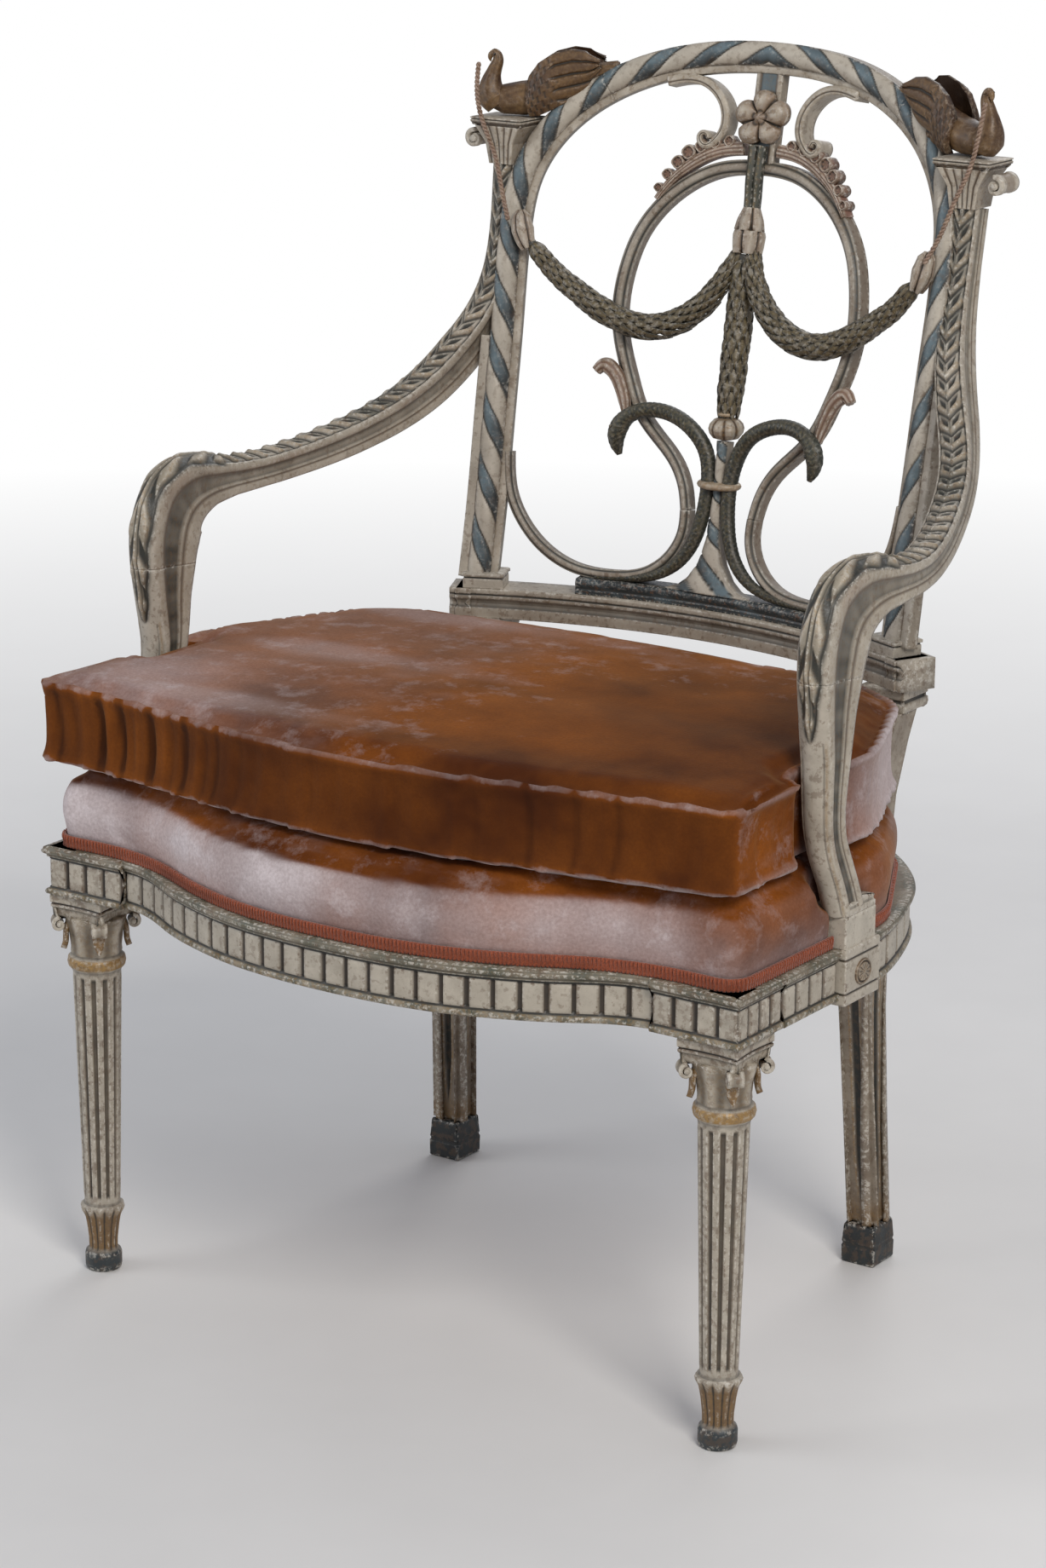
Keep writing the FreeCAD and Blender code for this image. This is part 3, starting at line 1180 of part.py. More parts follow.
def beak_cord():
    """The cord that hangs from the beak across the capital to the garland knob."""
    front = CAPITAL_Y - CAPITAL_DEPTH / 2 - CORD_WIDTH / 2 - 0.2
    rows = [(235, 222, CAPITAL_TOP_Z + 44), (233, front, CAPITAL_TOP_Z + 20), (227, front, CAPITAL_TOP_Z - 4),
            (215, front, CAPITAL_BASE_Z + 8), (205, front - 4, CAPITAL_BASE_Z - 20), (195, 207, 803)]
    points = [vec(x, y, z) for x, y, z in rows]
    solid = skin(stations(points, back_normal, 11), [CORD_WIDTH] * 2, [CORD_WIDTH - 1] * 2, round_section)
    return largest(solid.cut(Part.makeCompound([garland_knob(JOINT_GAP), bird(),
                                                arm_stretch(0, 8, JOINT_GAP)])))


# Upholstery and hidden parts

def strap_rows():
    """Centre lines of the webbing straps: four front to back, four side to side."""
    lengthways = [-150, -50, 50, 150]
    crossways = [-205, -125, -45, 35]
    return lengthways, crossways


def webbing():
    lengthways, crossways = strap_rows()
    straps = []
    for x in lengthways:
        front = CORNER_FRONT_Y - FRONT_BOW * (1 - (x / BLOCK_INNER_X) ** 2) + RAIL_THICKNESS * 0.5
        straps.append(box(x - STRAP_WIDTH / 2, x + STRAP_WIDTH / 2, front, REAR_LEG_Y + RAIL_THICKNESS * 0.3,
                          RAIL_TOP, RAIL_TOP + STRAP_THICKNESS))
    for y in crossways:
        half = SEAT_HALF_WIDTH - RAIL_THICKNESS * 0.6
        if y >= 0:
            half -= y * 0.8
        straps.append(box(-half, half, y - STRAP_WIDTH / 2, y + STRAP_WIDTH / 2, RAIL_TOP + STRAP_THICKNESS,
                          RAIL_TOP + 2 * STRAP_THICKNESS))
    notch = plinth_notch(SOFT_GAP, RAIL_TOP - 5, PAD_TOP)
    room = pad_skirt(-SOFT_GAP, RAIL_TOP, WEB_TOP).cut(Part.makeCompound([notch, mirrored(notch)]))
    return Part.makeCompound([largest(strap.common(room)) for strap in straps])


def seat_corners(reveal):
    """The seat outline drawn in by a reveal, as (x, y, radius) corners of the right half."""
    front = CORNER_FRONT_Y + reveal
    side = SEAT_HALF_WIDTH - reveal
    flare = SEAT_HALF_WIDTH - REAR_LEG_X
    return [(BLOCK_INNER_X * 0.38, front - FRONT_BOW, 330), (BLOCK_INNER_X * 0.92, front + 3, 200),
            (side, front, 16), (side + 3, -35, flare * 0.75), (side - flare * 0.433, 75, flare * 0.583),
            (REAR_LEG_X + 6, REAR_LEG_Y, 8), (0, REAR_LEG_Y + 6, 900)]


def support_notch(grow, low, high):
    """Room for the arm support in a soft solid."""
    rows = [row for row in arm_rows() if low - 25 < row[2] < high + 25 and row[1] < 0]
    left = min(x - w / 2 for x, y, z, w, d in rows) - grow
    front = min(y - d / 2 for x, y, z, w, d in rows) - grow
    rear = max(y + d / 2 for x, y, z, w, d in rows) + grow
    return box(left, 2 * SEAT_HALF_WIDTH, front, rear, low, high)


def plinth_notch(grow, low, high):
    """Room for the plinth of the arm support in the foot of the fixed seat."""
    x1 = SEAT_HALF_WIDTH + TOP_MOULDING_PROUD + ARM_BLOCK_PROUD - 2
    return box(x1 - ARM_PLINTH_WIDTH - grow, 2 * SEAT_HALF_WIDTH, ARM_BLOCK_FRONT_Y + 2 - grow,
               ARM_BLOCK_FRONT_Y + ARM_BLOCK_LENGTH - 4 + grow, low, high)


def soft_blocks(grow, low, high, notch):
    """Everything that a soft solid is cut back from."""
    leg = box(REAR_LEG_X - REAR_LEG_SIZE / 2 - grow, 2 * REAR_LEG_X, REAR_LEG_Y - REAR_LEG_SIZE / 2 - grow,
              REAR_LEG_Y + 100, low, high)
    return Part.makeCompound([notch, mirrored(notch), leg, mirrored(leg)])


def pad_skirt(thickness, z0, z1):
    wire = rounded_outline(scaled(seat_corners(PAD_REVEAL), -thickness), z0)
    return Part.Face(wire).extrude(vec(0, 0, z1 - z0))


def seat_pad():
    """The fixed, stuffed seat: straight skirt, swelling sides and a low crown."""
    edge = WEB_TOP + GIMP_HEIGHT
    crown = pillow(seat_corners(PAD_REVEAL), [(edge, 0), (edge + 14, -3), (edge + 28, -2), (PAD_TOP - 12, 3),
                                              (PAD_TOP - 4, 16), (PAD_TOP, 50)])
    pad = joined([pad_skirt(0, WEB_TOP, edge), crown])
    foot_top = ARM_PLINTH_TOP + SUPPORT_FOOT_HEIGHT
    notch = joined([plinth_notch(SOFT_GAP, WEB_TOP - 5, foot_top),
                    support_notch(SOFT_GAP, foot_top, PAD_TOP + 5)])
    support = arm_stretch(knuckle_index(), ARM_COUNT - 1, SOFT_GAP)
    blocked = [soft_blocks(SOFT_GAP, WEB_TOP - 5, PAD_TOP + 5, notch), support, mirrored(support)]
    return largest(pad.cut(Part.makeCompound(blocked)))


def gimp_braid():
    """The ribbed braid along the foot of the pad."""
    ring = pad_skirt(GIMP_THICKNESS, RAIL_TOP, RAIL_TOP + GIMP_HEIGHT)
    ring = ring.cut(pad_skirt(0, RAIL_TOP - 1, RAIL_TOP + GIMP_HEIGHT + 1))
    notch = plinth_notch(SOFT_GAP, RAIL_TOP - 5, PAD_TOP)
    braid = ring.cut(soft_blocks(SOFT_GAP, RAIL_TOP - 5, PAD_TOP, notch))
    return Part.makeCompound([s for s in braid.Solids if s.Volume > 100])


def cushion_corners():
    return [(0, CUSHION_FRONT_Y - CUSHION_BOW, 700), (CUSHION_HALF_WIDTH, CUSHION_FRONT_Y, 14),
            (CUSHION_HALF_WIDTH + 2, -40, 110), (CUSHION_HALF_WIDTH - 50, 86, 60),
            (CUSHION_HALF_WIDTH - 107, CUSHION_BACK_Y - 3, 24), (0, CUSHION_BACK_Y + 6, 900)]


def loose_cushion():
    """The loose box cushion: drawn-in sides between two seams, and a crowned top."""
    bottom, top = CUSHION_BOTTOM, CUSHION_TOP_EDGE
    layers = [(bottom, 9), (bottom + 6, 1), (bottom + 16, CUSHION_PINCH),
              ((bottom + top) / 2, CUSHION_PINCH + 1),
              (top - 10, CUSHION_PINCH), (top, 0), (top + CUSHION_CROWN * 0.35, 7),
              (top + CUSHION_CROWN * 0.65, 35),
              (top + CUSHION_CROWN * 0.9, 90), (top + CUSHION_CROWN, 150)]
    solid = pillow(cushion_corners(), layers)
    solid.translate(vec(CUSHION_SHIFT, 0, 0))
    notch = support_notch(LIFT_GAP, bottom - 5, top + CUSHION_CROWN + CUSHION_LIFT)
    return largest(solid.cut(soft_blocks(LIFT_GAP, bottom - 5, top + CUSHION_CROWN + 5, notch)))


def wedge(corners, z0, z1):
    points = [vec(x, y, z0) for x, y in corners]
    return Part.Face(Part.makePolygon(points + [points[0]])).extrude(vec(0, 0, z1 - z0))


def corner_braces(front, side):
    """Glued blocks in the corners of the seat frame, on the right-hand side."""
    z1 = RAIL_TOP - TOP_MOULDING_HEIGHT
    z0 = z1 - BRACE_HEIGHT
    near = CORNER_FRONT_Y + RAIL_THICKNESS - 14
    wall = SEAT_HALF_WIDTH - RAIL_THICKNESS + 2
    leg_x = REAR_LEG_X - REAR_LEG_SIZE / 2
    rail_y = REAR_LEG_Y - RAIL_THICKNESS / 2
    blocks = [wedge([(BLOCK_INNER_X - BRACE_LEG, near), (BLOCK_INNER_X, near),
                     (BLOCK_INNER_X, BLOCK_REAR_Y - 3)],
                    z0, z1),
              wedge([(wall - BRACE_LEG, BLOCK_REAR_Y), (wall, BLOCK_REAR_Y),
                     (wall, BLOCK_REAR_Y + BRACE_LEG)],
                    z0, z1),
              wedge([(leg_x - BRACE_LEG, rail_y), (leg_x + 2 * BRACE_LEG, rail_y),
                     (leg_x + 2 * BRACE_LEG, rail_y - 1.5 * BRACE_LEG)], z0, z1)]
    solids = [blocks[0].cut(front), blocks[1].cut(side), blocks[2].cut(side).cut(rear_leg_box())]
    screws = Part.makeCompound(brace_screws(JOINT_GAP))
    return [largest(solid.cut(screws)) for solid in solids]


def brace_screws(grow=0.0):
    """One screw through each brace, on the right-hand side."""
    z = RAIL_TOP - TOP_MOULDING_HEIGHT - BRACE_HEIGHT / 2
    radius = SCREW_DIAMETER / 2 + grow
    return [rod(vec(BLOCK_INNER_X - 8, BLOCK_REAR_Y - 14, z), X_AXIS, radius, 28 + grow),
            rod(vec(SEAT_HALF_WIDTH - BRACE_LEG, BLOCK_REAR_Y + 20, z), Y_AXIS * -1, radius, 40 + grow),
            rod(vec(REAR_LEG_X - BRACE_LEG * 0.7, REAR_LEG_Y - RAIL_THICKNESS - 2, z), Y_AXIS, radius,
                34 + grow)]


def pinned(shape, pins):
    return shape.cut(Part.makeCompound(pins))


def build():
    """Every sub-part by name, before the chair is set over the origin."""
    screws = brace_screws(JOINT_GAP)
    front = front_rail()
    side = side_rail()
    right = {
        "front_leg": pinned(front_leg(), screws),
        "rear_leg": rear_leg(),
        "side_rail": pinned(side, [foot_dowel(JOINT_GAP)]),
        "arm_block_patera": patera(),
        "stile": pinned(stile(), [arm_screw(JOINT_GAP)]),
        "oval_side": oval_side(),
        "lower_loop": lower_loop(),
        "snake": snake(),
        "swag": swag(),
        "garland_knob": garland_knob(),
        "c_scroll": c_scroll(),
        "shell_leaf": shell_leaf(),
        "leaf_bud": leaf_bud(),
        "arm": arm(),
        "arm_support": arm_support(),
        "capital": capital(),
        "bird": bird(),
        "beak_cord": beak_cord(),
    }
    nodes = {}
    for name, shape in right.items():
        nodes[name + "_right"] = shape
        nodes[name + "_left"] = mirrored(shape)
    braces = corner_braces(front, side)
    loose_screws = brace_screws() + [arm_screw()]
    pins = [support_dowel(), foot_dowel()]
    nodes["front_rail"] = front
    nodes["back_rail"] = pinned(back_rail(), screws + [mirrored(s) for s in screws])
    nodes["cross_rail"] = cross_rail()
    nodes["shoe_block"] = shoe_block()
    nodes["crest_arch"] = crest_arch()
    nodes["frame_dowels"] = frame_dowels()
    nodes["centre_spindle"] = centre_spindle()
    nodes["spindle_band"] = band_ring()
    nodes["neck_ball"] = neck_ball()
    nodes["laurel_drop"] = laurel_drop()
    nodes["bell_husk"] = bell_husk()
    nodes["ribbon"] = ribbon()
    nodes["rosette"] = rosette()
    nodes["top_bracket"] = top_bracket()
    nodes["corner_braces"] = Part.makeCompound(braces + [mirrored(b) for b in braces])
    nodes["frame_screws"] = Part.makeCompound(loose_screws + [mirrored(s) for s in loose_screws])
    nodes["arm_dowels"] = Part.makeCompound(pins + [mirrored(p) for p in pins])
    nodes["webbing"] = webbing()
    nodes["seat_pad"] = seat_pad()
    nodes["gimp_braid"] = gimp_braid()
    nodes["loose_cushion"] = loose_cushion()
    return nodes


def main():
    nodes = build()
    whole = Part.makeCompound(list(nodes.values()))
    bounds = whole.optimalBoundingBox(False, False)
    middle = (bounds.YMin + bounds.YMax) / 2
    corners = (bounds.XMin, bounds.XMax, bounds.YMin, bounds.YMax, bounds.ZMin, bounds.ZMax)
    print("depth middle", round(middle, 3), "box", [round(v, 1) for v in corners])
    for name, shape in nodes.items():
        placed = shape.copy()
        placed.translate(vec(0, -middle, 0))
        solids = placed.Solids
        print(name, len(solids), round(placed.Volume))
        placed = solids[0] if len(solids) == 1 else Part.makeCompound(solids)
        placed.exportStep("parts/" + name + ".step")


main()
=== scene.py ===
"""Dresses the carved armchair: painted carving, velvet seat, soft studio and camera."""
import logging
import math
from dataclasses import dataclass, field, replace
from enum import Enum
from typing import Callable, Sequence

import bmesh
import bpy
import numpy as np
from mathutils import Matrix, Vector


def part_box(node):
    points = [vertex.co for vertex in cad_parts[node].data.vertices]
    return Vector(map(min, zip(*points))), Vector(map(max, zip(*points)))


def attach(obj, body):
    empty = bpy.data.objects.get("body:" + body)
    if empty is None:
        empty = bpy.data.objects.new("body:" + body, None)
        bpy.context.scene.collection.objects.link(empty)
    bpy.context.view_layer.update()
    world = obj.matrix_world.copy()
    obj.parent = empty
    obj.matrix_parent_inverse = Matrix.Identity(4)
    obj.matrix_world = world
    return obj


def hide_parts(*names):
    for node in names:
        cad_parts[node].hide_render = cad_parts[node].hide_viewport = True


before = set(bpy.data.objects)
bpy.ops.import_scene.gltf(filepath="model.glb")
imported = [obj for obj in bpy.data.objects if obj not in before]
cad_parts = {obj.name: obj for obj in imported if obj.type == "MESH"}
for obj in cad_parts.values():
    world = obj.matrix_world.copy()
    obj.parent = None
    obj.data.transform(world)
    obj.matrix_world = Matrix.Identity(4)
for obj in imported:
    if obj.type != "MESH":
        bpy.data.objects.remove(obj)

log = logging.getLogger("armchair")

Array = np.ndarray
Triple = tuple[float, float, float]
Mesh = bpy.types.Mesh
Material = bpy.types.Material
Socket = bpy.types.NodeSocket
MM = 0.001
FRONT_EDGE_Y = -314.5
RAIL_TOP = 356.0
RAIL_BOTTOM = 317.0
PAD_EDGE = 418.0
PAD_SHADE = 14.0
MIRROR = np.array([-1.0, 1.0, 1.0])
UP = np.array([0.0, 0.0, 1.0])
CORNERS = ((-1, -1), (1, -1), (1, 1), (-1, 1))
SIDES = ("right", "left")
ATTRIBUTE_KINDS = {1: ("FLOAT", "value"), 3: ("FLOAT_VECTOR", "vector"), 4: ("FLOAT_COLOR", "color")}


def srgb(red: float, green: float, blue: float) -> Triple:
    """A screen colour of 0 to 255 as the linear colour that shaders use.

    Args:
        red: red, 0 to 255.
        green: green, 0 to 255.
        blue: blue, 0 to 255.
    Returns:
        The three linear values.
    """
    def line(value: float) -> float:
        """One channel."""
        value = value / 255
        return value / 12.92 if value <= 0.04045 else ((value + 0.055) / 1.055) ** 2.4
    return line(red), line(green), line(blue)


CREAM = np.array(srgb(198, 189, 173))
CREAM_SHADE = np.array(srgb(156, 144, 127))
BLUE_GREY = np.array(srgb(98, 114, 120))
DARK_GREEN = np.array(srgb(48, 51, 44))
GREEN_GREY = np.array(srgb(86, 88, 75))
BROWN = np.array(srgb(100, 74, 52))
BIRD_BROWN = np.array(srgb(96, 66, 45))
GOLD = np.array(srgb(152, 122, 78))
ROSE = np.array(srgb(150, 112, 96))
INK = np.array(srgb(40, 40, 38))


def mix(first: Array, second: Array, share: Array | float) -> Array:
    """Blend two colours, or arrays of them, by a share from 0 to 1."""
    share = np.clip(np.asarray(share, float), 0, 1)[..., None]
    return np.asarray(first) * (1 - share) + np.asarray(second) * share


def cream(shade: Array | float) -> Array:
    """Cream paint, clean at 0 and shaded at 1."""
    return mix(CREAM, CREAM_SHADE, shade)


def step(low: float, high: float, value: Array) -> Array:
    """A smooth step from 0 at low to 1 at high."""
    part = np.clip((value - low) / (high - low), 0, 1)
    return part * part * (3 - 2 * part)


def bump(value: Array, centre: float, half: float) -> Array:
    """A smooth hill of height 1 at centre that is 0 beyond half."""
    return np.clip(1 - ((value - centre) / half) ** 2, 0, 1) ** 1.5


def hill(value: Array, centre: float, half: float) -> Array:
    """A bell of height 1 at centre that never quite reaches 0."""
    return np.exp(-((value - centre) / half) ** 2)


def circle(count: int) -> Array:
    """Even angles round one turn, from -pi up to the last one before pi."""
    return np.linspace(-math.pi, math.pi, count, endpoint=False)


def wobble(*values: Array, seed: float = 0.0) -> Array:
    """A slow, even variation between -1 and 1 made of sines.

    Args:
        values: coordinates, each scaled to its own waves.
        seed: moves the pattern.
    Returns:
        The variation at each place.
    """
    total = 0.0
    for index, value in enumerate(values):
        total = total + np.sin(value * (1.0 + 0.37 * index) + seed * 1.7 + index * 2.1)
        total = total + 0.5 * np.sin(value * (2.3 + 0.51 * index) + seed * 0.9 + index)
    return total / (1.5 * len(values))


# The shared frame of the chair

def depth_shift() -> float:
    """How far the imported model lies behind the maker's own origin, in mm.

    Returns:
        The shift along Y that brings the maker's sizes into the frame.
    """
    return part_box("front_rail")[0][1] / MM - FRONT_EDGE_Y


SHIFT = depth_shift()


@dataclass(frozen=True)
class BackSurface:
    """The raked surface, bowed backward in the middle, that carries the whole back."""
    datum_y: float = 238.0
    datum_z: float = 600.0
    rake: float = 0.19
    bow: float = 40.6
    bow_half: float = 190.0

    def y(self, x: Array, z: Array) -> Array:
        """Depth of the surface at x and z."""
        return self.datum_y + self.rake * (z - self.datum_z) - self.bow * (x / self.bow_half) ** 2

    def lift(self, rows: Sequence[tuple[float, float]], forward: float | Sequence[float] = 0.0) -> Array:
        """Points of the surface moved forward.

        Args:
            rows: x and z of each point.
            forward: how far in front of the surface, one value or one each.
        Returns:
            The points as an array of x, y, z.
        """
        table = np.array(rows, float)
        y = self.y(table[:, 0], table[:, 1]) - np.asarray(forward, float)
        return np.column_stack([table[:, 0], y, table[:, 1]])

    def normal(self, points: Array) -> Array:
        """Directions out of the front of the surface at the points."""
        out = np.column_stack([-2 * self.bow * points[:, 0] / self.bow_half ** 2, -np.ones(len(points)),
                               np.full(len(points), self.rake)])
        return out / np.linalg.norm(out, axis=1)[:, None]


BACK = BackSurface()


# Paths, sections and swept skins

def spline_through(points: Array, count: int) -> Array:
    """Evenly spaced places on a smooth curve through the points.

    Args:
        points: the points that the curve passes through.
        count: how many places to return.
    Returns:
        An array of count places.
    """
    pts = np.asarray(points, float)
    gaps = np.linalg.norm(np.diff(pts, axis=0), axis=1)
    marks = np.concatenate([[0], np.cumsum(gaps)])
    size = len(pts)
    matrix = np.eye(size)
    right = np.zeros_like(pts)
    for i in range(1, size - 1):
        matrix[i, i - 1:i + 2] = (gaps[i - 1], 2 * (gaps[i - 1] + gaps[i]), gaps[i])
        right[i] = 6 * ((pts[i + 1] - pts[i]) / gaps[i] - (pts[i] - pts[i - 1]) / gaps[i - 1])
    bend = np.linalg.solve(matrix, right)
    where = np.linspace(0, marks[-1], max(count * 6, 600))
    k = np.clip(np.searchsorted(marks, where, side="right") - 1, 0, size - 2)
    h = gaps[k][:, None]
    a = ((marks[k + 1] - where)[:, None]) / h
    b = 1 - a
    curve = a * pts[k] + b * pts[k + 1] + ((a ** 3 - a) * bend[k] + (b ** 3 - b) * bend[k + 1]) * h ** 2 / 6
    run = np.concatenate([[0], np.cumsum(np.linalg.norm(np.diff(curve, axis=0), axis=1))])
    even = np.linspace(0, run[-1], count)
    return np.column_stack([np.interp(even, run, curve[:, i]) for i in range(curve.shape[1])])


def lengths_along(path: Array) -> Array:
    """Distance of each place from the start of the path."""
    return np.concatenate([[0], np.cumsum(np.linalg.norm(np.diff(path, axis=0), axis=1))])


@dataclass
class Track:
    """A path with a frame at each place: across lies beside it and out points away from the work."""
    path: Array
    across: Array
    out: Array

    @property
    def run(self) -> Array:
        """Distance along the path."""
        return lengths_along(self.path)

    @staticmethod
    def along(path: Array, hint: Array) -> "Track":
        """Build the frames from hints of the outward direction.

        Args:
            path: the places of the path.
            hint: roughly outward at each place.
        Returns:
            The track.
        """
        tangent = np.gradient(path, axis=0)
        tangent /= np.linalg.norm(tangent, axis=1)[:, None]
        out = hint - tangent * np.sum(hint * tangent, axis=1)[:, None]
        out /= np.linalg.norm(out, axis=1)[:, None]
        return Track(path, np.cross(tangent, out), out)

    def part(self, first: int, last: int) -> "Track":
        """The stretch from one place to another, both included."""
        return Track(self.path[first:last + 1], self.across[first:last + 1], self.out[first:last + 1])

    def ring(self, b: Array, n: Array) -> Array:
        """Points at offsets across and out, one row for each place."""
        return self.path[:, None] + self.across[:, None] * b[..., None] + self.out[:, None] * n[..., None]


def back_track(rows: Sequence[tuple[float, float]], forward: float | Sequence[float], spacing: float) -> Track:
    """A track on the surface of the back.

    Args:
        rows: x and z of the points that it passes through.
        forward: how far in front of the surface it runs.
        spacing: distance between places in mm.
    Returns:
        The track.
    """
    points = BACK.lift(rows, forward)
    count = max(int(lengths_along(points)[-1] / spacing), 8)
    path = spline_through(points, count)
    return Track.along(path, BACK.normal(path))


@dataclass
class Skin:
    """A grid of points with its paint: rows run along, columns run round."""
    grid: Array
    tint: Array
    gilt: Array | float = 0.0
    wear: Array | float = 0.0
    closed: bool = True
    along: Array | None = None

    def mirrored(self) -> "Skin":
        """The same skin on the other side of the chair."""
        return replace(self, grid=self.grid * MIRROR)


def full(value: Array | float, shape: tuple[int, ...]) -> Array:
    """Spread one value over a whole grid."""
    return np.broadcast_to(np.asarray(value, float), shape).astype(float)


def store_values(mesh: Mesh, name: str, values: Array) -> None:
    """Store one value, vector or colour for each point of a mesh."""
    kind, label = ATTRIBUTE_KINDS[values.shape[1] if values.ndim > 1 else 1]
    mesh.attributes.new(name, kind, "POINT").data.foreach_set(label, values.astype(np.float32).ravel())


def read_vectors(mesh: Mesh, label: str = "co") -> Array:
    """The place (co) or the normal of each point of a mesh.

    Args:
        mesh: the mesh.
        label: co or normal.
    Returns:
        One row for each point.
    """
    values = np.empty(len(mesh.vertices) * 3, np.float32)
    mesh.vertices.foreach_get(label, values)
    return values.reshape(-1, 3)


def new_object(name: str, data: bpy.types.ID) -> bpy.types.Object:
    """A new object at the origin of the scene.

    Args:
        name: its name.
        data: its mesh, lamp or camera.
    Returns:
        The object.
    """
    made = bpy.data.objects.new(name, data)
    bpy.context.scene.collection.objects.link(made)
    return made


def skin_to_mesh(name: str, skins: Sequence[Skin]) -> Mesh:
    """One mesh from several skins, with its paint and a UV map in metres.

    Args:
        name: the mesh's name.
        skins: the skins to join.
    Returns:
        The new mesh, faces pointing outwards.
    """
    verts, tint, gilt, wear, uv = [], [], [], [], []
    faces: list[tuple[int, ...]] = []
    base = 0
    for skin in skins:
        grid = skin.grid
        rows, cols = grid.shape[:2]
        colour = full(skin.tint, (rows, cols, 3))
        gold = full(skin.gilt, (rows, cols))
        worn = full(skin.wear, (rows, cols))
        points = grid.reshape(-1, 3)
        index = np.arange(rows * cols).reshape(rows, cols) + base
        ahead = np.roll(index, -1, axis=1) if skin.closed else index[:, 1:]
        here = index if skin.closed else index[:, :-1]
        quads = np.stack([here[:-1], ahead[:-1], ahead[1:], here[1:]], axis=-1).reshape(-1, 4)
        caps = [index[0], index[-1][::-1]] if skin.closed else []
        centre = points.mean(axis=0)
        a, b, c, d = (points[quads[:, i] - base] - centre for i in range(4))
        volume = np.sum(a * np.cross(b, c)) + np.sum(a * np.cross(c, d))
        for cap in caps:
            ring = points[cap - base] - centre
            middle = ring.mean(axis=0)
            # the cap runs the other way round than the quads next to it
            volume += np.sum(np.cross(ring, np.roll(ring, 1, axis=0)) @ middle)
        turned = volume < 0
        faces.extend(map(tuple, (quads[:, ::-1] if turned else quads).tolist()))
        for cap in caps:
            hub = base + len(points)
            ring = (cap if turned else cap[::-1]).tolist()
            faces.extend((ring[i], ring[(i + 1) % cols], hub) for i in range(cols))
            points = np.vstack([points, points[cap - base].mean(axis=0)])
        verts.append(points)
        tails = (0, -1)[:len(caps)]
        tint.append(np.vstack([colour.reshape(-1, 3)] + [colour[t].mean(axis=0) for t in tails]))
        gilt.append(np.concatenate([gold.ravel()] + [[gold[t].mean()] for t in tails]))
        wear.append(np.concatenate([worn.ravel()] + [[worn[t].mean()] for t in tails]))
        run = skin.along if skin.along is not None else lengths_along(grid.mean(axis=1))
        u = np.broadcast_to(np.linspace(0, 1, cols)[None, :], (rows, cols))
        v = np.broadcast_to(np.asarray(run)[:, None] * MM, (rows, cols))
        flat = np.stack([u, v], axis=-1).reshape(-1, 2)
        uv.append(np.vstack([flat] + [flat[:1]] * len(caps)))
        base += len(points)
    coordinates = np.vstack(verts) * MM
    coordinates[:, 1] += SHIFT * MM
    mesh = bpy.data.meshes.new(name)
    mesh.from_pydata(coordinates.tolist(), [], faces)
    store_values(mesh, "tint", np.hstack([np.vstack(tint), np.ones((len(coordinates), 1))]))
    store_values(mesh, "gilt", np.concatenate(gilt))
    store_values(mesh, "wear", np.concatenate(wear))
    layer = mesh.uv_layers.new(name="length")
    corners = np.empty(len(mesh.loops), np.int64)
    mesh.loops.foreach_get("vertex_index", corners)
    layer.data.foreach_set("uv", np.vstack(uv)[corners].astype(np.float32).ravel())
    mesh.polygons.foreach_set("use_smooth", np.ones(len(mesh.polygons), bool))
    mesh.update()
    mark_hollows(mesh)
    return mesh


def mark_hollows(mesh: Mesh) -> None:
    """Store how hollow each place is: above 0 in a groove, below 0 on a ridge.

    Args:
        mesh: the mesh to mark.
    """
    count = len(mesh.vertices)
    places, normals = read_vectors(mesh), read_vectors(mesh, "normal")
    ends = np.empty(len(mesh.edges) * 2, np.int32)
    mesh.edges.foreach_get("vertices", ends)
    first, last = ends.reshape(-1, 2).T
    way = places[last] - places[first]
    way /= np.maximum(np.linalg.norm(way, axis=1), 1e-9)[:, None]
    met = np.maximum(np.bincount(first, minlength=count) + np.bincount(last, minlength=count), 1)
    hollow = np.bincount(first, np.sum(way * normals[first], axis=1), count)
    hollow -= np.bincount(last, np.sum(way * normals[last], axis=1), count)
    hollow /= met
    for _ in range(2):
        spread = np.bincount(first, hollow[last], count) + np.bincount(last, hollow[first], count)
        hollow = 0.5 * hollow + 0.5 * spread / met
    store_values(mesh, "hollow", hollow)


class Body(Enum):
    """The bodies that the pieces ride on."""
    FRAME = "frame"
    CUSHION = "cushion"


def place(mesh: Mesh, material: Material, nodes: Sequence[str], slot: str,
          body: Body = Body.FRAME) -> bpy.types.Object:
    """Put a finished mesh in the scene as a piece.

    Args:
        mesh: the mesh, whose name the piece takes.
        material: its finish.
        nodes: the solids that the piece stands for.
        slot: not used.
        body: the body that it rides on.
    Returns:
        The new object.
    """
    piece = new_object(mesh.name, mesh)
    mesh.materials.clear()
    mesh.materials.append(material)
    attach(piece, body.value)
    if nodes:
        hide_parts(*nodes)
    log.info("%s: %d faces", piece.name, len(mesh.polygons))
    return piece


def place_pairs(*rows: tuple[str, str, Sequence[Skin], Material, str]) -> None:
    """Put right-hand pieces and their mirror images in the scene.

    Args:
        rows: for each piece its name with {} for the side, its node, skins, finish and slot.
    """
    for side in SIDES:
        for name, node, skins, finish, slot in rows:
            made = [skin.mirrored() if side == "left" else skin for skin in skins]
            place(skin_to_mesh(name.format(side), made), finish, [f"{node}_{side}"], slot)


# Finishes

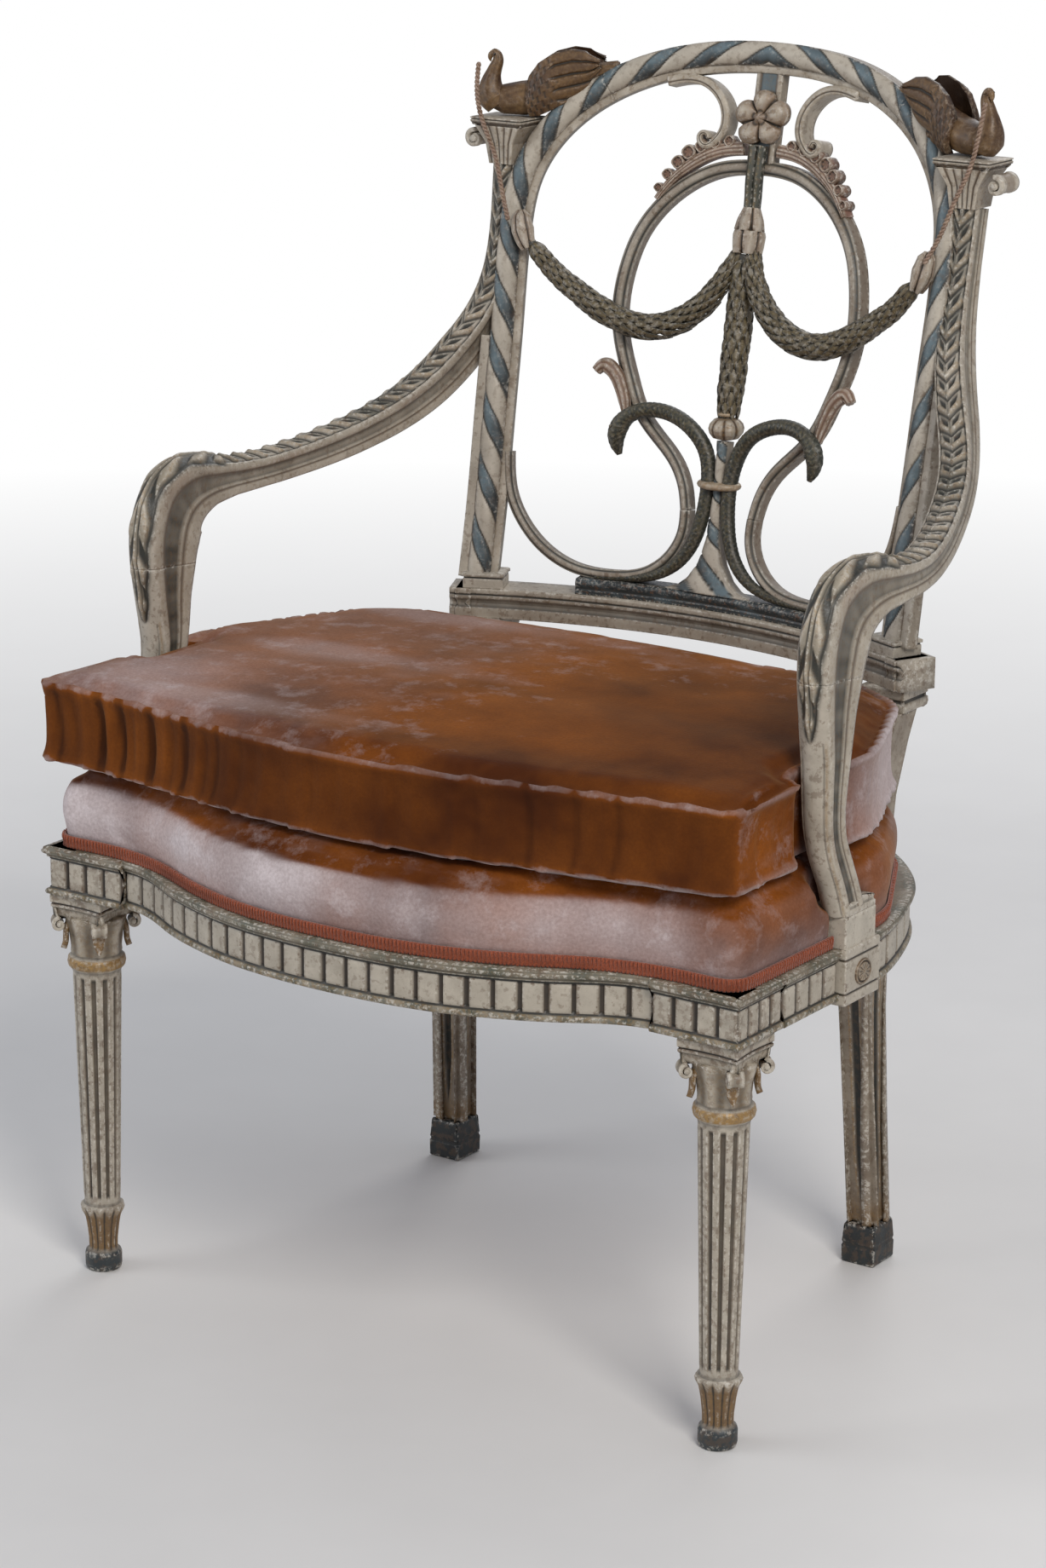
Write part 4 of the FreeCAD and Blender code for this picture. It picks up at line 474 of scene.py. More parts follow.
@dataclass
class Graph:
    """A material's node tree with short ways to add and link nodes."""
    material: Material

    @staticmethod
    def new(name: str) -> "Graph":
        """Start a material with only its output and shader.

        Args:
            name: name of the material.
        Returns:
            Its graph.
        """
        material = bpy.data.materials.new(name)
        material.use_nodes = True
        return Graph(material)

    @property
    def shader(self) -> bpy.types.Node:
        """The main shader node."""
        return self.material.node_tree.nodes["Principled BSDF"]

    def node(self, kind: str, **values: object) -> bpy.types.Node:
        """Add a node.

        Args:
            kind: the node's type name.
            values: properties by name.
        Returns:
            The node.
        """
        made = self.material.node_tree.nodes.new(kind)
        for key, value in values.items():
            setattr(made, key, value)
        return made

    def link(self, source: Socket, target: Socket) -> None:
        """Link two sockets."""
        self.material.node_tree.links.new(source, target)

    def attribute(self, name: str) -> bpy.types.Node:
        """Read one of the piece's own attributes."""
        return self.node("ShaderNodeAttribute", attribute_name=name)

    def noise(self, scale: float, detail: float = 3.0, rough: float = 0.55,
              stretch: Triple | None = None) -> Socket:
        """Noise on the piece's own coordinates.

        Args:
            scale: turns per metre.
            detail: how many finer layers it has.
            rough: weight of the finer layers.
            stretch: scale of each axis, or None for an even pattern.
        Returns:
            The socket with its value.
        """
        where = self.node("ShaderNodeTexCoord").outputs["Object"]
        if stretch is not None:
            mapping = self.node("ShaderNodeMapping")
            mapping.inputs["Scale"].default_value = stretch
            self.link(where, mapping.inputs["Vector"])
            where = mapping.outputs["Vector"]
        made = self.node("ShaderNodeTexNoise")
        made.inputs["Scale"].default_value = scale
        made.inputs["Detail"].default_value = detail
        made.inputs["Roughness"].default_value = rough
        self.link(where, made.inputs["Vector"])
        return made.outputs["Fac"]

    def ramp(self, source: Socket, low: float, high: float, start: float = 0.0, end: float = 1.0) -> Socket:
        """Map a value from low..high to start..end, held at both ends.

        Args:
            source: the value.
            low: value that gives start.
            high: value that gives end.
            start: result at low.
            end: result at high.
        Returns:
            The socket with the result.
        """
        made = self.node("ShaderNodeMapRange")
        for key, value in (("From Min", low), ("From Max", high), ("To Min", start), ("To Max", end)):
            made.inputs[key].default_value = value
        self.link(source, made.inputs["Value"])
        return made.outputs["Result"]

    def maths(self, kind: str, first: Socket | float, second: Socket | float) -> Socket:
        """A sum, product or the like of two values.

        Args:
            kind: the operation.
            first: a socket or a number.
            second: the same.
        Returns:
            The socket with the result.
        """
        made = self.node("ShaderNodeMath", operation=kind)
        for socket, value in zip(made.inputs, (first, second)):
            if isinstance(value, (int, float)):
                socket.default_value = value
            else:
                self.link(value, socket)
        return made.outputs[0]

    def blend(self, share: Socket | float, first: Socket | Sequence[float],
              second: Socket | Sequence[float], kind: str = "MIX") -> Socket:
        """Mix two colours.

        Args:
            share: how much of the second colour.
            first: a socket or a colour.
            second: the same.
            kind: how they blend.
        Returns:
            The socket with the result.
        """
        made = self.node("ShaderNodeMix", data_type="RGBA", blend_type=kind)
        made.clamp_factor = True
        for socket, value in ((made.inputs[0], share), (made.inputs[6], first), (made.inputs[7], second)):
            if isinstance(value, Socket):
                self.link(value, socket)
            elif isinstance(value, (int, float)):
                socket.default_value = value
            else:
                socket.default_value = (*value[:3], 1.0)
        return made.outputs[2]

    def fade_to_white(self, near: float, far: float) -> None:
        """Turn the surface to plain white light away from the middle, for the camera only.

        Args:
            near: the radius where the fade starts, in metres.
            far: the radius where it ends.
        """
        place = self.node("ShaderNodeTexCoord").outputs["Object"]
        reach = self.node("ShaderNodeVectorMath", operation="LENGTH")
        self.link(place, reach.inputs[0])
        white = self.node("ShaderNodeEmission")
        white.inputs["Strength"].default_value = 1.0
        pick = self.node("ShaderNodeMixShader")
        out = self.material.node_tree.nodes["Material Output"]
        seen = self.node("ShaderNodeLightPath").outputs["Is Camera Ray"]
        self.link(self.maths("MULTIPLY", self.ramp(reach.outputs["Value"], near, far), seen), pick.inputs[0])
        self.link(self.shader.outputs[0], pick.inputs[1])
        self.link(white.outputs[0], pick.inputs[2])
        self.link(pick.outputs[0], out.inputs["Surface"])

    def relief(self, height: Socket, depth: float, strength: float = 1.0) -> None:
        """Bump the surface by a height in metres.

        Args:
            height: the height's socket.
            depth: what a height of 1 stands for, in metres.
            strength: how strongly it shows.
        """
        made = self.node("ShaderNodeBump")
        made.inputs["Strength"].default_value = strength
        made.inputs["Distance"].default_value = depth
        self.link(height, made.inputs["Height"])
        self.link(made.outputs["Normal"], self.shader.inputs["Normal"])


@dataclass(frozen=True)
class CarvedPaint:
    """Aged paint on carving: mottled tint, rubbed brown edges and touches of gold, with dark glaze and painted shade in
    the hollows and pale worn paint with painted highlights on the ridges.
    """
    name: str
    mottle: float = 0.3
    mottle_scale: float = 55.0
    chip_share: float = 0.55
    chip_colour: Triple = srgb(96, 74, 54)
    grime_colour: Triple = srgb(88, 76, 60)
    gold_colour: Triple = srgb(170, 136, 84)
    # The hollows darken with glaze and painted shade; the ridges take pale worn paint and painted highlights.
    glaze_colour: Triple = srgb(46, 44, 38)
    ridge_colour: Triple = srgb(214, 208, 196)
    settled: float = 0.85
    rubbed: float = 0.6
    roughness: float = 0.45
    relief: float = 0.0004

    def build(self) -> Material:
        """Make the material.

        Returns:
            The material.
        """
        graph = Graph.new(self.name)
        tint = graph.attribute("tint").outputs["Color"]
        slow = graph.noise(self.mottle_scale, 4.0, 0.6)
        fine = graph.noise(self.mottle_scale * 7, 3.0, 0.6)
        cloud = graph.ramp(slow, 0.3, 0.75)
        colour = graph.blend(graph.maths("MULTIPLY", cloud, self.mottle), tint, self.grime_colour, "MULTIPLY")
        grime = graph.ramp(fine, 0.55, 0.8, 0.0, self.mottle * 0.8)
        colour = graph.blend(grime, colour, self.grime_colour)
        worn = graph.attribute("wear").outputs["Fac"]
        patch = graph.ramp(graph.noise(self.mottle_scale * 3.1, 4.0, 0.65), self.chip_share, self.chip_share + 0.07)
        colour = graph.blend(graph.maths("MULTIPLY", patch, worn), colour, self.chip_colour)
        gold = graph.attribute("gilt").outputs["Fac"]
        rubbed = graph.maths("MULTIPLY", gold, graph.ramp(fine, 0.4, 0.62))
        colour = graph.blend(rubbed, colour, self.gold_colour)
        hollow = graph.attribute("hollow").outputs["Fac"]
        # Glaze and painted shade: darker the deeper the hollow, varied by slow noise.
        settled = graph.maths("MULTIPLY", graph.ramp(hollow, 0.015, 0.13, 0.0, self.settled),
                              graph.ramp(slow, 0.2, 0.55, 0.65, 1.0))
        colour = graph.blend(settled, colour, self.glaze_colour)
        # Worn paint and painted highlight: pale specks on the ridges.
        flake = graph.ramp(graph.noise(self.mottle_scale * 5.0, 4.0, 0.7), 0.5, 0.6)
        ridge = graph.maths("MULTIPLY", graph.ramp(hollow, -0.02, -0.12, 0.0, self.rubbed), flake)
        colour = graph.blend(ridge, colour, self.ridge_colour)
        graph.link(colour, graph.shader.inputs["Base Color"])
        graph.link(graph.maths("MULTIPLY", rubbed, 0.55), graph.shader.inputs["Metallic"])
        graph.link(graph.ramp(fine, 0.2, 0.8, self.roughness - 0.1, self.roughness + 0.15),
                   graph.shader.inputs["Roughness"])
        height = graph.maths("ADD", graph.maths("MULTIPLY", slow, 0.6), graph.maths("MULTIPLY", fine, 0.4))
        graph.relief(height, self.relief, 0.9)
        return graph.material


@dataclass(frozen=True)
class PlainWood:
    """Bare beech with a fine grain."""
    name: str
    light: Triple = srgb(168, 132, 92)
    dark: Triple = srgb(120, 88, 58)
    stretch: Triple = (6.0, 90.0, 90.0)

    def build(self) -> Material:
        """Make the material.

        Returns:
            The material.
        """
        graph = Graph.new(self.name)
        grain = graph.noise(1.0, 6.0, 0.65, self.stretch)
        graph.link(graph.blend(graph.ramp(grain, 0.3, 0.7), self.light, self.dark), graph.shader.inputs["Base Color"])
        graph.shader.inputs["Roughness"].default_value = 0.65
        graph.relief(grain, 0.0002, 0.6)
        return graph.material


@dataclass(frozen=True)
class Velvet:
    """Silk velvet: a warm pile with painted sheen that turns it pale where it is brushed or seen along its slope, and
    painted shade where its wear attribute is below 0.
    """
    name: str
    deep: Triple = srgb(78, 36, 8)
    warm: Triple = srgb(142, 78, 22)
    pale: Triple = srgb(216, 204, 204)
    slant: Triple = srgb(158, 104, 46)
    sheen: float = 0.03
    gloss: float = 0.12

    def build(self) -> Material:
        """Make the material.

        Returns:
            The material.
        """
        graph = Graph.new(self.name)
        drift = graph.noise(7.0, 4.0, 0.6)
        streak = graph.noise(1.0, 4.0, 0.6, (22.0, 26.0, 60.0))
        fine = graph.noise(420.0, 2.0, 0.6)
        shade = graph.ramp(drift, 0.38, 0.64)
        colour = graph.blend(shade, self.deep, self.warm)
        # The wear attribute holds brushed pile and painted sheen above 0, and painted shade below 0.
        brushed_sheen_and_shade = graph.attribute("wear").outputs["Fac"]
        patch = graph.ramp(streak, 0.5, 0.72, 0.0, 0.5)
        # Painted sheen: the colour turns towards the slant colour where the surface is seen at a grazing angle.
        facing = graph.node("ShaderNodeLayerWeight")
        facing.inputs["Blend"].default_value = 0.5
        grazing_sheen = graph.ramp(facing.outputs["Facing"], 0.6, 1.0, 0.0, 0.6)
        colour = graph.blend(grazing_sheen, colour, self.slant)
        crushed = graph.ramp(graph.noise(34.0, 6.0, 0.72), 0.52, 0.68, 0.0, 0.22)
        patch = graph.maths("ADD", graph.maths("MULTIPLY", patch, 0.14), crushed)
        share = graph.maths("ADD", patch, brushed_sheen_and_shade)
        colour = graph.blend(share, colour, self.pale)
        colour = graph.blend(graph.ramp(fine, 0.3, 0.7, 0.0, 0.25), colour, self.deep)
        # Painted shade: darker where the wear attribute is below 0.
        colour = graph.blend(graph.ramp(brushed_sheen_and_shade, 0.0, -1.0), colour, tuple(value * 0.3 for value in self.deep))
        graph.link(colour, graph.shader.inputs["Base Color"])
        graph.shader.inputs["Roughness"].default_value = 0.75
        graph.shader.inputs["Specular IOR Level"].default_value = self.gloss
        graph.shader.inputs["Sheen Weight"].default_value = self.sheen
        graph.shader.inputs["Sheen Roughness"].default_value = 0.35
        graph.shader.inputs["Sheen Tint"].default_value = (*srgb(255, 226, 204), 1)
        graph.relief(graph.maths("ADD", fine, graph.maths("MULTIPLY", streak, 0.8)), 0.0006, 0.5)
        return graph.material


@dataclass(frozen=True)
class Cloth:
    """Plain woven cloth or braid in one colour."""
    name: str
    colour: Triple
    thread: float = 900.0
    roughness: float = 0.85

    def build(self) -> Material:
        """Make the material.

        Returns:
            The material.
        """
        graph = Graph.new(self.name)
        weave = graph.noise(self.thread, 2.0, 0.5)
        slow = graph.noise(60.0, 3.0, 0.6)
        darker = tuple(value * 0.55 for value in self.colour)
        colour = graph.blend(graph.ramp(weave, 0.35, 0.65), darker, self.colour)
        colour = graph.blend(graph.ramp(slow, 0.4, 0.7, 0.0, 0.4), colour, darker)
        graph.link(colour, graph.shader.inputs["Base Color"])
        graph.shader.inputs["Roughness"].default_value = self.roughness
        graph.shader.inputs["Sheen Weight"].default_value = 0.3
        graph.relief(weave, 0.0005, 0.7)
        return graph.material


@dataclass(frozen=True)
class Steel:
    """Plain steel for screws."""
    name: str

    def build(self) -> Material:
        """Make the material.

        Returns:
            The material.
        """
        graph = Graph.new(self.name)
        fine = graph.noise(300.0)
        graph.link(graph.blend(fine, srgb(120, 118, 114), srgb(80, 78, 74)), graph.shader.inputs["Base Color"])
        graph.shader.inputs["Metallic"].default_value = 0.9
        graph.link(graph.ramp(fine, 0.3, 0.7, 0.3, 0.5), graph.shader.inputs["Roughness"])
        return graph.material


@dataclass
class Palette:
    """All finishes of the chair, made once."""
    cream: Material = field(init=False)
    leg_cream: Material = field(init=False)
    bronze: Material = field(init=False)
    gilt: Material = field(init=False)
    rose: Material = field(init=False)
    marble: Material = field(init=False)
    velvet: Material = field(init=False)
    braid: Material = field(init=False)
    wood: Material = field(init=False)
    webbing: Material = field(init=False)
    steel: Material = field(init=False)

    def __post_init__(self) -> None:
        """Build each finish."""
        self.cream = CarvedPaint("worn_cream_paint").build()
        self.leg_cream = CarvedPaint("worn_leg_paint", mottle=0.4, chip_share=0.5).build()
        self.bronze = CarvedPaint("green_bronzed_paint", mottle=0.35, chip_share=0.6, rubbed=0.25,
                                  gold_colour=srgb(150, 134, 92)).build()
        self.gilt = CarvedPaint("rubbed_gilding", mottle=0.4, gold_colour=srgb(156, 122, 78),
                                ridge_colour=srgb(190, 170, 146), rubbed=0.35, roughness=0.42).build()
        self.rose = CarvedPaint("rose_brown_paint", mottle=0.35).build()
        self.marble = CarvedPaint("dark_marbled_paint", mottle=0.2, mottle_scale=90, roughness=0.38,
                                  chip_colour=srgb(120, 84, 56)).build()
        self.velvet = Velvet("rust_velvet").build()
        self.braid = Cloth("ribbed_braid", srgb(158, 76, 42)).build()
        self.wood = PlainWood("bare_beech").build()
        self.webbing = Cloth("jute_webbing", srgb(140, 116, 84), 500.0).build()
        self.steel = Steel("screw_steel").build()


# Carved solids

@dataclass
class Paint:
    """What a carved face gets at each point: height out of the face in mm and its colours."""
    height: Array | float
    tint: Array
    gilt: Array | float = 0.0
    wear: Array | float = 0.25

    def skin(self, grid: Array, along: Array | None = None) -> Skin:
        """A skin over the grid in this paint."""
        shape = grid.shape[:2]
        return Skin(grid, full(self.tint, shape + (3,)), full(self.gilt, shape), full(self.wear, shape), along=along)


Carver = Callable[[Array, Array], Paint]


def plain(tint: Array, wear: float = 0.25, gilt: float = 0.0) -> Carver:
    """A carver that leaves the face smooth and paints it in one tint.

    Args:
        tint: its colour.
        wear: how worn it is.
        gilt: how gilded it is.
    Returns:
        The carver.
    """
    def carve(run: Array, place: Array) -> Paint:
        """The same everywhere."""
        return Paint(np.zeros_like(run), full(tint, run.shape + (3,)), gilt, wear)
    return carve


def spaced(corners: Sequence[tuple[float, float]], spacing: float) -> Array:
    """Both coordinates of places from corner to corner, roughly the spacing apart.

    Args:
        corners: pairs of coordinates.
        spacing: the wanted distance.
    Returns:
        Two rows, one for each coordinate.
    """
    rows = [corners[0]]
    for (a0, b0), (a1, b1) in zip(corners, corners[1:]):
        count = max(int(math.hypot(a1 - a0, b1 - b0) / spacing), 1)
        rows += [(a0 + (a1 - a0) * k / count, b0 + (b1 - b0) * k / count) for k in range(1, count + 1)]
    return np.array(rows, float).T


@dataclass
class Bar:
    """A bar along a track with a crowned, carved face, plain sides and a flat back."""
    track: Track
    width: Array | float
    depth: Array | float
    carve: Carver
    crown: float = 2.5
    face_cols: int = 21
    side_cols: int = 6
    back_cols: int = 3
    side_tint: Array = field(default_factory=lambda: CREAM_SHADE)
    side_wear: float = 0.4
    aside: float = 0.0
    sunk: Array | float = 0.0
    side: Carver | None = None

    def skin(self) -> Skin:
        """The bar's surface; the side carver gets the run and 0 to 1 from face to back.

        Returns:
            A closed skin with one row for each place of the track.
        """
        rows = len(self.track.path)
        half = full(self.width, (rows,)) / 2
        deep = full(self.depth, (rows,))
        run, place = np.meshgrid(self.track.run, np.linspace(-1, 1, self.face_cols), indexing="ij")
        paint = self.carve(run, place)
        face_n = full(paint.height, run.shape) - self.crown * place ** 2
        side = np.linspace(0, 1, self.side_cols + 1)[1:]
        back = np.linspace(1, -1, self.back_cols + 1)[1:]
        right_n = -self.crown - (deep[:, None] - self.crown) * side
        flank = None
        if self.side is not None:
            flank = self.side(*np.meshgrid(self.track.run, side, indexing="ij"))
        bulge = full(flank.height, right_n.shape) if flank else np.zeros(right_n.shape)
        bulge[:, -1] = 0
        b = np.hstack([half[:, None] * place, half[:, None] + bulge, half[:, None] * back,
                       -half[:, None] - bulge[:, ::-1][:, 1:]])
        n = np.hstack([face_n, right_n, np.repeat(-deep[:, None], self.back_cols, 1), right_n[:, ::-1][:, 1:]])
        rest = b.shape[1] - self.face_cols
        tint = np.concatenate([full(paint.tint, run.shape + (3,)), full(self.side_tint, (rows, rest, 3))], axis=1)
        gilt = np.hstack([full(paint.gilt, run.shape), np.zeros((rows, rest))])
        wear = np.hstack([full(paint.wear, run.shape), np.full((rows, rest), self.side_wear)])
        if flank is not None:
            here = full(flank.tint, right_n.shape + (3,))
            first, second = self.face_cols, self.face_cols + self.side_cols + self.back_cols
            tint[:, first:first + self.side_cols] = here
            tint[:, second:] = here[:, ::-1][:, 1:]
            gold = full(flank.gilt, right_n.shape)
            gilt[:, first:first + self.side_cols] = gold
            gilt[:, second:] = gold[:, ::-1][:, 1:]
        low = full(self.sunk, (rows,))[:, None]
        return Skin(self.track.ring(b + self.aside, n - low), tint, gilt, wear, along=self.track.run)


@dataclass
class Rope:
    """A round or oval member along a track; place runs from -pi to pi with 0 at the front."""
    track: Track
    across: Array | float
    out: Array | float
    carve: Carver
    cols: int = 28

    def skin(self) -> Skin:
        """The rope's surface.

        Returns:
            The skin.
        """
        rows = len(self.track.path)
        run, place = np.meshgrid(self.track.run, circle(self.cols), indexing="ij")
        paint = self.carve(run, place)
        height = full(paint.height, run.shape)
        b = (full(self.across, (rows,))[:, None] + height) * np.sin(place)
        n = (full(self.out, (rows,))[:, None] + height) * np.cos(place)
        return paint.skin(self.track.ring(b, n), self.track.run)


@dataclass
class Turned:
    """A turned shape about the vertical; place is the angle and run the height."""
    centre: tuple[float, float]
    profile: Sequence[tuple[float, float]]
    carve: Carver
    cols: int = 48
    spacing: float = 1.5

    def skin(self) -> Skin:
        """The turned surface.

        Returns:
            The skin.
        """
        radii, heights = spaced(self.profile, self.spacing)
        z, place = np.meshgrid(heights, circle(self.cols), indexing="ij")
        paint = self.carve(z, place)
        r = np.maximum(radii[:, None] + full(paint.height, z.shape), 0.05)
        grid = np.stack([self.centre[0] + r * np.cos(place), self.centre[1] + r * np.sin(place), z], axis=-1)
        return paint.skin(grid)


@dataclass
class Plan:
    """A closed outline seen from above, with the outward direction at each point."""
    points: Array
    out: Array
    run: Array

    @staticmethod
    def through(corners: Sequence[tuple[float, float]], rounding: float = 1.0, spacing: float = 1.2) -> "Plan":
        """An outline through straight sides with slightly rounded corners.

        Args:
            corners: x and y of the corners, counter-clockwise.
            rounding: radius of the corners.
            spacing: distance between points on the sides.
        Returns:
            The outline.
        """
        pts = np.array(corners, float)
        points, outs = [], []
        size = len(pts)
        for i in range(size):
            before, here, after = pts[i - 1], pts[i], pts[(i + 1) % size]
            way_in = (here - before) / np.linalg.norm(here - before)
            way_on = (after - here) / np.linalg.norm(after - here)
            out_in = np.array([way_in[1], -way_in[0]])
            out_on = np.array([way_on[1], -way_on[0]])
            centre = here - (out_in + out_on) / (1 + out_in @ out_on) * rounding
            for t in (0, 0.25, 0.5, 0.75, 1):
                way = out_in * (1 - t) + out_on * t
                way /= np.linalg.norm(way)
                points.append(centre + way * rounding)
                outs.append(way / max(way @ out_in, 0.5))
            end = centre + out_on * rounding
            following = pts[(i + 2) % size]
            way_next = (following - after) / np.linalg.norm(following - after)
            out_next = np.array([way_next[1], -way_next[0]])
            start = after - (out_on + out_next) / (1 + out_on @ out_next) * rounding + out_on * rounding
            count = max(int(np.linalg.norm(start - end) / spacing), 1)
            for k in range(1, count):
                points.append(end + (start - end) * k / count)
                outs.append(out_on)
        table = np.array(points)
        return Plan(table, np.array(outs), lengths_along(table))

    @staticmethod
    def box(x0: float, x1: float, y0: float, y1: float, rounding: float = 1.0, spacing: float = 1.2) -> "Plan":
        """A rectangular outline."""
        return Plan.through([(x0, y0), (x1, y0), (x1, y1), (x0, y1)], rounding, spacing)


@dataclass
class Stack:
    """Copies of one plan let out or drawn in at each height, like a moulded block."""
    plan: Plan
    profile: Sequence[tuple[float, float]]
    carve: Callable[[Array, Array, Array, Array], Paint]
    spacing: float = 1.2

    def skin(self) -> Skin:
        """The block's surface, heights rising along the rows.

        Returns:
            The skin.
        """
        heights, lets = spaced(self.profile, self.spacing)
        z, index = np.meshgrid(heights, np.arange(len(self.plan.points)), indexing="ij")
        points, out = self.plan.points[index], self.plan.out[index]
        paint = self.carve(z, self.plan.run[index], points, out)
        reach = lets[:, None] + full(paint.height, z.shape)
        grid = np.concatenate([points + out * reach[..., None], z[..., None]], axis=-1)
        return paint.skin(grid)


def edge_worn(tint: Array, wear: float = 0.3) -> Callable[[Array, Array, Array, Array], Paint]:
    """A carver for blocks that wears their upright edges and rims.

    Args:
        tint: its colour.
        wear: wear where nothing rubs.
    Returns:
        The carver.
    """
    def carve(z: Array, run: Array, points: Array, out: Array) -> Paint:
        """More wear at corners and at the top and bottom.

        Args:
            z: heights in mm.
            run: distances round the plan.
            points: places in plan.
            out: outward directions in plan.
        Returns:
            The height of the carving and its paint.
        """
        corner = step(1.001, 1.2, np.linalg.norm(out, axis=-1))
        rim = np.maximum(step(2.5, 0.5, z - z.min()), step(2.5, 0.5, z.max() - z))
        return Paint(np.zeros_like(z), full(tint, z.shape + (3,)), 0.0, wear + 0.5 * np.maximum(corner, rim))
    return carve


@dataclass
class Curl:
    """A flat spiral, as at the end of a scroll."""
    centre: Array
    start: float
    turns: float
    first: float
    last: float
    forward: Array
    upward: Array

    def track(self, count: int = 60) -> Track:
        """The spiral's track: it turns from the start angle while its radius goes from first to last.

        Args:
            count: number of places.
        Returns:
            The track.
        """
        t = np.linspace(0, 1, count)
        angle = self.start + self.turns * 2 * math.pi * t
        radius = self.first + (self.last - self.first) * t
        ray = np.cos(angle)[:, None] * self.forward + np.sin(angle)[:, None] * self.upward
        path = self.centre + ray * radius[:, None]
        return Track.along(path, ray)


# Geometry nodes

@dataclass(frozen=True)
class Spread:
    """Sets one small shape on every point of a mesh, by the points' own turn and size."""
    name: str
    jitter: float = 0.08
    seed: int = 7
    inputs: tuple = (("Points", "Geometry"), ("Shape", "Object"), ("Finish", "Material"), ("Jitter", "Float"),
                     ("Seed", "Int"))
    kinds: tuple = (("start", "NodeGroupInput"), ("shape", "GeometryNodeObjectInfo"),
                    ("put", "GeometryNodeInstanceOnPoints"), ("turn", "GeometryNodeInputNamedAttribute"),
                    ("size", "GeometryNodeInputNamedAttribute"), ("chance", "FunctionNodeRandomValue"),
                    ("low", "ShaderNodeMath"), ("high", "ShaderNodeMath"), ("scaled", "ShaderNodeVectorMath"),
                    ("euler", "FunctionNodeEulerToRotation"), ("real", "GeometryNodeRealizeInstances"),
                    ("finish", "GeometryNodeSetMaterial"), ("end", "NodeGroupOutput"))
    links: tuple = (("start", "Points", "put", "Points"), ("start", "Shape", "shape", "Object"),
                    ("shape", "Geometry", "put", "Instance"), ("turn", "Attribute", "euler", "Euler"),
                    ("euler", "Rotation", "put", "Rotation"), ("start", "Jitter", "low", 1),
                    ("start", "Jitter", "high", 1), ("low", 0, "chance", 2), ("high", 0, "chance", 3),
                    ("start", "Seed", "chance", "Seed"), ("size", "Attribute", "scaled", 0),
                    ("chance", 1, "scaled", "Scale"), ("scaled", "Vector", "put", "Scale"),
                    ("put", "Instances", "real", "Geometry"), ("real", "Geometry", "finish", "Geometry"),
                    ("start", "Finish", "finish", "Material"), ("finish", "Geometry", "end", "Geometry"))

    def tree(self) -> bpy.types.NodeTree:
        """Build the node group.

        Returns:
            A group with the inputs Points, Shape, Finish, Jitter and Seed.
        """
        tree = bpy.data.node_groups.new(self.name, "GeometryNodeTree")
        for label, kind in self.inputs:
            tree.interface.new_socket(label, in_out="INPUT", socket_type="NodeSocket" + kind)
        tree.interface.new_socket("Geometry", in_out="OUTPUT", socket_type="NodeSocketGeometry")
        nodes = {key: tree.nodes.new(kind) for key, kind in self.kinds}
        for key in ("turn", "size"):
            nodes[key].data_type = "FLOAT_VECTOR"
            nodes[key].inputs["Name"].default_value = key
        nodes["chance"].data_type = "FLOAT"
        for key, operation in (("low", "SUBTRACT"), ("high", "ADD")):
            nodes[key].operation = operation
            nodes[key].inputs[0].default_value = 1.0
        nodes["scaled"].operation = "SCALE"
        for source, output, target, entry in self.links:
            tree.links.new(nodes[source].outputs[output], nodes[target].inputs[entry])
        return tree

    def mesh(self, name: str, points: Array, turns: Array, sizes: Array, shape: Mesh,
             finish: Material) -> Mesh:
        """Run the group once.

        Args:
            name: name of the new mesh.
            points: places in mm.
            turns: turns about X, Y and Z at each place.
            sizes: sizes of the shape at each place.
            shape: the small shape, one unit long, in mm.
            finish: its material.
        Returns:
            The realised mesh.
        """
        cloud = bpy.data.meshes.new(name + "_points")
        where = points * MM
        where[:, 1] += SHIFT * MM
        cloud.from_pydata(where.tolist(), [], [])
        store_values(cloud, "turn", turns)
        store_values(cloud, "size", sizes * MM)
        carrier, model = new_object(name + "_points", cloud), new_object(name + "_shape", shape)
        tree = bpy.data.node_groups.get(self.name) or self.tree()
        modifier = carrier.modifiers.new("spread", "NODES")
        modifier.node_group = tree
        ids = {item.name: item.identifier for item in tree.interface.items_tree if item.in_out == "INPUT"}
        modifier[ids["Shape"]] = model
        modifier[ids["Finish"]] = finish
        modifier[ids["Jitter"]] = self.jitter
        modifier[ids["Seed"]] = self.seed
        ready = carrier.evaluated_get(bpy.context.evaluated_depsgraph_get())
        made = bpy.data.meshes.new_from_object(ready)
        made.name = name
        carrier.modifiers.remove(modifier)
        for helper in (carrier, model):
            bpy.data.objects.remove(helper)
        for attribute in ("turn", "size"):
            if attribute in made.attributes:
                made.attributes.remove(made.attributes[attribute])
        made.polygons.foreach_set("use_smooth", np.ones(len(made.polygons), bool))
        return made


def euler_of(ahead: Array, out: Array) -> Array:
    """Turns that bring X to ahead and Z to out, for many places.

    Args:
        ahead: directions of the shape's length.
        out: directions away from the work.
    Returns:
        Turns about X, Y and Z.
    """
    turns = []
    for x_way, z_way in zip(ahead, out):
        x_axis = Vector(x_way).normalized()
        y_axis = Vector(z_way).cross(x_axis).normalized()
        z_axis = x_axis.cross(y_axis)
        turns.append(tuple(Matrix((x_axis, y_axis, z_axis)).transposed().to_euler()))
    return np.array(turns)


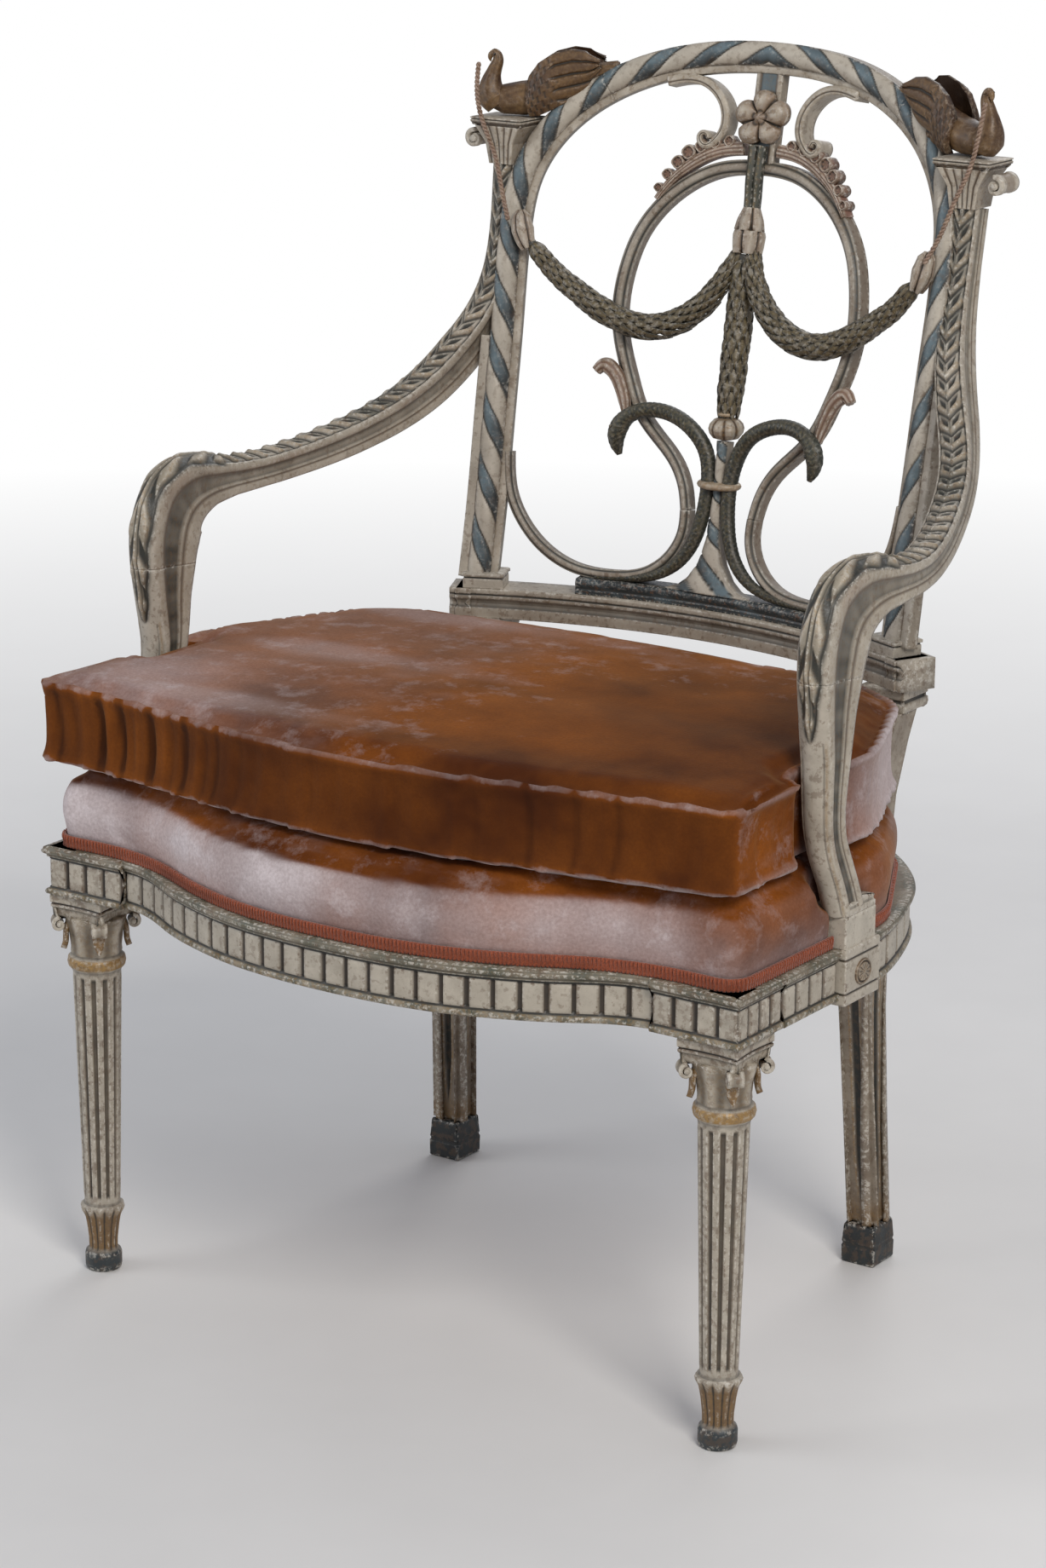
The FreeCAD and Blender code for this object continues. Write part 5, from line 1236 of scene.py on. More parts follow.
@dataclass(frozen=True)
class Leaf:
    """A small laurel leaf one unit long: pointed, cupped, with a raised vein."""
    tint: Array
    vein: Array
    width: float = 0.5
    thickness: float = 0.12
    lift: float = 0.04
    rows: int = 7
    cols: int = 8

    def mesh(self, name: str) -> Mesh:
        """The leaf as a closed mesh of a few dozen faces, coordinates in units.

        Args:
            name: name of the mesh.
        Returns:
            The mesh.
        """
        t = np.linspace(0, 1, self.rows)[:, None]
        turn = circle(self.cols)[None, :]
        half = self.width / 2 * np.sin(math.pi * np.clip(t * 0.92 + 0.06, 0, 1) ** 0.8) + 0.012
        side = half * np.sin(turn)
        spine = self.lift * t ** 1.5 + 0.1 * np.sin(math.pi * t)
        body = self.thickness / 2 * np.cos(turn) * (0.4 + 0.6 * np.sin(math.pi * t * 0.9 + 0.1))
        z = spine + body + 0.9 * np.abs(side) ** 1.2 * 0.3
        grid = np.stack(np.broadcast_arrays(t, side, z), axis=-1)
        edge = np.abs(np.sin(turn)) ** 2 * np.ones_like(t)
        tint = mix(self.vein, self.tint, edge)
        skin = Skin(grid / MM, tint, 0.35 * (1 - edge) ** 2, 0.3)
        mesh = skin_to_mesh(name, [skin])
        for vertex in mesh.vertices:
            vertex.co.y -= SHIFT * MM
        return mesh


def joined_mesh(name: str, meshes: Sequence[Mesh]) -> Mesh:
    """One mesh from several, with their attributes kept.

    Args:
        name: name of the new mesh.
        meshes: the meshes, which are removed.
    Returns:
        The mesh.
    """
    work = bmesh.new()
    for mesh in meshes:
        work.from_mesh(mesh)
    made = meshes[0].copy()
    work.to_mesh(made)
    work.free()
    for mesh in meshes:
        bpy.data.meshes.remove(mesh)
    made.name = name
    return made


@dataclass
class Moulded:
    """A moulding run along a level track; the section lists height and proudness."""
    track: Track
    section: Array
    carve: Callable[[Array, Array, Array], Paint]

    def skin(self) -> Skin:
        """The moulding's surface, with the carver's height added outwards.

        Returns:
            The skin.
        """
        rows = len(self.track.path)
        run = np.repeat(self.track.run[:, None], len(self.section), 1)
        height = np.repeat(self.section[None, :, 0], rows, 0)
        proud = np.repeat(self.section[None, :, 1], rows, 0)
        paint = self.carve(run, height, proud)
        reach = proud + full(paint.height, run.shape)
        grid = self.track.path[:, None] + self.track.out[:, None] * reach[..., None]
        return paint.skin(grid + UP * height[..., None], self.track.run)


def level_track(points: Array) -> Track:
    """A track in plan whose outward side is on the right of the way it runs.

    Args:
        points: x and y of each place.
    Returns:
        The track.
    """
    path = np.column_stack([points, np.zeros(len(points))])
    tangent = np.gradient(points, axis=0)
    tangent /= np.linalg.norm(tangent, axis=1)[:, None]
    out = np.column_stack([tangent[:, 1], -tangent[:, 0], np.zeros(len(points))])
    return Track(path, np.tile(UP, (len(points), 1)), out)


def outline_section(front: Sequence[tuple[float, float]], back: float, spacing: float = 0.9) -> Array:
    """A closed section from its moulded front and the proudness of its flat back.

    Args:
        front: height and proudness of each corner.
        back: proudness of the back.
        spacing: distance between points of the front.
    Returns:
        Height and proudness of each point.
    """
    corners = list(front) + [(front[-1][0], back), (front[0][0], back), front[0]]
    rows = []
    for (z0, o0), (z1, o1) in zip(corners, corners[1:]):
        gap = math.hypot(z1 - z0, o1 - o0)
        count = max(int(gap / (spacing if min(o0, o1) > -5 else 6)), 1)
        rows += [(z0 + (z1 - z0) * k / count, o0 + (o1 - o0) * k / count) for k in range(count)]
    return np.array(rows)


# The seat frame

@dataclass
class SeatFrame:
    """Moulded, tableted rails with their corner blocks, arm blocks and pateras."""
    half_width: float = 316.0
    front_y: float = -247.0
    block_width: float = 73.0
    block_depth: float = 60.0
    bow: float = 63.5
    thickness: float = 26.0
    rear_leg_x: float = 196.0
    rear_leg_y: float = 136.0
    rear_leg_size: float = 34.0
    front_tablets: int = 26
    groove_half: float = 1.9
    groove_depth: float = 2.6
    arm_block_front: float = -113.0
    arm_block_length: float = 50.0
    arm_block_x: float = 325.0
    serpentine: tuple = ((0.0, 1.0), (0.2, 0.968), (0.395, 0.85), (0.547, 0.669), (0.72, 0.378), (0.918, -0.016),
                         (1.0, -0.08))
    side_curve: tuple = ((0.0, 1.0), (0.175, 1.01), (0.337, 1.019), (0.514, 1.019), (0.653, 0.893), (0.804, 0.66),
                         (0.906, 0.379), (1.0, 0.0))
    profile: tuple = ((317.0, 0.6), (317.6, 1.6), (319.0, 2.2), (320.6, 1.9), (321.8, 0.9), (322.2, -0.6),
                      (323.2, -0.6), (323.8, 0.0), (345.2, 0.0), (345.9, -0.9), (347.0, -0.9), (347.6, 0.8),
                      (349.4, 0.9), (349.8, 1.8), (350.8, 3.2), (352.4, 4.0), (353.6, 3.7), (354.2, 2.8),
                      (355.2, 2.8), (356.0, 2.2))

    @property
    def inner_x(self) -> float:
        """Where the front rail meets the corner block."""
        return self.half_width - self.block_width

    def carve(self, phase: Array, along: Array) -> Callable[[Array, Array, Array], Paint]:
        """The tablets: phase counts them at each place of the track, and along is its run.

        Args:
            phase: count of tablets at each place.
            along: run of each place.
        Returns:
            The carver.
        """
        def at(run: Array, height: Array, proud: Array) -> Paint:
            """Grooves, rounded tablets and paint.

            Args:
                run: distances along the track.
                height: heights in mm.
                proud: how far the section stands out there.
            Returns:
                The height of the carving and its paint.
            """
            count = phase[:, None] + 0 * run
            pitch = np.gradient(along) / np.maximum(np.gradient(phase), 1e-6)
            away = np.abs(count - np.round(count)) * pitch[:, None]
            face = step(323.0, 324.0, height) * step(346.2, 345.4, height) * (proud > -0.5)
            groove = step(self.groove_half + 0.5, self.groove_half - 0.5, away) * face
            lip = hill(away - self.groove_half, 1.0, 0.7) * face
            end = np.maximum(step(325.4, 324.0, height), step(343.8, 345.2, height)) * face
            tint = cream(0.25 + 0.2 * wobble(run / 9.0, height / 7.0, seed=2))
            tint = mix(tint, mix(BROWN, INK, 0.55), groove)
            tint = mix(tint, CREAM_SHADE * 0.8, 0.5 * lip)
            low = step(322.4, 321.8, height)
            gap = step(321.9, 322.3, height) * step(323.9, 323.4, height) + step(345.1, 345.7, height) * step(
                347.9, 347.3, height)
            high = step(347.4, 348.0, height)
            tint = mix(tint, GREEN_GREY * 0.8, low * (0.75 + 0.25 * wobble(run / 6.0, seed=1)))
            tint = mix(tint, INK * 1.2, gap)
            tint = mix(tint, mix(GREEN_GREY, CREAM_SHADE, 0.35 + 0.35 * wobble(run / 11.0, seed=4)), high)
            tint = mix(tint, CREAM_SHADE * 0.7, (proud < -5).astype(float))
            wear = 0.35 + 0.5 * np.maximum(lip, end) + 0.2 * high
            return Paint(-self.groove_depth * groove - 0.5 * end, tint, 0.35 * low + 0.12 * high, wear)
        return at

    def rail(self, track: Track, phase: Array) -> Skin:
        """One stretch of rail along a level track."""
        return Moulded(track, outline_section(self.profile, -self.thickness), self.carve(phase, track.run)).skin()

    def front_points(self, count: int = 460) -> Array:
        """The front rail's face from left to right.

        Args:
            count: number of points.
        Returns:
            x and y of each point.
        """
        right = [(self.inner_x * u, self.front_y - self.bow * v) for u, v in self.serpentine]
        left = [(-x, y) for x, y in right[:0:-1]]
        return spline_through(np.array(left + right), count)

    def side_points(self, count: int = 420) -> Array:
        """The right side rail's face from front to back.

        Args:
            count: number of points on the whole curve.
        Returns:
            x and y of each point.
        """
        outer = self.rear_leg_x + self.rear_leg_size / 2
        length = self.rear_leg_y - self.front_y
        rows = [(outer + (self.half_width - outer) * u, self.front_y + length * v) for v, u in self.side_curve]
        points = spline_through(np.array(rows), count)
        return points[points[:, 1] >= self.front_y + self.block_depth]

    def block(self) -> Skin:
        """The moulded corner block over the right front leg.

        Returns:
            The skin.
        """
        x0, x1, y0 = self.inner_x, self.half_width, self.front_y
        y1 = y0 + self.block_depth
        first = np.linspace(x0, x1, 66)[:-1]
        second = np.linspace(y0, y1, 54)[1:]
        points = [(x, y0) for x in first] + [(x1, y0)] + [(x1, y) for y in second]
        phase = [4 * (x - x0) / (x1 - x0) for x in first] + [4.0] + [4 + 4 * (y - y0) / (y1 - y0) for y in second]
        track = level_track(np.array(points))
        corner = len(first)
        track.out[:corner] = (0, -1, 0)
        track.out[corner + 1:] = (1, 0, 0)
        track.out[corner] = (1, -1, 0)
        return self.rail(track, np.array(phase))

    def patera(self) -> list[Skin]:
        """The oval rosette on the arm block: rings, petals and an eye.

        Returns:
            The skins.
        """
        x, y, z = self.arm_block_x, self.arm_block_front + self.arm_block_length / 2, 334.5
        radius = 11.5
        rad, angle = np.meshgrid(np.linspace(1.0, 0.02, 30), circle(64), indexing="ij")
        rim = bump(rad, 0.9, 0.1) * 1.3
        petals = step(0.74, 0.66, rad) * (0.7 + 0.9 * np.abs(np.cos(angle * 6)) ** 0.7) * step(0.1, 0.3, rad)
        eye = bump(rad, 0.0, 0.3) * 2.4
        height = rim + petals + eye
        shape = np.stack([x + 0.3 + height, y + radius * rad * np.cos(angle), z + radius * 0.86 * rad * np.sin(angle)],
                         axis=-1)
        back = shape[:1].copy()
        back[..., 0] = x - 2
        grid = np.concatenate([back, shape])
        tint = mix(CREAM_SHADE, BROWN * 0.7, step(1.2, 0.3, height))
        tint = np.concatenate([tint[:1], tint])
        return [Skin(grid, tint, 0.25, 0.5)]

    def build(self, palette: Palette) -> None:
        """Make the rails, blocks and pateras.

        Args:
            palette: the finishes.
        """
        points = self.front_points()
        phase = np.linspace(0, self.front_tablets, len(points))
        front = self.rail(level_track(points), phase)
        place(skin_to_mesh("front_rail_skin", [front]), palette.cream, ["front_rail"], "cream_paint")
        side = self.side_points()
        y = side[:, 1]
        block_rear = self.arm_block_front + self.arm_block_length
        reach = (self.front_y + self.block_depth, self.arm_block_front, block_rear,
                 self.rear_leg_y - self.rear_leg_size)
        phase = np.interp(y, reach, (0, 4, 4, 10)) + np.maximum(y - reach[3], 0) / 30
        rail = self.rail(level_track(side), phase + 1e-5 * np.arange(len(y)))
        outline = Plan.box(290, self.arm_block_x, self.arm_block_front, block_rear, 1.2)
        tablet = Stack(outline, ((313, -1.2), (314, 0), (321, 0), (321.6, -1.0), (322.6, -1.0), (323.2, 0), (347, 0),
                                 (347.6, -1.0), (348.6, -1.0), (349.2, 0), (355, 0), (356, -1.0)), self.block_paint)
        foot = Plan.box(297, self.arm_block_x - 2, self.arm_block_front + 2, block_rear - 4, 1.2)
        plinth = Stack(foot, ((355, 0), (379, 0), (380, -0.8)), edge_worn(CREAM, 0.35))
        side_skins = [rail, tablet.skin(), plinth.skin()]
        place_pairs(("side_rail_{}_skin", "side_rail", side_skins, palette.cream, "cream_paint"),
                    ("patera_{}", "arm_block_patera", self.patera(), palette.gilt, "gilt_carving"))

    def block_paint(self, z: Array, run: Array, points: Array, out: Array) -> Paint:
        """Cream with brown lines in the grooves of the arm block.

        Args:
            z: heights in mm.
            run: distances round the plan.
            points: places in plan.
            out: outward directions in plan.
        Returns:
            The height of the carving and its paint.
        """
        line = np.maximum(bump(z, 322.1, 1.3), bump(z, 348.1, 1.3))
        corner = step(1.001, 1.2, np.linalg.norm(out, axis=-1))
        tint = mix(cream(0.3), BROWN * 0.6, line)
        return Paint(np.zeros_like(z), tint, 0.0, 0.35 + 0.5 * corner)


# Legs

@dataclass
class FrontLeg:
    """A turned and fluted leg with a leaf cup, a gilt ring and a scrolled square capital."""
    x: float = 290.5
    y: float = -221.5
    flutes: int = 12
    cup_top: float = 56.0
    ring_z: float = 261.0
    ring_height: float = 8.0
    abacus: float = 51.0

    def shaft_paint(self, z: Array, place: Array) -> Paint:
        """Flutes, reeded cup with out-turned tips, bun foot and neck ring.

        Args:
            z: heights in mm.
            place: angles round the axis.
        Returns:
            The height of the carving and its paint.
        """
        flute_span = step(self.cup_top + 5, self.cup_top + 9, z) * step(self.ring_z - 10, self.ring_z - 14, z)
        wave = np.cos(place * self.flutes)
        flute = step(-0.05, 0.5, wave) * flute_span
        arris = bump(wave, -0.35, 0.35) * flute_span
        cup = step(16, 20, z) * step(self.cup_top - 1, self.cup_top - 5, z)
        reed = np.abs(np.cos(place * 6))
        tip = bump(z, self.cup_top - 4, 6) * (0.4 + 0.6 * reed)
        foot = step(17.5, 16.5, z)
        ring = step(self.ring_height / 2 + 0.4, self.ring_height / 2 - 0.4, np.abs(z - self.ring_z))
        neck = step(self.ring_z + 5, self.ring_z + 8, z)
        leaf = neck * (0.5 + 0.5 * np.cos(place * 8))
        height = -2.4 * flute * (0.6 + 0.4 * wave) + 0.3 * arris
        height = height - cup * 1.6 * (1 - reed) ** 0.7 + tip * 1.6 + leaf * 1.2
        tint = cream(0.3 + 0.2 * wobble(z / 17.0, place * 2, seed=3))
        tint = mix(tint, mix(BROWN, GREEN_GREY, 0.4), 0.8 * flute)
        tint = mix(tint, mix(BROWN, GOLD, 0.4), cup * (1 - 0.75 * tip))
        tint = mix(tint, INK * 0.8, cup * step(0.45, 0.15, reed) * 0.8)
        tint = mix(tint, mix(BLUE_GREY * 0.35, INK, 0.4), foot)
        tint = mix(tint, GOLD, ring)
        tint = mix(tint, mix(BROWN, GREEN_GREY, 0.5), neck * (1 - leaf) * 0.8)
        return Paint(height, tint, 0.9 * ring + 0.2 * cup + 0.15 * neck, 0.35 + 0.5 * arris)

    def scrolls(self) -> list[Skin]:
        """The four corner volutes and the leaf that hangs from each.

        Returns:
            The skins.
        """
        skins = []
        half = self.abacus / 2
        for sx, sy in CORNERS:
            way = np.array([sx, sy, 0]) / math.sqrt(2)
            side = np.cross(way, UP)
            centre = np.array([self.x, self.y, 0]) + way * (half * math.sqrt(2) - 7.0) + UP * 292.5
            curl = Curl(centre, math.radians(88), -1.45, 7.2, 1.4, way, UP).track(70)
            t = np.linspace(0, 1, 70)
            band = Bar(curl, 12.5 - 3.0 * t, 3.2 - 1.4 * t, self.scroll_paint, crown=0.3, face_cols=9, side_cols=3,
                       side_tint=CREAM)
            skins.append(band.skin())
            path = np.linspace(centre - side * 6.4, centre + side * 6.4, 9)
            skins.append(Rope(Track.along(path, np.tile(way, (9, 1))), 2.2, 2.2, plain(CREAM, 0.3), 14).skin())
            rows = np.array([centre - way * 9 + UP * 4, centre - way * 5.5 - UP * 6, centre - way * 5 - UP * 15,
                             centre - way * 3.2 - UP * 21])
            drop = spline_through(rows, 24)
            hang = Track.along(drop, np.tile(way, (24, 1)))
            size = np.interp(np.linspace(0, 1, 24), (0, 0.3, 0.7, 1), (4.5, 5.5, 4.2, 0.8))
            skins.append(Rope(hang, size, 2.4, plain(mix(BROWN, GOLD, 0.35), 0.3, 0.35), 16).skin())
        return skins

    def scroll_paint(self, run: Array, place: Array) -> Paint:
        """Cream band with a dark channel between two rims."""
        channel = step(0.62, 0.4, np.abs(place))
        return Paint(-0.7 * channel, mix(CREAM, mix(BROWN, GREEN_GREY, 0.5), 0.55 * channel), 0.1, 0.5)

    def abacus_paint(self, z: Array, run: Array, points: Array, out: Array) -> Paint:
        """Concave sides and a dark line under the top fillet.

        Args:
            z: heights in mm.
            run: distances round the plan.
            points: places in plan.
            out: outward directions in plan.
        Returns:
            The height of the carving and its paint.
        """
        u = np.minimum(np.abs(points[..., 0] - self.x), np.abs(points[..., 1] - self.y)) / (self.abacus / 2)
        dip = 2.2 * (1 - u ** 2)
        line = bump(z, 309.0, 1.6)
        tint = mix(cream(0.35), BROWN * 0.6, line)
        return Paint(-dip, tint, 0.05, 0.55)

    def build(self, palette: Palette, frame_part: SeatFrame) -> None:
        """Make both legs with their corner blocks.

        Args:
            palette: the finishes.
            frame_part: the seat frame, which makes the corner block.
        """
        lo, hi = self.ring_z - self.ring_height / 2, self.ring_z + self.ring_height / 2
        profile = ((0.1, 0.0), (12.6, 0.0), (14.2, 1.5), (14.75, 4), (14.75, 13), (14.0, 15.6), (12.2, 17.0),
                   (11.6, 18), (11.8, 26), (13.2, 38), (15.2, 49), (16.4, 53.4), (16.2, 55.4), (14.2, 56.4),
                   (14.3, 60), (19.0, lo - 5), (19.6, lo - 2.5), (21.2, lo - 0.8), (22.4, lo + 0.6),
                   (23.1, self.ring_z), (22.4, hi - 0.6), (21.0, hi + 0.6), (19.3, hi + 2.4), (18.8, hi + 8),
                   (20.0, 284), (22.6, 293), (23.4, 298.5), (18.0, 299.5))
        turned = Turned((self.x, self.y), profile, self.shaft_paint, cols=144, spacing=1.6).skin()
        half = self.abacus / 2
        plan = Plan.box(self.x - half, self.x + half, self.y - half, self.y + half, 0.8, 1.5)
        top = Stack(plan, ((297.5, -4.5), (299.5, -3.2), (303, -2.8), (305.6, -2.4), (306.4, -0.6), (308.4, -0.4),
                           (308.8, -1.6), (309.6, -1.6), (310.2, 0.0), (315.6, 0.0), (317.0, -0.6)),
                    self.abacus_paint).skin()
        skins = [turned, top, frame_part.block()] + self.scrolls()
        place_pairs(("front_leg_{}_skin", "front_leg", skins, palette.leg_cream, "cream_paint"))


@dataclass
class RearLeg:
    """A square leg that sweeps back to a dark foot and rises behind the seat to a moulded cap."""
    x: float = 196.0
    y: float = 136.0
    foot_x: float = 205.0
    foot_y: float = 148.0
    size: float = 34.0
    ankle: float = 20.0
    foot_height: float = 34.0
    seat_y: float = 181.0
    rail_bottom: float = 475.0

    def section(self, z: Array) -> tuple[Array, Array, Array]:
        """Centre x, centre y and half size at each height.

        Args:
            z: heights in mm.
        Returns:
            Three arrays with a value for each height.
        """
        rise = (z - self.foot_height) / (RAIL_BOTTOM - self.foot_height)
        t = np.clip(rise, 0, 1)
        s = np.interp(t, (0, 0.3, 0.65, 1), (0, 0.42, 0.85, 1))
        k = np.interp(t, (0, 0.3, 0.65, 1), (0, 0.08, 0.4, 1))
        up = np.clip((z - RAIL_TOP) / (self.rail_bottom - RAIL_TOP), 0, 1)
        lean = np.interp(up, (0, 0.3, 0.65, 1), (0, 0.12, 0.5, 1))
        x = self.foot_x + (self.x - self.foot_x) * t
        y = self.foot_y + (self.y - self.foot_y) * s + (self.seat_y - self.y) * lean
        return x, y, (self.ankle + (self.size - self.ankle) * k) / 2

    def paint(self, z: Array, run: Array, points: Array, out: Array) -> Paint:
        """Cream faces with a dark blue channel and a gold fillet, below the seat.

        Args:
            z: heights in mm.
            run: distances round the plan.
            points: places in plan.
            out: outward directions in plan.
        Returns:
            The height of the carving and its paint.
        """
        half = self.size / 2
        u = np.where(np.abs(out[..., 1]) > np.abs(out[..., 0]), points[..., 0], points[..., 1]) / half
        u = np.abs(u)
        low = step(46, 66, z - 0 * u) * step(302, 292, z)
        point = np.clip((z - 44) / 50, 0, 1) * 0.2
        channel = step(point + 0.04, point - 0.04, u) * low
        fillet = hill(u - point, 0.1, 0.05) * low
        corner = step(0.86, 1.0, u)
        tint = cream(0.6 + 0.3 * wobble(z / 15.0, u * 3, seed=5))
        tint = mix(tint, BROWN * 0.8, 0.3 + 0.25 * wobble(z / 34.0, u * 2, seed=7))
        tint = mix(tint, mix(DARK_GREEN * 0.7, INK, 0.4), channel)
        tint = mix(tint, mix(GOLD, BROWN, 0.5), 0.5 * fillet)
        base = step(62, 40, z)
        tint = mix(tint, mix(BROWN, GOLD, 0.4), 0.7 * base)
        return Paint(-1.9 * channel, tint, 0.5 * fillet + 0.25 * base, 0.35 + 0.5 * corner)

    def build(self, palette: Palette) -> None:
        """Make both rear legs.

        Args:
            palette: the finishes.
        """
        half = self.size / 2
        plan = Plan.box(-half, half, -half, half, 1.4, 1.3)
        heights = np.concatenate([np.arange(self.foot_height, 456, 3.0), [456.0]])
        _, _, size = self.section(heights)
        profile = [(z, s - half) for z, s in zip(heights, size)]
        shaft = Stack(plan, profile, self.paint, spacing=3.4)
        skins = [self._carried(shaft)]
        foot = Plan.box(self.foot_x - 15, self.foot_x + 15, self.foot_y - 17, self.foot_y + 17, 1.5, 1.5)
        skins.append(Stack(foot, ((0, -1.5), (1.2, 0), (14, 0.2), (16, -0.8), (18, 0), (30, -1.2), (32.5, -1.6),
                                  (34, -3.4)), self.foot_paint).skin())
        cap = Plan.box(self.x - 0.5 - 20, self.x - 0.5 + 20, self.seat_y - 20, self.seat_y + 20, 1.2, 1.5)
        skins.append(Stack(cap, ((455, -3), (456, -1), (459.5, 0), (463, -0.4), (463.6, -2.2), (465.8, -2.2),
                                 (466.6, -0.6), (474, -0.2), (475, -1)), self.cap_paint).skin())
        place_pairs(("rear_leg_{}_skin", "rear_leg", skins, palette.leg_cream, "cream_paint"))

    def _carried(self, stack: Stack) -> Skin:
        """Bend the straight stack along the leg's centre line.

        Args:
            stack: the straight block.
        Returns:
            The skin.
        """
        skin = stack.skin()
        x, y, _ = self.section(skin.grid[:, 0, 2])
        skin.grid[..., 0] += x[:, None]
        skin.grid[..., 1] += y[:, None]
        return skin

    def foot_paint(self, z: Array, run: Array, points: Array, out: Array) -> Paint:
        """Nearly black, marbled foot."""
        tint = mix(INK * 0.5, BLUE_GREY * 0.3, 0.3 + 0.3 * wobble(z / 4.0, run / 5.0))
        return Paint(np.zeros_like(z), tint, 0.0, 0.4)

    def cap_paint(self, z: Array, run: Array, points: Array, out: Array) -> Paint:
        """Cream mouldings with dark hollows."""
        hollow = bump(z, 464.7, 2.2)
        return Paint(np.zeros_like(z), mix(cream(0.4), INK * 1.2, hollow), 0.1 * hollow, 0.4)


# The back

@dataclass
class Stripes:
    """The twisted ribbon painted and carved on the band: blue-grey lozenges between cream turns."""
    pitch: float = 51.0
    slope: float = 2.0
    blue_share: float = 0.42
    half: float = 9.5

    def paint(self, run: Array, place: Array) -> Paint:
        """The carving at a distance along the band and a place from -1 to 1 across it.

        Args:
            run: distances along the band.
            place: -1 to 1 across it.
        Returns:
            The height of the carving and its paint.
        """
        lean = self.slope * self.half * (0.75 * place + 0.25 * place ** 3)
        phase = (run - lean) / self.pitch
        away = np.abs(phase - np.floor(phase) - 0.5)
        edge = self.blue_share / 2
        blue = step(edge + 0.012, edge - 0.012, away)
        turn = np.where(away < edge, away / edge, (0.5 - away) / (0.5 - edge))
        dome = np.sqrt(np.clip(1 - turn ** 2, 0, 1))
        line = hill(away, edge, 0.02)
        # Painted light and shade: each strand lighter towards the outer side of the band and darker towards its inner
        # side.
        low = step(0.35, -0.9, place)
        rim = step(0.8, 0.95, np.abs(place))
        pale = mix(CREAM * 1.04, CREAM_SHADE, 0.15 + 0.3 * low + 0.25 * wobble(run / 13.0, place * 2, seed=6))
        grey = mix(BLUE_GREY * 1.15, INK, 0.15 + 0.65 * low + 0.3 * wobble(run / 5.0, place * 3, seed=8))
        tint = mix(mix(pale, grey, blue), INK * 0.8, 0.95 * line)
        tint = mix(tint, BROWN * 0.5, 0.6 * rim * (0.6 + 0.4 * wobble(run / 8.0, seed=9)))
        height = 1.5 * dome - 0.5 - 1.0 * line
        return Paint(height, tint, 0.15 * line, 0.25 + 0.4 * hill(away - edge, 0.05, 0.03))


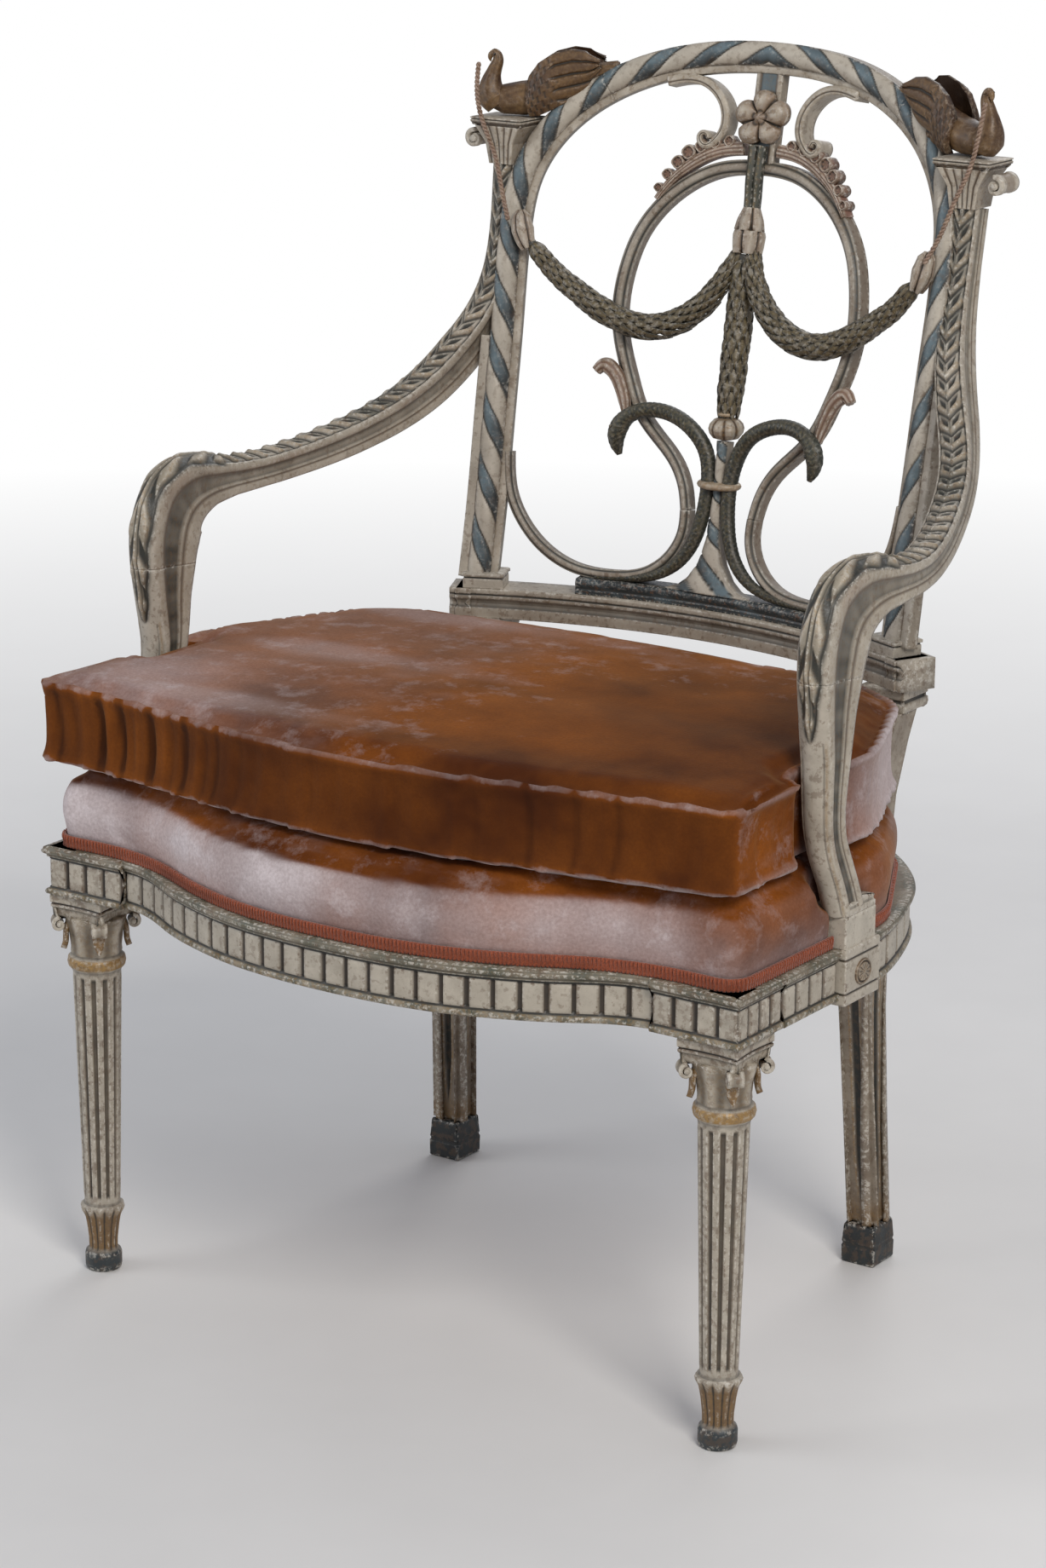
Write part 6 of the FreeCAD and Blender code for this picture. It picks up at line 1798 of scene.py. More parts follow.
@dataclass
class BackFrame:
    """The striped arch on its stiles, with strips, fillets, plinths and the cross rail."""
    foot_x: float = 195.5
    stile_x: float = 200.0
    spring_z: float = 800.0
    rise: float = 144.0
    power: float = 2.3
    band_face: float = 12.0
    band_width: float = 19.0
    band_depth: float = 17.0
    strip_width: float = 6.0
    board_top: float = 705.0
    cross_bottom: float = 475.0
    cross_top: float = 500.0
    cross_half: float = 218.0
    cross_end: float = 7.0
    shoe_half: float = 117.0
    shoe_top: float = 513.0
    places: int = 641

    def rows(self) -> list[tuple[float, float]]:
        """x and z of the band's middle from the right foot to the left one.

        Returns:
            Pairs of x and z.
        """
        points = [(self.foot_x, 508.0), (self.foot_x, 575.0), (self.stile_x - 3, 644.0), (self.stile_x - 1.5, 719.0)]
        for turn in (0, 12, 25, 38, 52, 68):
            angle = math.radians(turn)
            points.append((self.stile_x * math.cos(angle) ** (2 / self.power),
                           self.spring_z + self.rise * math.sin(angle) ** (2 / self.power)))
        points.append((0.0, self.spring_z + self.rise))
        return points + [(-x, z) for x, z in points[-2::-1]]

    def track(self) -> Track:
        """The whole band."""
        path = spline_through(BACK.lift(self.rows(), self.band_face), self.places)
        return Track.along(path, BACK.normal(path))

    def band(self, track: Track, run: Array, total: float) -> list[Skin]:
        """Band and inner strip over a stretch; run counts from the right foot.

        Args:
            track: the stretch's middle line.
            run: distance from the right foot at each place.
            total: length of the whole band.
        Returns:
            The skins.
        """
        def near(place: Array) -> Array:
            """Distance from the nearer foot at every place."""
            return np.repeat(np.minimum(run, total - run)[:, None], place.shape[1], 1)

        def face(_: Array, place: Array) -> Paint:
            """Stripes that mirror at the top of the arch."""
            return Stripes().paint(near(place), place)

        def inner(_: Array, place: Array) -> Paint:
            """The cream-grey strip with a dark line beside the band.

            Args:
                place: -1 to 1 across it.
            Returns:
                The height of the carving and its paint.
            """
            line = step(0.55, 0.8, place)
            tint = mix(CREAM_SHADE, CREAM, 0.5 + 0.4 * wobble(near(place) / 10.0, seed=11))
            tint = mix(tint, BLUE_GREY * 0.4, line)
            return Paint(-0.8 * line, tint, 0.1, 0.45)

        band = Bar(track, self.band_width, self.band_depth, face, crown=4.0, face_cols=25, side_cols=6,
                   side_tint=mix(CREAM_SHADE, BROWN * 0.7, 0.35), side_wear=0.6)
        strip = Bar(track, self.strip_width + 2, self.band_depth - 5.2, inner, crown=1.0, face_cols=9, side_cols=6,
                    aside=-self.band_width / 2 - self.strip_width / 2 + 1, sunk=5.0,
                    side_tint=mix(CREAM_SHADE, GREEN_GREY, 0.3), side_wear=0.5)
        return [band.skin(), strip.skin()]

    def board(self, track: Track) -> Skin:
        """The cream fillet outside the right stile.

        Args:
            track: the band's middle line beside it.
        Returns:
            The skin.
        """
        def face(run: Array, place: Array) -> Paint:
            """Cream with a brown line along the band."""
            line = step(-0.35, -0.6, place)
            return Paint(-0.6 * line, mix(cream(0.3 + 0.3 * wobble(run / 12.0, seed=12)),
                                          BROWN * 0.5, line), 0.0, 0.45)
        return Bar(track, 11.0, 11.5, face, crown=0.8, face_cols=11, side_cols=4, aside=12.0, sunk=4.9,
                   side_tint=CREAM_SHADE, side_wear=0.5).skin()

    @staticmethod
    def block_plan(x: float, y: float, half_width: float, half_depth: float) -> Plan:
        """The plan of a block at x and y that is turned with the bow of the back.

        Args:
            x: its middle across the chair.
            y: its middle from front to back.
            half_width: half its width.
            half_depth: half its depth.
        Returns:
            The plan.
        """
        angle = math.atan(-2 * BACK.bow * x / BACK.bow_half ** 2)
        along, deep = np.array([math.cos(angle), math.sin(angle)]), np.array([-math.sin(angle), math.cos(angle)])
        corners = [tuple(np.array([x, y]) + along * a * half_width + deep * d * half_depth) for a, d in CORNERS]
        return Plan.through(corners, 0.8, 1.5)

    def plinth(self) -> list[Skin]:
        """The block under the right stile, turned with the bow, with a cap moulding.

        Returns:
            The skins.
        """
        plan = self.block_plan(self.foot_x, 178.0, 17.0, 14.0)
        profile = ((500.0, 0.0), (501.0, 0.0), (508.0, 0.0), (508.6, -1.0), (509.4, -1.0), (510.0, 0.6), (512.2, 0.6),
                   (513.0, -0.4))

        def paint(z: Array, run: Array, points: Array, out: Array) -> Paint:
            """Cream with a dark line below the cap."""
            line = bump(z, 509.0, 1.1)
            return Paint(np.zeros_like(z), mix(cream(0.35), INK, line), 0.0, 0.5)
        return [Stack(plan, profile, paint).skin()]

    def bowed(self, half: float, front: Sequence[tuple[float, float]], forward: float, depth: float,
              carve: Callable[[Array, Array, Array], Paint], datum: float) -> Skin:
        """A moulding that follows the bow of the back between -half and half.

        Args:
            half: half its length.
            front: height and proudness of its front.
            forward: how far in front of the surface it lies.
            depth: how deep it is.
            carve: its carver.
            datum: height at which the surface is taken.
        Returns:
            The skin.
        """
        x = np.linspace(-half, half, max(int(half / 1.6), 40))
        y = BACK.y(x, datum) - forward
        track = level_track(np.column_stack([x, y]))
        return Moulded(track, outline_section(front, -depth), carve).skin()

    def cross_rail(self) -> list[Skin]:
        """The rail under the whole back: two fillets over a hollow that also run round its ends.

        Returns:
            The skins.
        """
        z0, z1 = self.cross_bottom, self.cross_top
        front = ((z0, -0.6), (z0 + 0.6, 0), (z0 + 9.0, 0), (z0 + 9.6, -1.0), (z0 + 10.4, -1.2), (z0 + 11.0, -2.0),
                 (z0 + 13.0, -2.6), (z0 + 15.0, -2.0), (z0 + 16.4, -0.6), (z0 + 17.0, 0), (z0 + 19.0, 0),
                 (z0 + 19.6, -0.9), (z0 + 20.4, -0.9), (z0 + 21.0, 0.0), (z1 - 0.6, 0), (z1, -0.8))
        forward, depth, datum = 12.0, 34.0, (z0 + z1) / 2

        def tone(run: Array, height: Array, shown: Array | float = 1.0) -> Paint:
            """Cream with dark lines in the hollow and under the top.

            Args:
                run: distances along it.
                height: heights in mm.
                shown: 1 where the dark lines show.
            Returns:
                The height of the carving and its paint.
            """
            dark = np.maximum(bump(height, z0 + 10.0, 1.7), bump(height, z0 + 20.0, 1.4))
            dark = np.maximum(dark, 0.35 * bump(height, z0 + 13.0, 3.0))
            tint = cream(0.45 + 0.4 * wobble(run / 21.0, height / 5.0, seed=13))
            tint = mix(tint, BROWN, 0.25 + 0.25 * wobble(run / 9.0, height / 3.0, seed=19))
            return Paint(np.zeros_like(run), mix(tint, INK, 0.85 * dark * shown), 0.05, 0.5)

        def swept(run: Array, height: Array, proud: Array) -> Paint:
            """The finish along the rail; its back stays plain."""
            return tone(run, height, proud > -5)

        def block(height: Array, run: Array, points: Array, out: Array) -> Paint:
            """The same finish round an end block."""
            return tone(run, height)
        skins = [self.bowed(self.cross_half - 3.0, front, forward, depth, swept, datum)]
        for side in (-1, 1):
            x = side * (self.cross_half - self.cross_end)
            y = float(BACK.y(np.array([x]), datum)[0]) - forward + depth / 2
            skins.append(Stack(self.block_plan(x, y, self.cross_end, depth / 2), front, block, 0.9).skin())
        return skins

    def shoe(self) -> Skin:
        """The dark marbled block that carries loops and spindle.

        Returns:
            The skin.
        """
        z0, z1 = self.cross_top, self.shoe_top
        front = ((z0, 0), (z0 + 4, 0), (z0 + 4.6, -0.8), (z0 + 5.4, -0.6), (z0 + 8, 0.3), (z0 + 10, 0.2),
                 (z1 - 1.6, -0.4), (z1, -2.0))

        def carve(run: Array, height: Array, proud: Array) -> Paint:
            """Blue-black with streaks and brown spots.

            Args:
                run: distances along the track.
                height: heights in mm.
                proud: how far the section stands out there.
            Returns:
                The height of the carving and its paint.
            """
            streak = step(0.1, 0.7, wobble(run / 7.0 + height / 3.0, run / 17.0, seed=14))
            tint = mix(mix(INK * 0.8, BLUE_GREY * 0.3, 0.5), BLUE_GREY * 0.8, 0.5 * streak)
            return Paint(np.zeros_like(run), tint, 0.0, 0.45)
        return self.bowed(self.shoe_half, front, 10.0, 22.0, carve, (z0 + z1) / 2)

    def build(self, palette: Palette) -> None:
        """Make the whole frame of the back.

        Args:
            palette: the finishes.
        """
        track = self.track()
        total = track.run[-1]
        spring = int(round((self.places - 1) * 15 / 40))
        top_board = int(np.argmax(track.path[:, 2] > self.board_top))
        stile = self.band(track.part(0, spring), track.run[:spring + 1], total)
        stile += [self.board(track.part(0, top_board))] + self.plinth()
        place_pairs(("stile_{}_skin", "stile", stile, palette.cream, "cream_paint"))
        last = self.places - 1 - spring
        crest = self.band(track.part(spring, last), track.run[spring:last + 1], total)
        place(skin_to_mesh("crest_skin", crest), palette.cream, ["crest_arch"], "cream_paint")
        place(skin_to_mesh("cross_rail_skin", self.cross_rail()), palette.cream, ["cross_rail"], "cream_paint")
        place(skin_to_mesh("shoe_skin", [self.shoe()]), palette.marble, ["shoe_block"], "blue_paint")


def reeded(run: Array, place: Array) -> Paint:
    """Three reeds with dark quirks, for the oval and the loops.

    Args:
        run: distances along the bar in mm.
        place: -1 to 1 across its face.
    Returns:
        The height of the carving and its paint.
    """
    quirk = hill(np.abs(place), 0.62, 0.19)
    rim = step(0.86, 0.98, np.abs(place))
    mottled = 0.5 + 0.5 * wobble(run / 12.0, place * 2.0, seed=15)
    tint = mix(mix(CREAM, mix(CREAM_SHADE, BROWN, 0.35), mottled), mix(DARK_GREEN, BLUE_GREY * 0.4, 0.5) * 0.7, quirk)
    tint = mix(tint, mix(BLUE_GREY, CREAM_SHADE, 0.5), 0.7 * rim)
    height = 0.7 * np.cos(place * math.pi / 1.2) - 1.1 * quirk + 0.3 * rim
    return Paint(height, tint, 0.1 * quirk, 0.5)


@dataclass
class Tracery:
    """The oval and its lower loops."""
    half_width: float = 109.5
    top_z: float = 854.0
    pinch_z: float = 577.0
    face: float = 7.5
    width: float = 12.0
    loop_width: float = 9.0
    curve: tuple = ((0.0, 1.0), (0.31, 0.987), (0.53, 0.95), (0.735, 0.885), (0.895, 0.794), (0.98, 0.68),
                    (1.0, 0.588), (0.96, 0.475), (0.86, 0.365), (0.745, 0.27), (0.6, 0.205), (0.43, 0.137),
                    (0.325, 0.06), (0.29, 0.0))
    loop: tuple = ((0.0, 1.0), (0.0, 0.72), (0.06, 0.36), (0.2, 0.08), (0.38, 0.0), (0.58, 0.05), (0.75, 0.27),
                   (0.88, 0.62), (0.965, 1.05), (1.0, 1.6))
    wall_x: float = 185.5

    def oval_rows(self) -> list[tuple[float, float]]:
        """x and z of the right half of the oval, from the top to the pinch."""
        rise = self.top_z - self.pinch_z
        return [(self.half_width * u, self.pinch_z + rise * v) for u, v in self.curve]

    def loop_rows(self) -> list[tuple[float, float]]:
        """x and z of the right loop, from the pinch round to the stile.

        Returns:
            Pairs of x and z.
        """
        pinch_x = self.half_width * self.curve[-1][0]
        bottom = 513.0 + self.loop_width / 2 + 0.15
        return [(pinch_x + (self.wall_x - pinch_x) * u, bottom + (self.pinch_z - bottom) * v) for u, v in self.loop]

    def build(self, palette: Palette) -> None:
        """Make both halves of the oval and both loops.

        Args:
            palette: the finishes.
        """
        oval = back_track(self.oval_rows(), self.face, 1.6)
        t = np.linspace(0, 1, len(oval.path))
        width = np.interp(t, (0, 0.5, 1), (self.width, self.width, self.loop_width))
        oval_bar = Bar(oval, width, np.interp(t, (0, 1), (15, 14)), reeded, crown=3.4, side_tint=mix(
            CREAM_SHADE, BROWN * 0.7, 0.4), side_wear=0.6).skin()
        loop = back_track(self.loop_rows(), self.face, 1.6)
        loop_bar = Bar(loop, self.loop_width, 14.0, reeded, crown=3.0, side_tint=mix(CREAM_SHADE, BROWN * 0.7, 0.4),
                       side_wear=0.6).skin()
        place_pairs(("oval_{}_skin", "oval_side", [oval_bar], palette.cream, "cream_paint"),
                    ("loop_{}_skin", "lower_loop", [loop_bar], palette.cream, "cream_paint"))


def scales(run: Array, place: Array, pitch: float = 4.2) -> tuple[Array, Array]:
    """Overlapping scales: their height and the dark seams between them.

    Args:
        run: distances along the body in mm.
        place: angles round it.
        pitch: length of a scale in mm.
    Returns:
        The height and the seams.
    """
    column = place * 8 / math.pi / 2 * 1.6
    f = run / pitch + 0.5 * (np.floor(column) % 2)
    f = f - np.floor(f)
    c = column - np.floor(column) - 0.5
    arc = f - 1.6 * c ** 2
    arc = arc - np.floor(arc)
    seam = np.exp(-(np.minimum(arc, 1 - arc) / 0.12) ** 2)
    return 0.6 * arc - 0.4 * seam, seam


@dataclass
class Snakes:
    """Two dark snakes: tails on the shoe, necks crossed over the oval, heads outside it."""
    ring_z: float = 601.0
    near: float = 10.4
    over: float = 13.9

    def rows(self) -> tuple[list[tuple[float, float]], list[float]]:
        """x, z and how far forward the right-hand snake runs.

        Returns:
            Pairs of x and z, and how far forward each lies.
        """
        bottom = 514.65
        rise = self.ring_z - bottom
        near, over, ring = self.near, self.over, self.ring_z
        rows = [(104, bottom, 5), (82, bottom + 1, 5), (60, bottom + 4, 7), (40, bottom + rise * 0.14, 9),
                (near + 11, bottom + rise * 0.36, 9), (near + 2, bottom + rise * 0.68, 9), (near, ring, 9),
                (near + 6, ring + 27, 10), (near + 20, ring + 44, over), (near + 40, ring + 53, over),
                (near + 61, ring + 54, over + 1), (near + 79, ring + 44, over + 1), (near + 84, ring + 30, over),
                (near + 80, ring + 16, over - 1)]
        return [(x, z) for x, z, _ in rows], [f for _, _, f in rows]

    def paint(self, run: Array, place: Array) -> Paint:
        """Dark green scales with gold rubbed on top and a paler belly line.

        Args:
            run: distances along it in mm.
            place: angles round it, 0 at the front.
        Returns:
            The height of the carving and its paint.
        """
        height, seam = scales(run, place)
        top = step(1.5, 0.3, np.abs(place))
        tint = mix(mix(DARK_GREEN * 0.7, GREEN_GREY * 0.8, 0.3 + 0.4 * wobble(run / 11.0, place, seed=16)), INK * 0.6,
                   0.7 * seam)
        stripe = hill(np.abs(place), 0.75, 0.18)
        tint = mix(tint, CREAM_SHADE * 0.8, 0.25 * stripe)
        return Paint(height * 0.8, tint, 0.25 * top * (1 - seam), 0.3)

    def build(self, palette: Palette) -> None:
        """Make both snakes.

        Args:
            palette: the finishes.
        """
        flat, forward = self.rows()
        points = BACK.lift(flat, forward)
        path = spline_through(points, 260)
        track = Track.along(path, BACK.normal(path))
        t = np.linspace(0, 1, len(path))
        marks = (0, 0.09, 0.18, 0.27, 0.6, 0.82, 0.875, 0.915, 0.945, 0.975, 1.0)
        wide = np.interp(t, marks, (1.6, 2.6, 3.8, 5.2, 6.2, 6.0, 6.2, 7.8, 7.6, 5.4, 2.0))
        deep = np.interp(t, marks, (1.8, 2.8, 3.9, 5.2, 6.3, 5.8, 5.8, 6.2, 5.6, 3.8, 1.8))
        skin = Rope(track, wide, deep, self.paint, 36).skin()
        k = int(0.925 * len(path))
        eyes = [ball(path[k] + track.across[k] * side * 5.6 + track.out[k] * 4.4, 1.5, INK) for side in (-1, 1)]
        place_pairs(("snake_{}_skin", "snake", [skin] + eyes, palette.bronze, "green_bronzed_carving"))


def ball(centre: Array, radius: float, tint: Array, cols: int = 16) -> Skin:
    """A small ball.

    Args:
        centre: its middle in mm.
        radius: its radius.
        tint: its colour.
        cols: points round it.
    Returns:
        The skin.
    """
    t = np.linspace(0.02, math.pi - 0.02, cols // 2 + 1)[:, None]
    turn = circle(cols)[None, :]
    shape = np.stack(np.broadcast_arrays(np.sin(t) * np.cos(turn), np.sin(t) * np.sin(turn), np.cos(t)), axis=-1)
    return Skin(np.asarray(centre) + shape * radius, tint, 0.3, 0.3)


def leafy_rope(name: str, track: Track, radius: Array, palette: Material, leaf: Leaf, pitch: float,
               length: float, core: Array, columns: int = 7, spread: float = 2.2, tilt: float = 0.1,
               forward: float = 1.0) -> Mesh:
    """A garland: a dark core covered with leaves that all point the same way.

    Args:
        name: name of the mesh.
        track: its middle line.
        radius: its radius at each place, leaves included.
        palette: its finish.
        leaf: the shape of one leaf.
        pitch: distance between rings of leaves.
        length: length of a leaf.
        core: tint of the core.
        columns: leaves in each ring.
        spread: how far round the rope the leaves go, to each side, in radians.
        tilt: how far the leaves stand out.
        forward: 1 when leaves point along the track, -1 when against it.
    Returns:
        The finished mesh.
    """
    radius = full(radius, (len(track.path),))
    body = Rope(track, radius * 0.78, radius * 0.78, plain(core, 0.2, 0.1), 16).skin()
    run = track.run
    points, ahead, outs, sizes = [], [], [], []
    rings = max(int(run[-1] / pitch), 2)
    for ring in range(rings):
        s = (ring + 0.5) * pitch
        k = int(np.clip(np.searchsorted(run, s), 1, len(run) - 1))
        tangent = track.path[k] - track.path[k - 1]
        tangent = forward * tangent / np.linalg.norm(tangent)
        for column in range(columns):
            angle = spread * (2 * (column + 0.5 * (ring % 2)) / (columns - 0.5) - 1)
            out = track.across[k] * math.sin(angle) + track.out[k] * math.cos(angle)
            points.append(track.path[k] + out * radius[k] * 0.74)
            ahead.append(tangent + out * tilt)
            outs.append(out)
            k_size = length * (0.55 + 0.45 * radius[k] / radius.max())
            sizes.append((k_size, k_size, k_size))
    leaves = Spread("leaf_spread").mesh(name + "_leaves", np.array(points), euler_of(np.array(ahead), np.array(outs)),
                                        np.array(sizes), leaf.mesh(name + "_leaf"), palette)
    return joined_mesh(name, [skin_to_mesh(name, [body]), leaves])


GREEN_LEAF = Leaf(mix(DARK_GREEN, INK, 0.3) * 0.7, mix(GOLD, GREEN_GREY, 0.6) * 0.75, width=0.34)


def lobed(count: int, depth: float, length: float, tiers: int = 1) -> Carver:
    """Leaves that clasp a bud: rounded lobes with dark clefts and drawn-in tips.

    Args:
        count: how many leaves there are.
        depth: depth of the clefts.
        length: length of the whole bud.
        tiers: rows of leaves, one over the other.
    Returns:
        The carver.
    """
    def carve(run: Array, place: Array) -> Paint:
        """Height and paint of the lobes.

        Args:
            run: distances along it in mm.
            place: angles round it, 0 at the front.
        Returns:
            The height of the carving and its paint.
        """
        share = run / length * tiers
        tier = np.minimum(np.floor(share), tiers - 1)
        wave = np.abs(np.cos(place * count / 2 + tier * math.pi / 2))
        cleft = step(0.42, 0.05, wave)
        end = share - tier
        tip = step(0.6, 1.0, end) * (1.15 - wave)
        vein = step(0.93, 1.0, wave)
        tint = mix(mix(CREAM_SHADE, ROSE, 0.4), CREAM, 0.7 * wave)
        tint = mix(mix(tint, BROWN * 0.4, np.maximum(0.9 * cleft, step(0.3, 0.8, tip))), CREAM, 0.5 * vein)
        return Paint(depth * (0.4 * wave + 0.3 * end - cleft - 1.1 * tip) + 0.4 * vein, tint, 0.15, 0.5)
    return carve


@dataclass
class Garlands:
    """Laurel swags, their husk knobs and the drop in the middle with its bell husk."""
    middle: float = 17.0
    end: float = 8.0
    face: float = 7.5
    centre_forward: float = 8.0
    rows: tuple = ((182, 786), (163, 765), (138, 746), (110, 730), (81, 723), (54, 728), (31, 744), (16, 765),
                   (9, 780))

    def swag_track(self) -> tuple[Track, Array]:
        """The right swag's middle line and radius.

        Returns:
            The track and the radius at each place.
        """
        near = self.face + self.middle / 2 + 0.15
        forward = (17.0, near, near + 1, near + 1, near + 1, near + 1, near, 14.0, 10.0)
        path = spline_through(BACK.lift(self.rows, forward), 140)
        track = Track.along(path, BACK.normal(path))
        t = np.linspace(0, 1, len(path))
        m, e = self.middle / 2, self.end / 2
        return track, np.interp(t, np.linspace(0, 1, 7), (e + 1.2, m * 0.8, m, m, m, m * 0.8, e))

    def build(self, palette: Palette) -> None:
        """Make the garlands.

        Args:
            palette: the finishes.
        """
        track, radius = self.swag_track()
        for name, way in zip(SIDES, (1.0, -1.0)):
            turn = np.array([way, 1.0, 1.0])
            here = Track(track.path * turn, track.across * turn, track.out * turn)
            mesh = leafy_rope(f"swag_{name}_skin", here, radius, palette.bronze, GREEN_LEAF, 7.4, 19.0, INK, 7)
            place(mesh, palette.bronze, [f"swag_{name}"], "green_bronzed_carving")
            rows = [(191, 810), (189, 799), (186, 789), (182, 779)]
            knob = back_track([(x * way, z) for x, z in rows], 16.5, 0.8)
            size = np.interp(np.linspace(0, 1, len(knob.path)), (0, 0.15, 0.5, 0.85, 1), (2.5, 7.0, 8.6, 6.8, 5.0))
            bud = Rope(knob, size, size, lobed(5, 1.5, knob.run[-1]), 60).skin()
            place(skin_to_mesh(f"garland_knob_{name}_skin", [bud]), palette.rose, [f"garland_knob_{name}"],
                  "gilt_carving")
        drop = back_track([(0, 785), (0, 745), (0, 700), (0, 662)], self.centre_forward, 1.2)
        t = np.linspace(0, 1, len(drop.path))
        size = np.interp(t, (0, 0.3, 0.6, 0.8, 0.93, 1), (8.6, 9.0, 8.8, 8.4, 6.6, 3.4))
        mesh = leafy_rope("laurel_drop_skin", drop, size, palette.bronze, GREEN_LEAF, 8.4, 22.0, INK, 8, 3.0, 0.08)
        place(mesh, palette.bronze, ["laurel_drop"], "green_bronzed_carving")
        husk = back_track([(0, 822), (0, 812), (0, 800), (0, 785.4)], self.centre_forward, 0.8)
        size = np.interp(np.linspace(0, 1, len(husk.path)), (0, 0.25, 0.6, 1), (6.0, 9.5, 12.5, 11.0))
        bell = Rope(husk, size, size, lobed(5, 2.2, husk.run[-1], 2), 80).skin()
        place(skin_to_mesh("bell_husk_skin", [bell]), palette.rose, ["bell_husk"], "gilt_carving")


@dataclass
class CentrePost:
    """The flared spindle between the snakes, its band, and the carved ball with its collar."""
    ring_z: float = 601.0
    ball_z: float = 646.0
    flare: float = 42.0
    waist: float = 4.0

    def spindle(self) -> Skin:
        """The flat striped spindle.

        Returns:
            The skin.
        """
        z = np.linspace(513, 637, 110)
        t = (z - 513) / 124
        half = np.interp(t, (0, 0.04, 0.1, 0.2, 0.35, 0.6, 0.8, 1), (self.flare, self.flare * 0.66, self.flare * 0.45,
                                                                     self.flare * 0.26, self.flare * 0.14,
                                                                     self.waist, self.waist, self.waist + 1))
        path = BACK.lift([(0, v) for v in z], 5 + 3 * t + 6.5)
        track = Track.along(path, np.tile([0.0, -1.0, 0.0], (len(z), 1)))

        def face(run: Array, place: Array) -> Paint:
            """Slanting blue and cream stripes."""
            across = place * half[:, None]
            return Stripes(pitch=34.0, slope=0.0).paint(run + 0.9 * across, place)
        return Bar(track, 2 * half, 13.0, face, crown=3.0, side_tint=CREAM_SHADE).skin()

    def ring(self) -> Skin:
        """The band round snakes and spindle.

        Returns:
            The skin.
        """
        centre = BACK.lift([(0, self.ring_z)], 9)[0]
        profile = ((0.2, -2.4), (0.94, -2.5), (1.0, -1.6), (1.04, 0.0), (1.0, 1.6), (0.94, 2.5), (0.2, 2.4))
        rows = [[centre + np.array([19 * r * math.cos(a), 13 * r * math.sin(a), z]) for a in circle(56)]
                for r, z in profile]
        return Skin(np.array(rows), mix(CREAM, GOLD, 0.35), 0.5, 0.5)

    def knob(self) -> list[Skin]:
        """The ball carved with leaves and the collar above it.

        Returns:
            The skins.
        """
        centre = BACK.lift([(0, self.ball_z)], 8)[0]
        profile = ((1.0, -9), (6, -8.8), (10.5, -7.4), (13.6, -3.5), (14.5, 0.5), (13.4, 4.2), (10.6, 7.2), (7.0, 8.9),
                   (5.2, 9.4), (5.4, 10.4), (7.2, 11.2), (7.4, 13), (5.2, 14), (4.8, 16.2), (1, 16.4))

        def carve(z: Array, place: Array) -> Paint:
            """Eight leaves rising over the ball, a plain collar above.

            Args:
                z: heights in mm.
                place: angles round the axis.
            Returns:
                The height of the carving and its paint.
            """
            k = z - centre[2]
            on = step(-9, -7, k) * step(9, 7, k)
            wave = np.abs(np.cos(place * 4))
            tip = step(7.5, 3.0, k - 5 * wave)
            leaf = on * wave ** 0.6 * tip
            tint = mix(mix(BROWN, CREAM_SHADE, 0.45), CREAM, leaf)
            tint = mix(tint, BROWN * 0.5, on * step(0.45, 0.1, wave))
            tint = mix(tint, mix(GOLD, CREAM, 0.4), step(9.4, 10, k))
            return Paint(1.4 * leaf - 0.9 * on, tint, 0.35, 0.6)
        moved = [(r, centre[2] + z) for r, z in profile]
        return [Turned((centre[0], centre[1]), moved, carve, cols=72, spacing=0.9).skin()]

    def build(self, palette: Palette) -> None:
        """Make the post.

        Args:
            palette: the finishes.
        """
        place(skin_to_mesh("spindle_skin", [self.spindle()]), palette.cream, ["centre_spindle"], "cream_paint")
        place(skin_to_mesh("spindle_band_skin", [self.ring()]), palette.gilt, ["spindle_band"], "gilt_carving")
        place(skin_to_mesh("neck_ball_skin", self.knob()), palette.gilt, ["neck_ball"], "gilt_carving")


@dataclass
class Disc:
    """A carved disc that faces out of the back; rim gives its outline and carve its relief."""
    x: float
    z: float
    forward: float
    radius: float
    thickness: float
    rim: Callable[[Array], Array]
    carve: Callable[[Array, Array], Paint]
    rings: int = 30
    cols: int = 96

    def skin(self) -> Skin:
        """The disc's closed surface.

        Returns:
            The skin.
        """
        centre = BACK.lift([(self.x, self.z)], self.forward)[0]
        out = BACK.normal(centre[None])[0]
        across = np.cross(UP, out)
        across /= np.linalg.norm(across)
        up = np.cross(out, across)
        share, turn = np.meshgrid(np.linspace(1, 0.02, self.rings), circle(self.cols), indexing="ij")
        paint = self.carve(share, turn)
        reach = self.radius * share * self.rim(turn)
        lift = self.thickness + full(paint.height, share.shape)
        face = (centre + across * (reach * np.cos(turn))[..., None] + up * (reach * np.sin(turn))[..., None]
                + out * lift[..., None])
        back = centre + (face[:1] - centre) - out * (lift[:1, :, None])
        tint = full(paint.tint, share.shape + (3,))
        gilt = full(paint.gilt, share.shape)
        wear = full(paint.wear, share.shape)
        # Painted shade: the side wall is a darker copy of the rim's colour.
        return Skin(np.concatenate([back, face]), np.concatenate([tint[:1] * 0.7, tint]),
                    np.concatenate([gilt[:1], gilt]), np.concatenate([wear[:1], wear]))


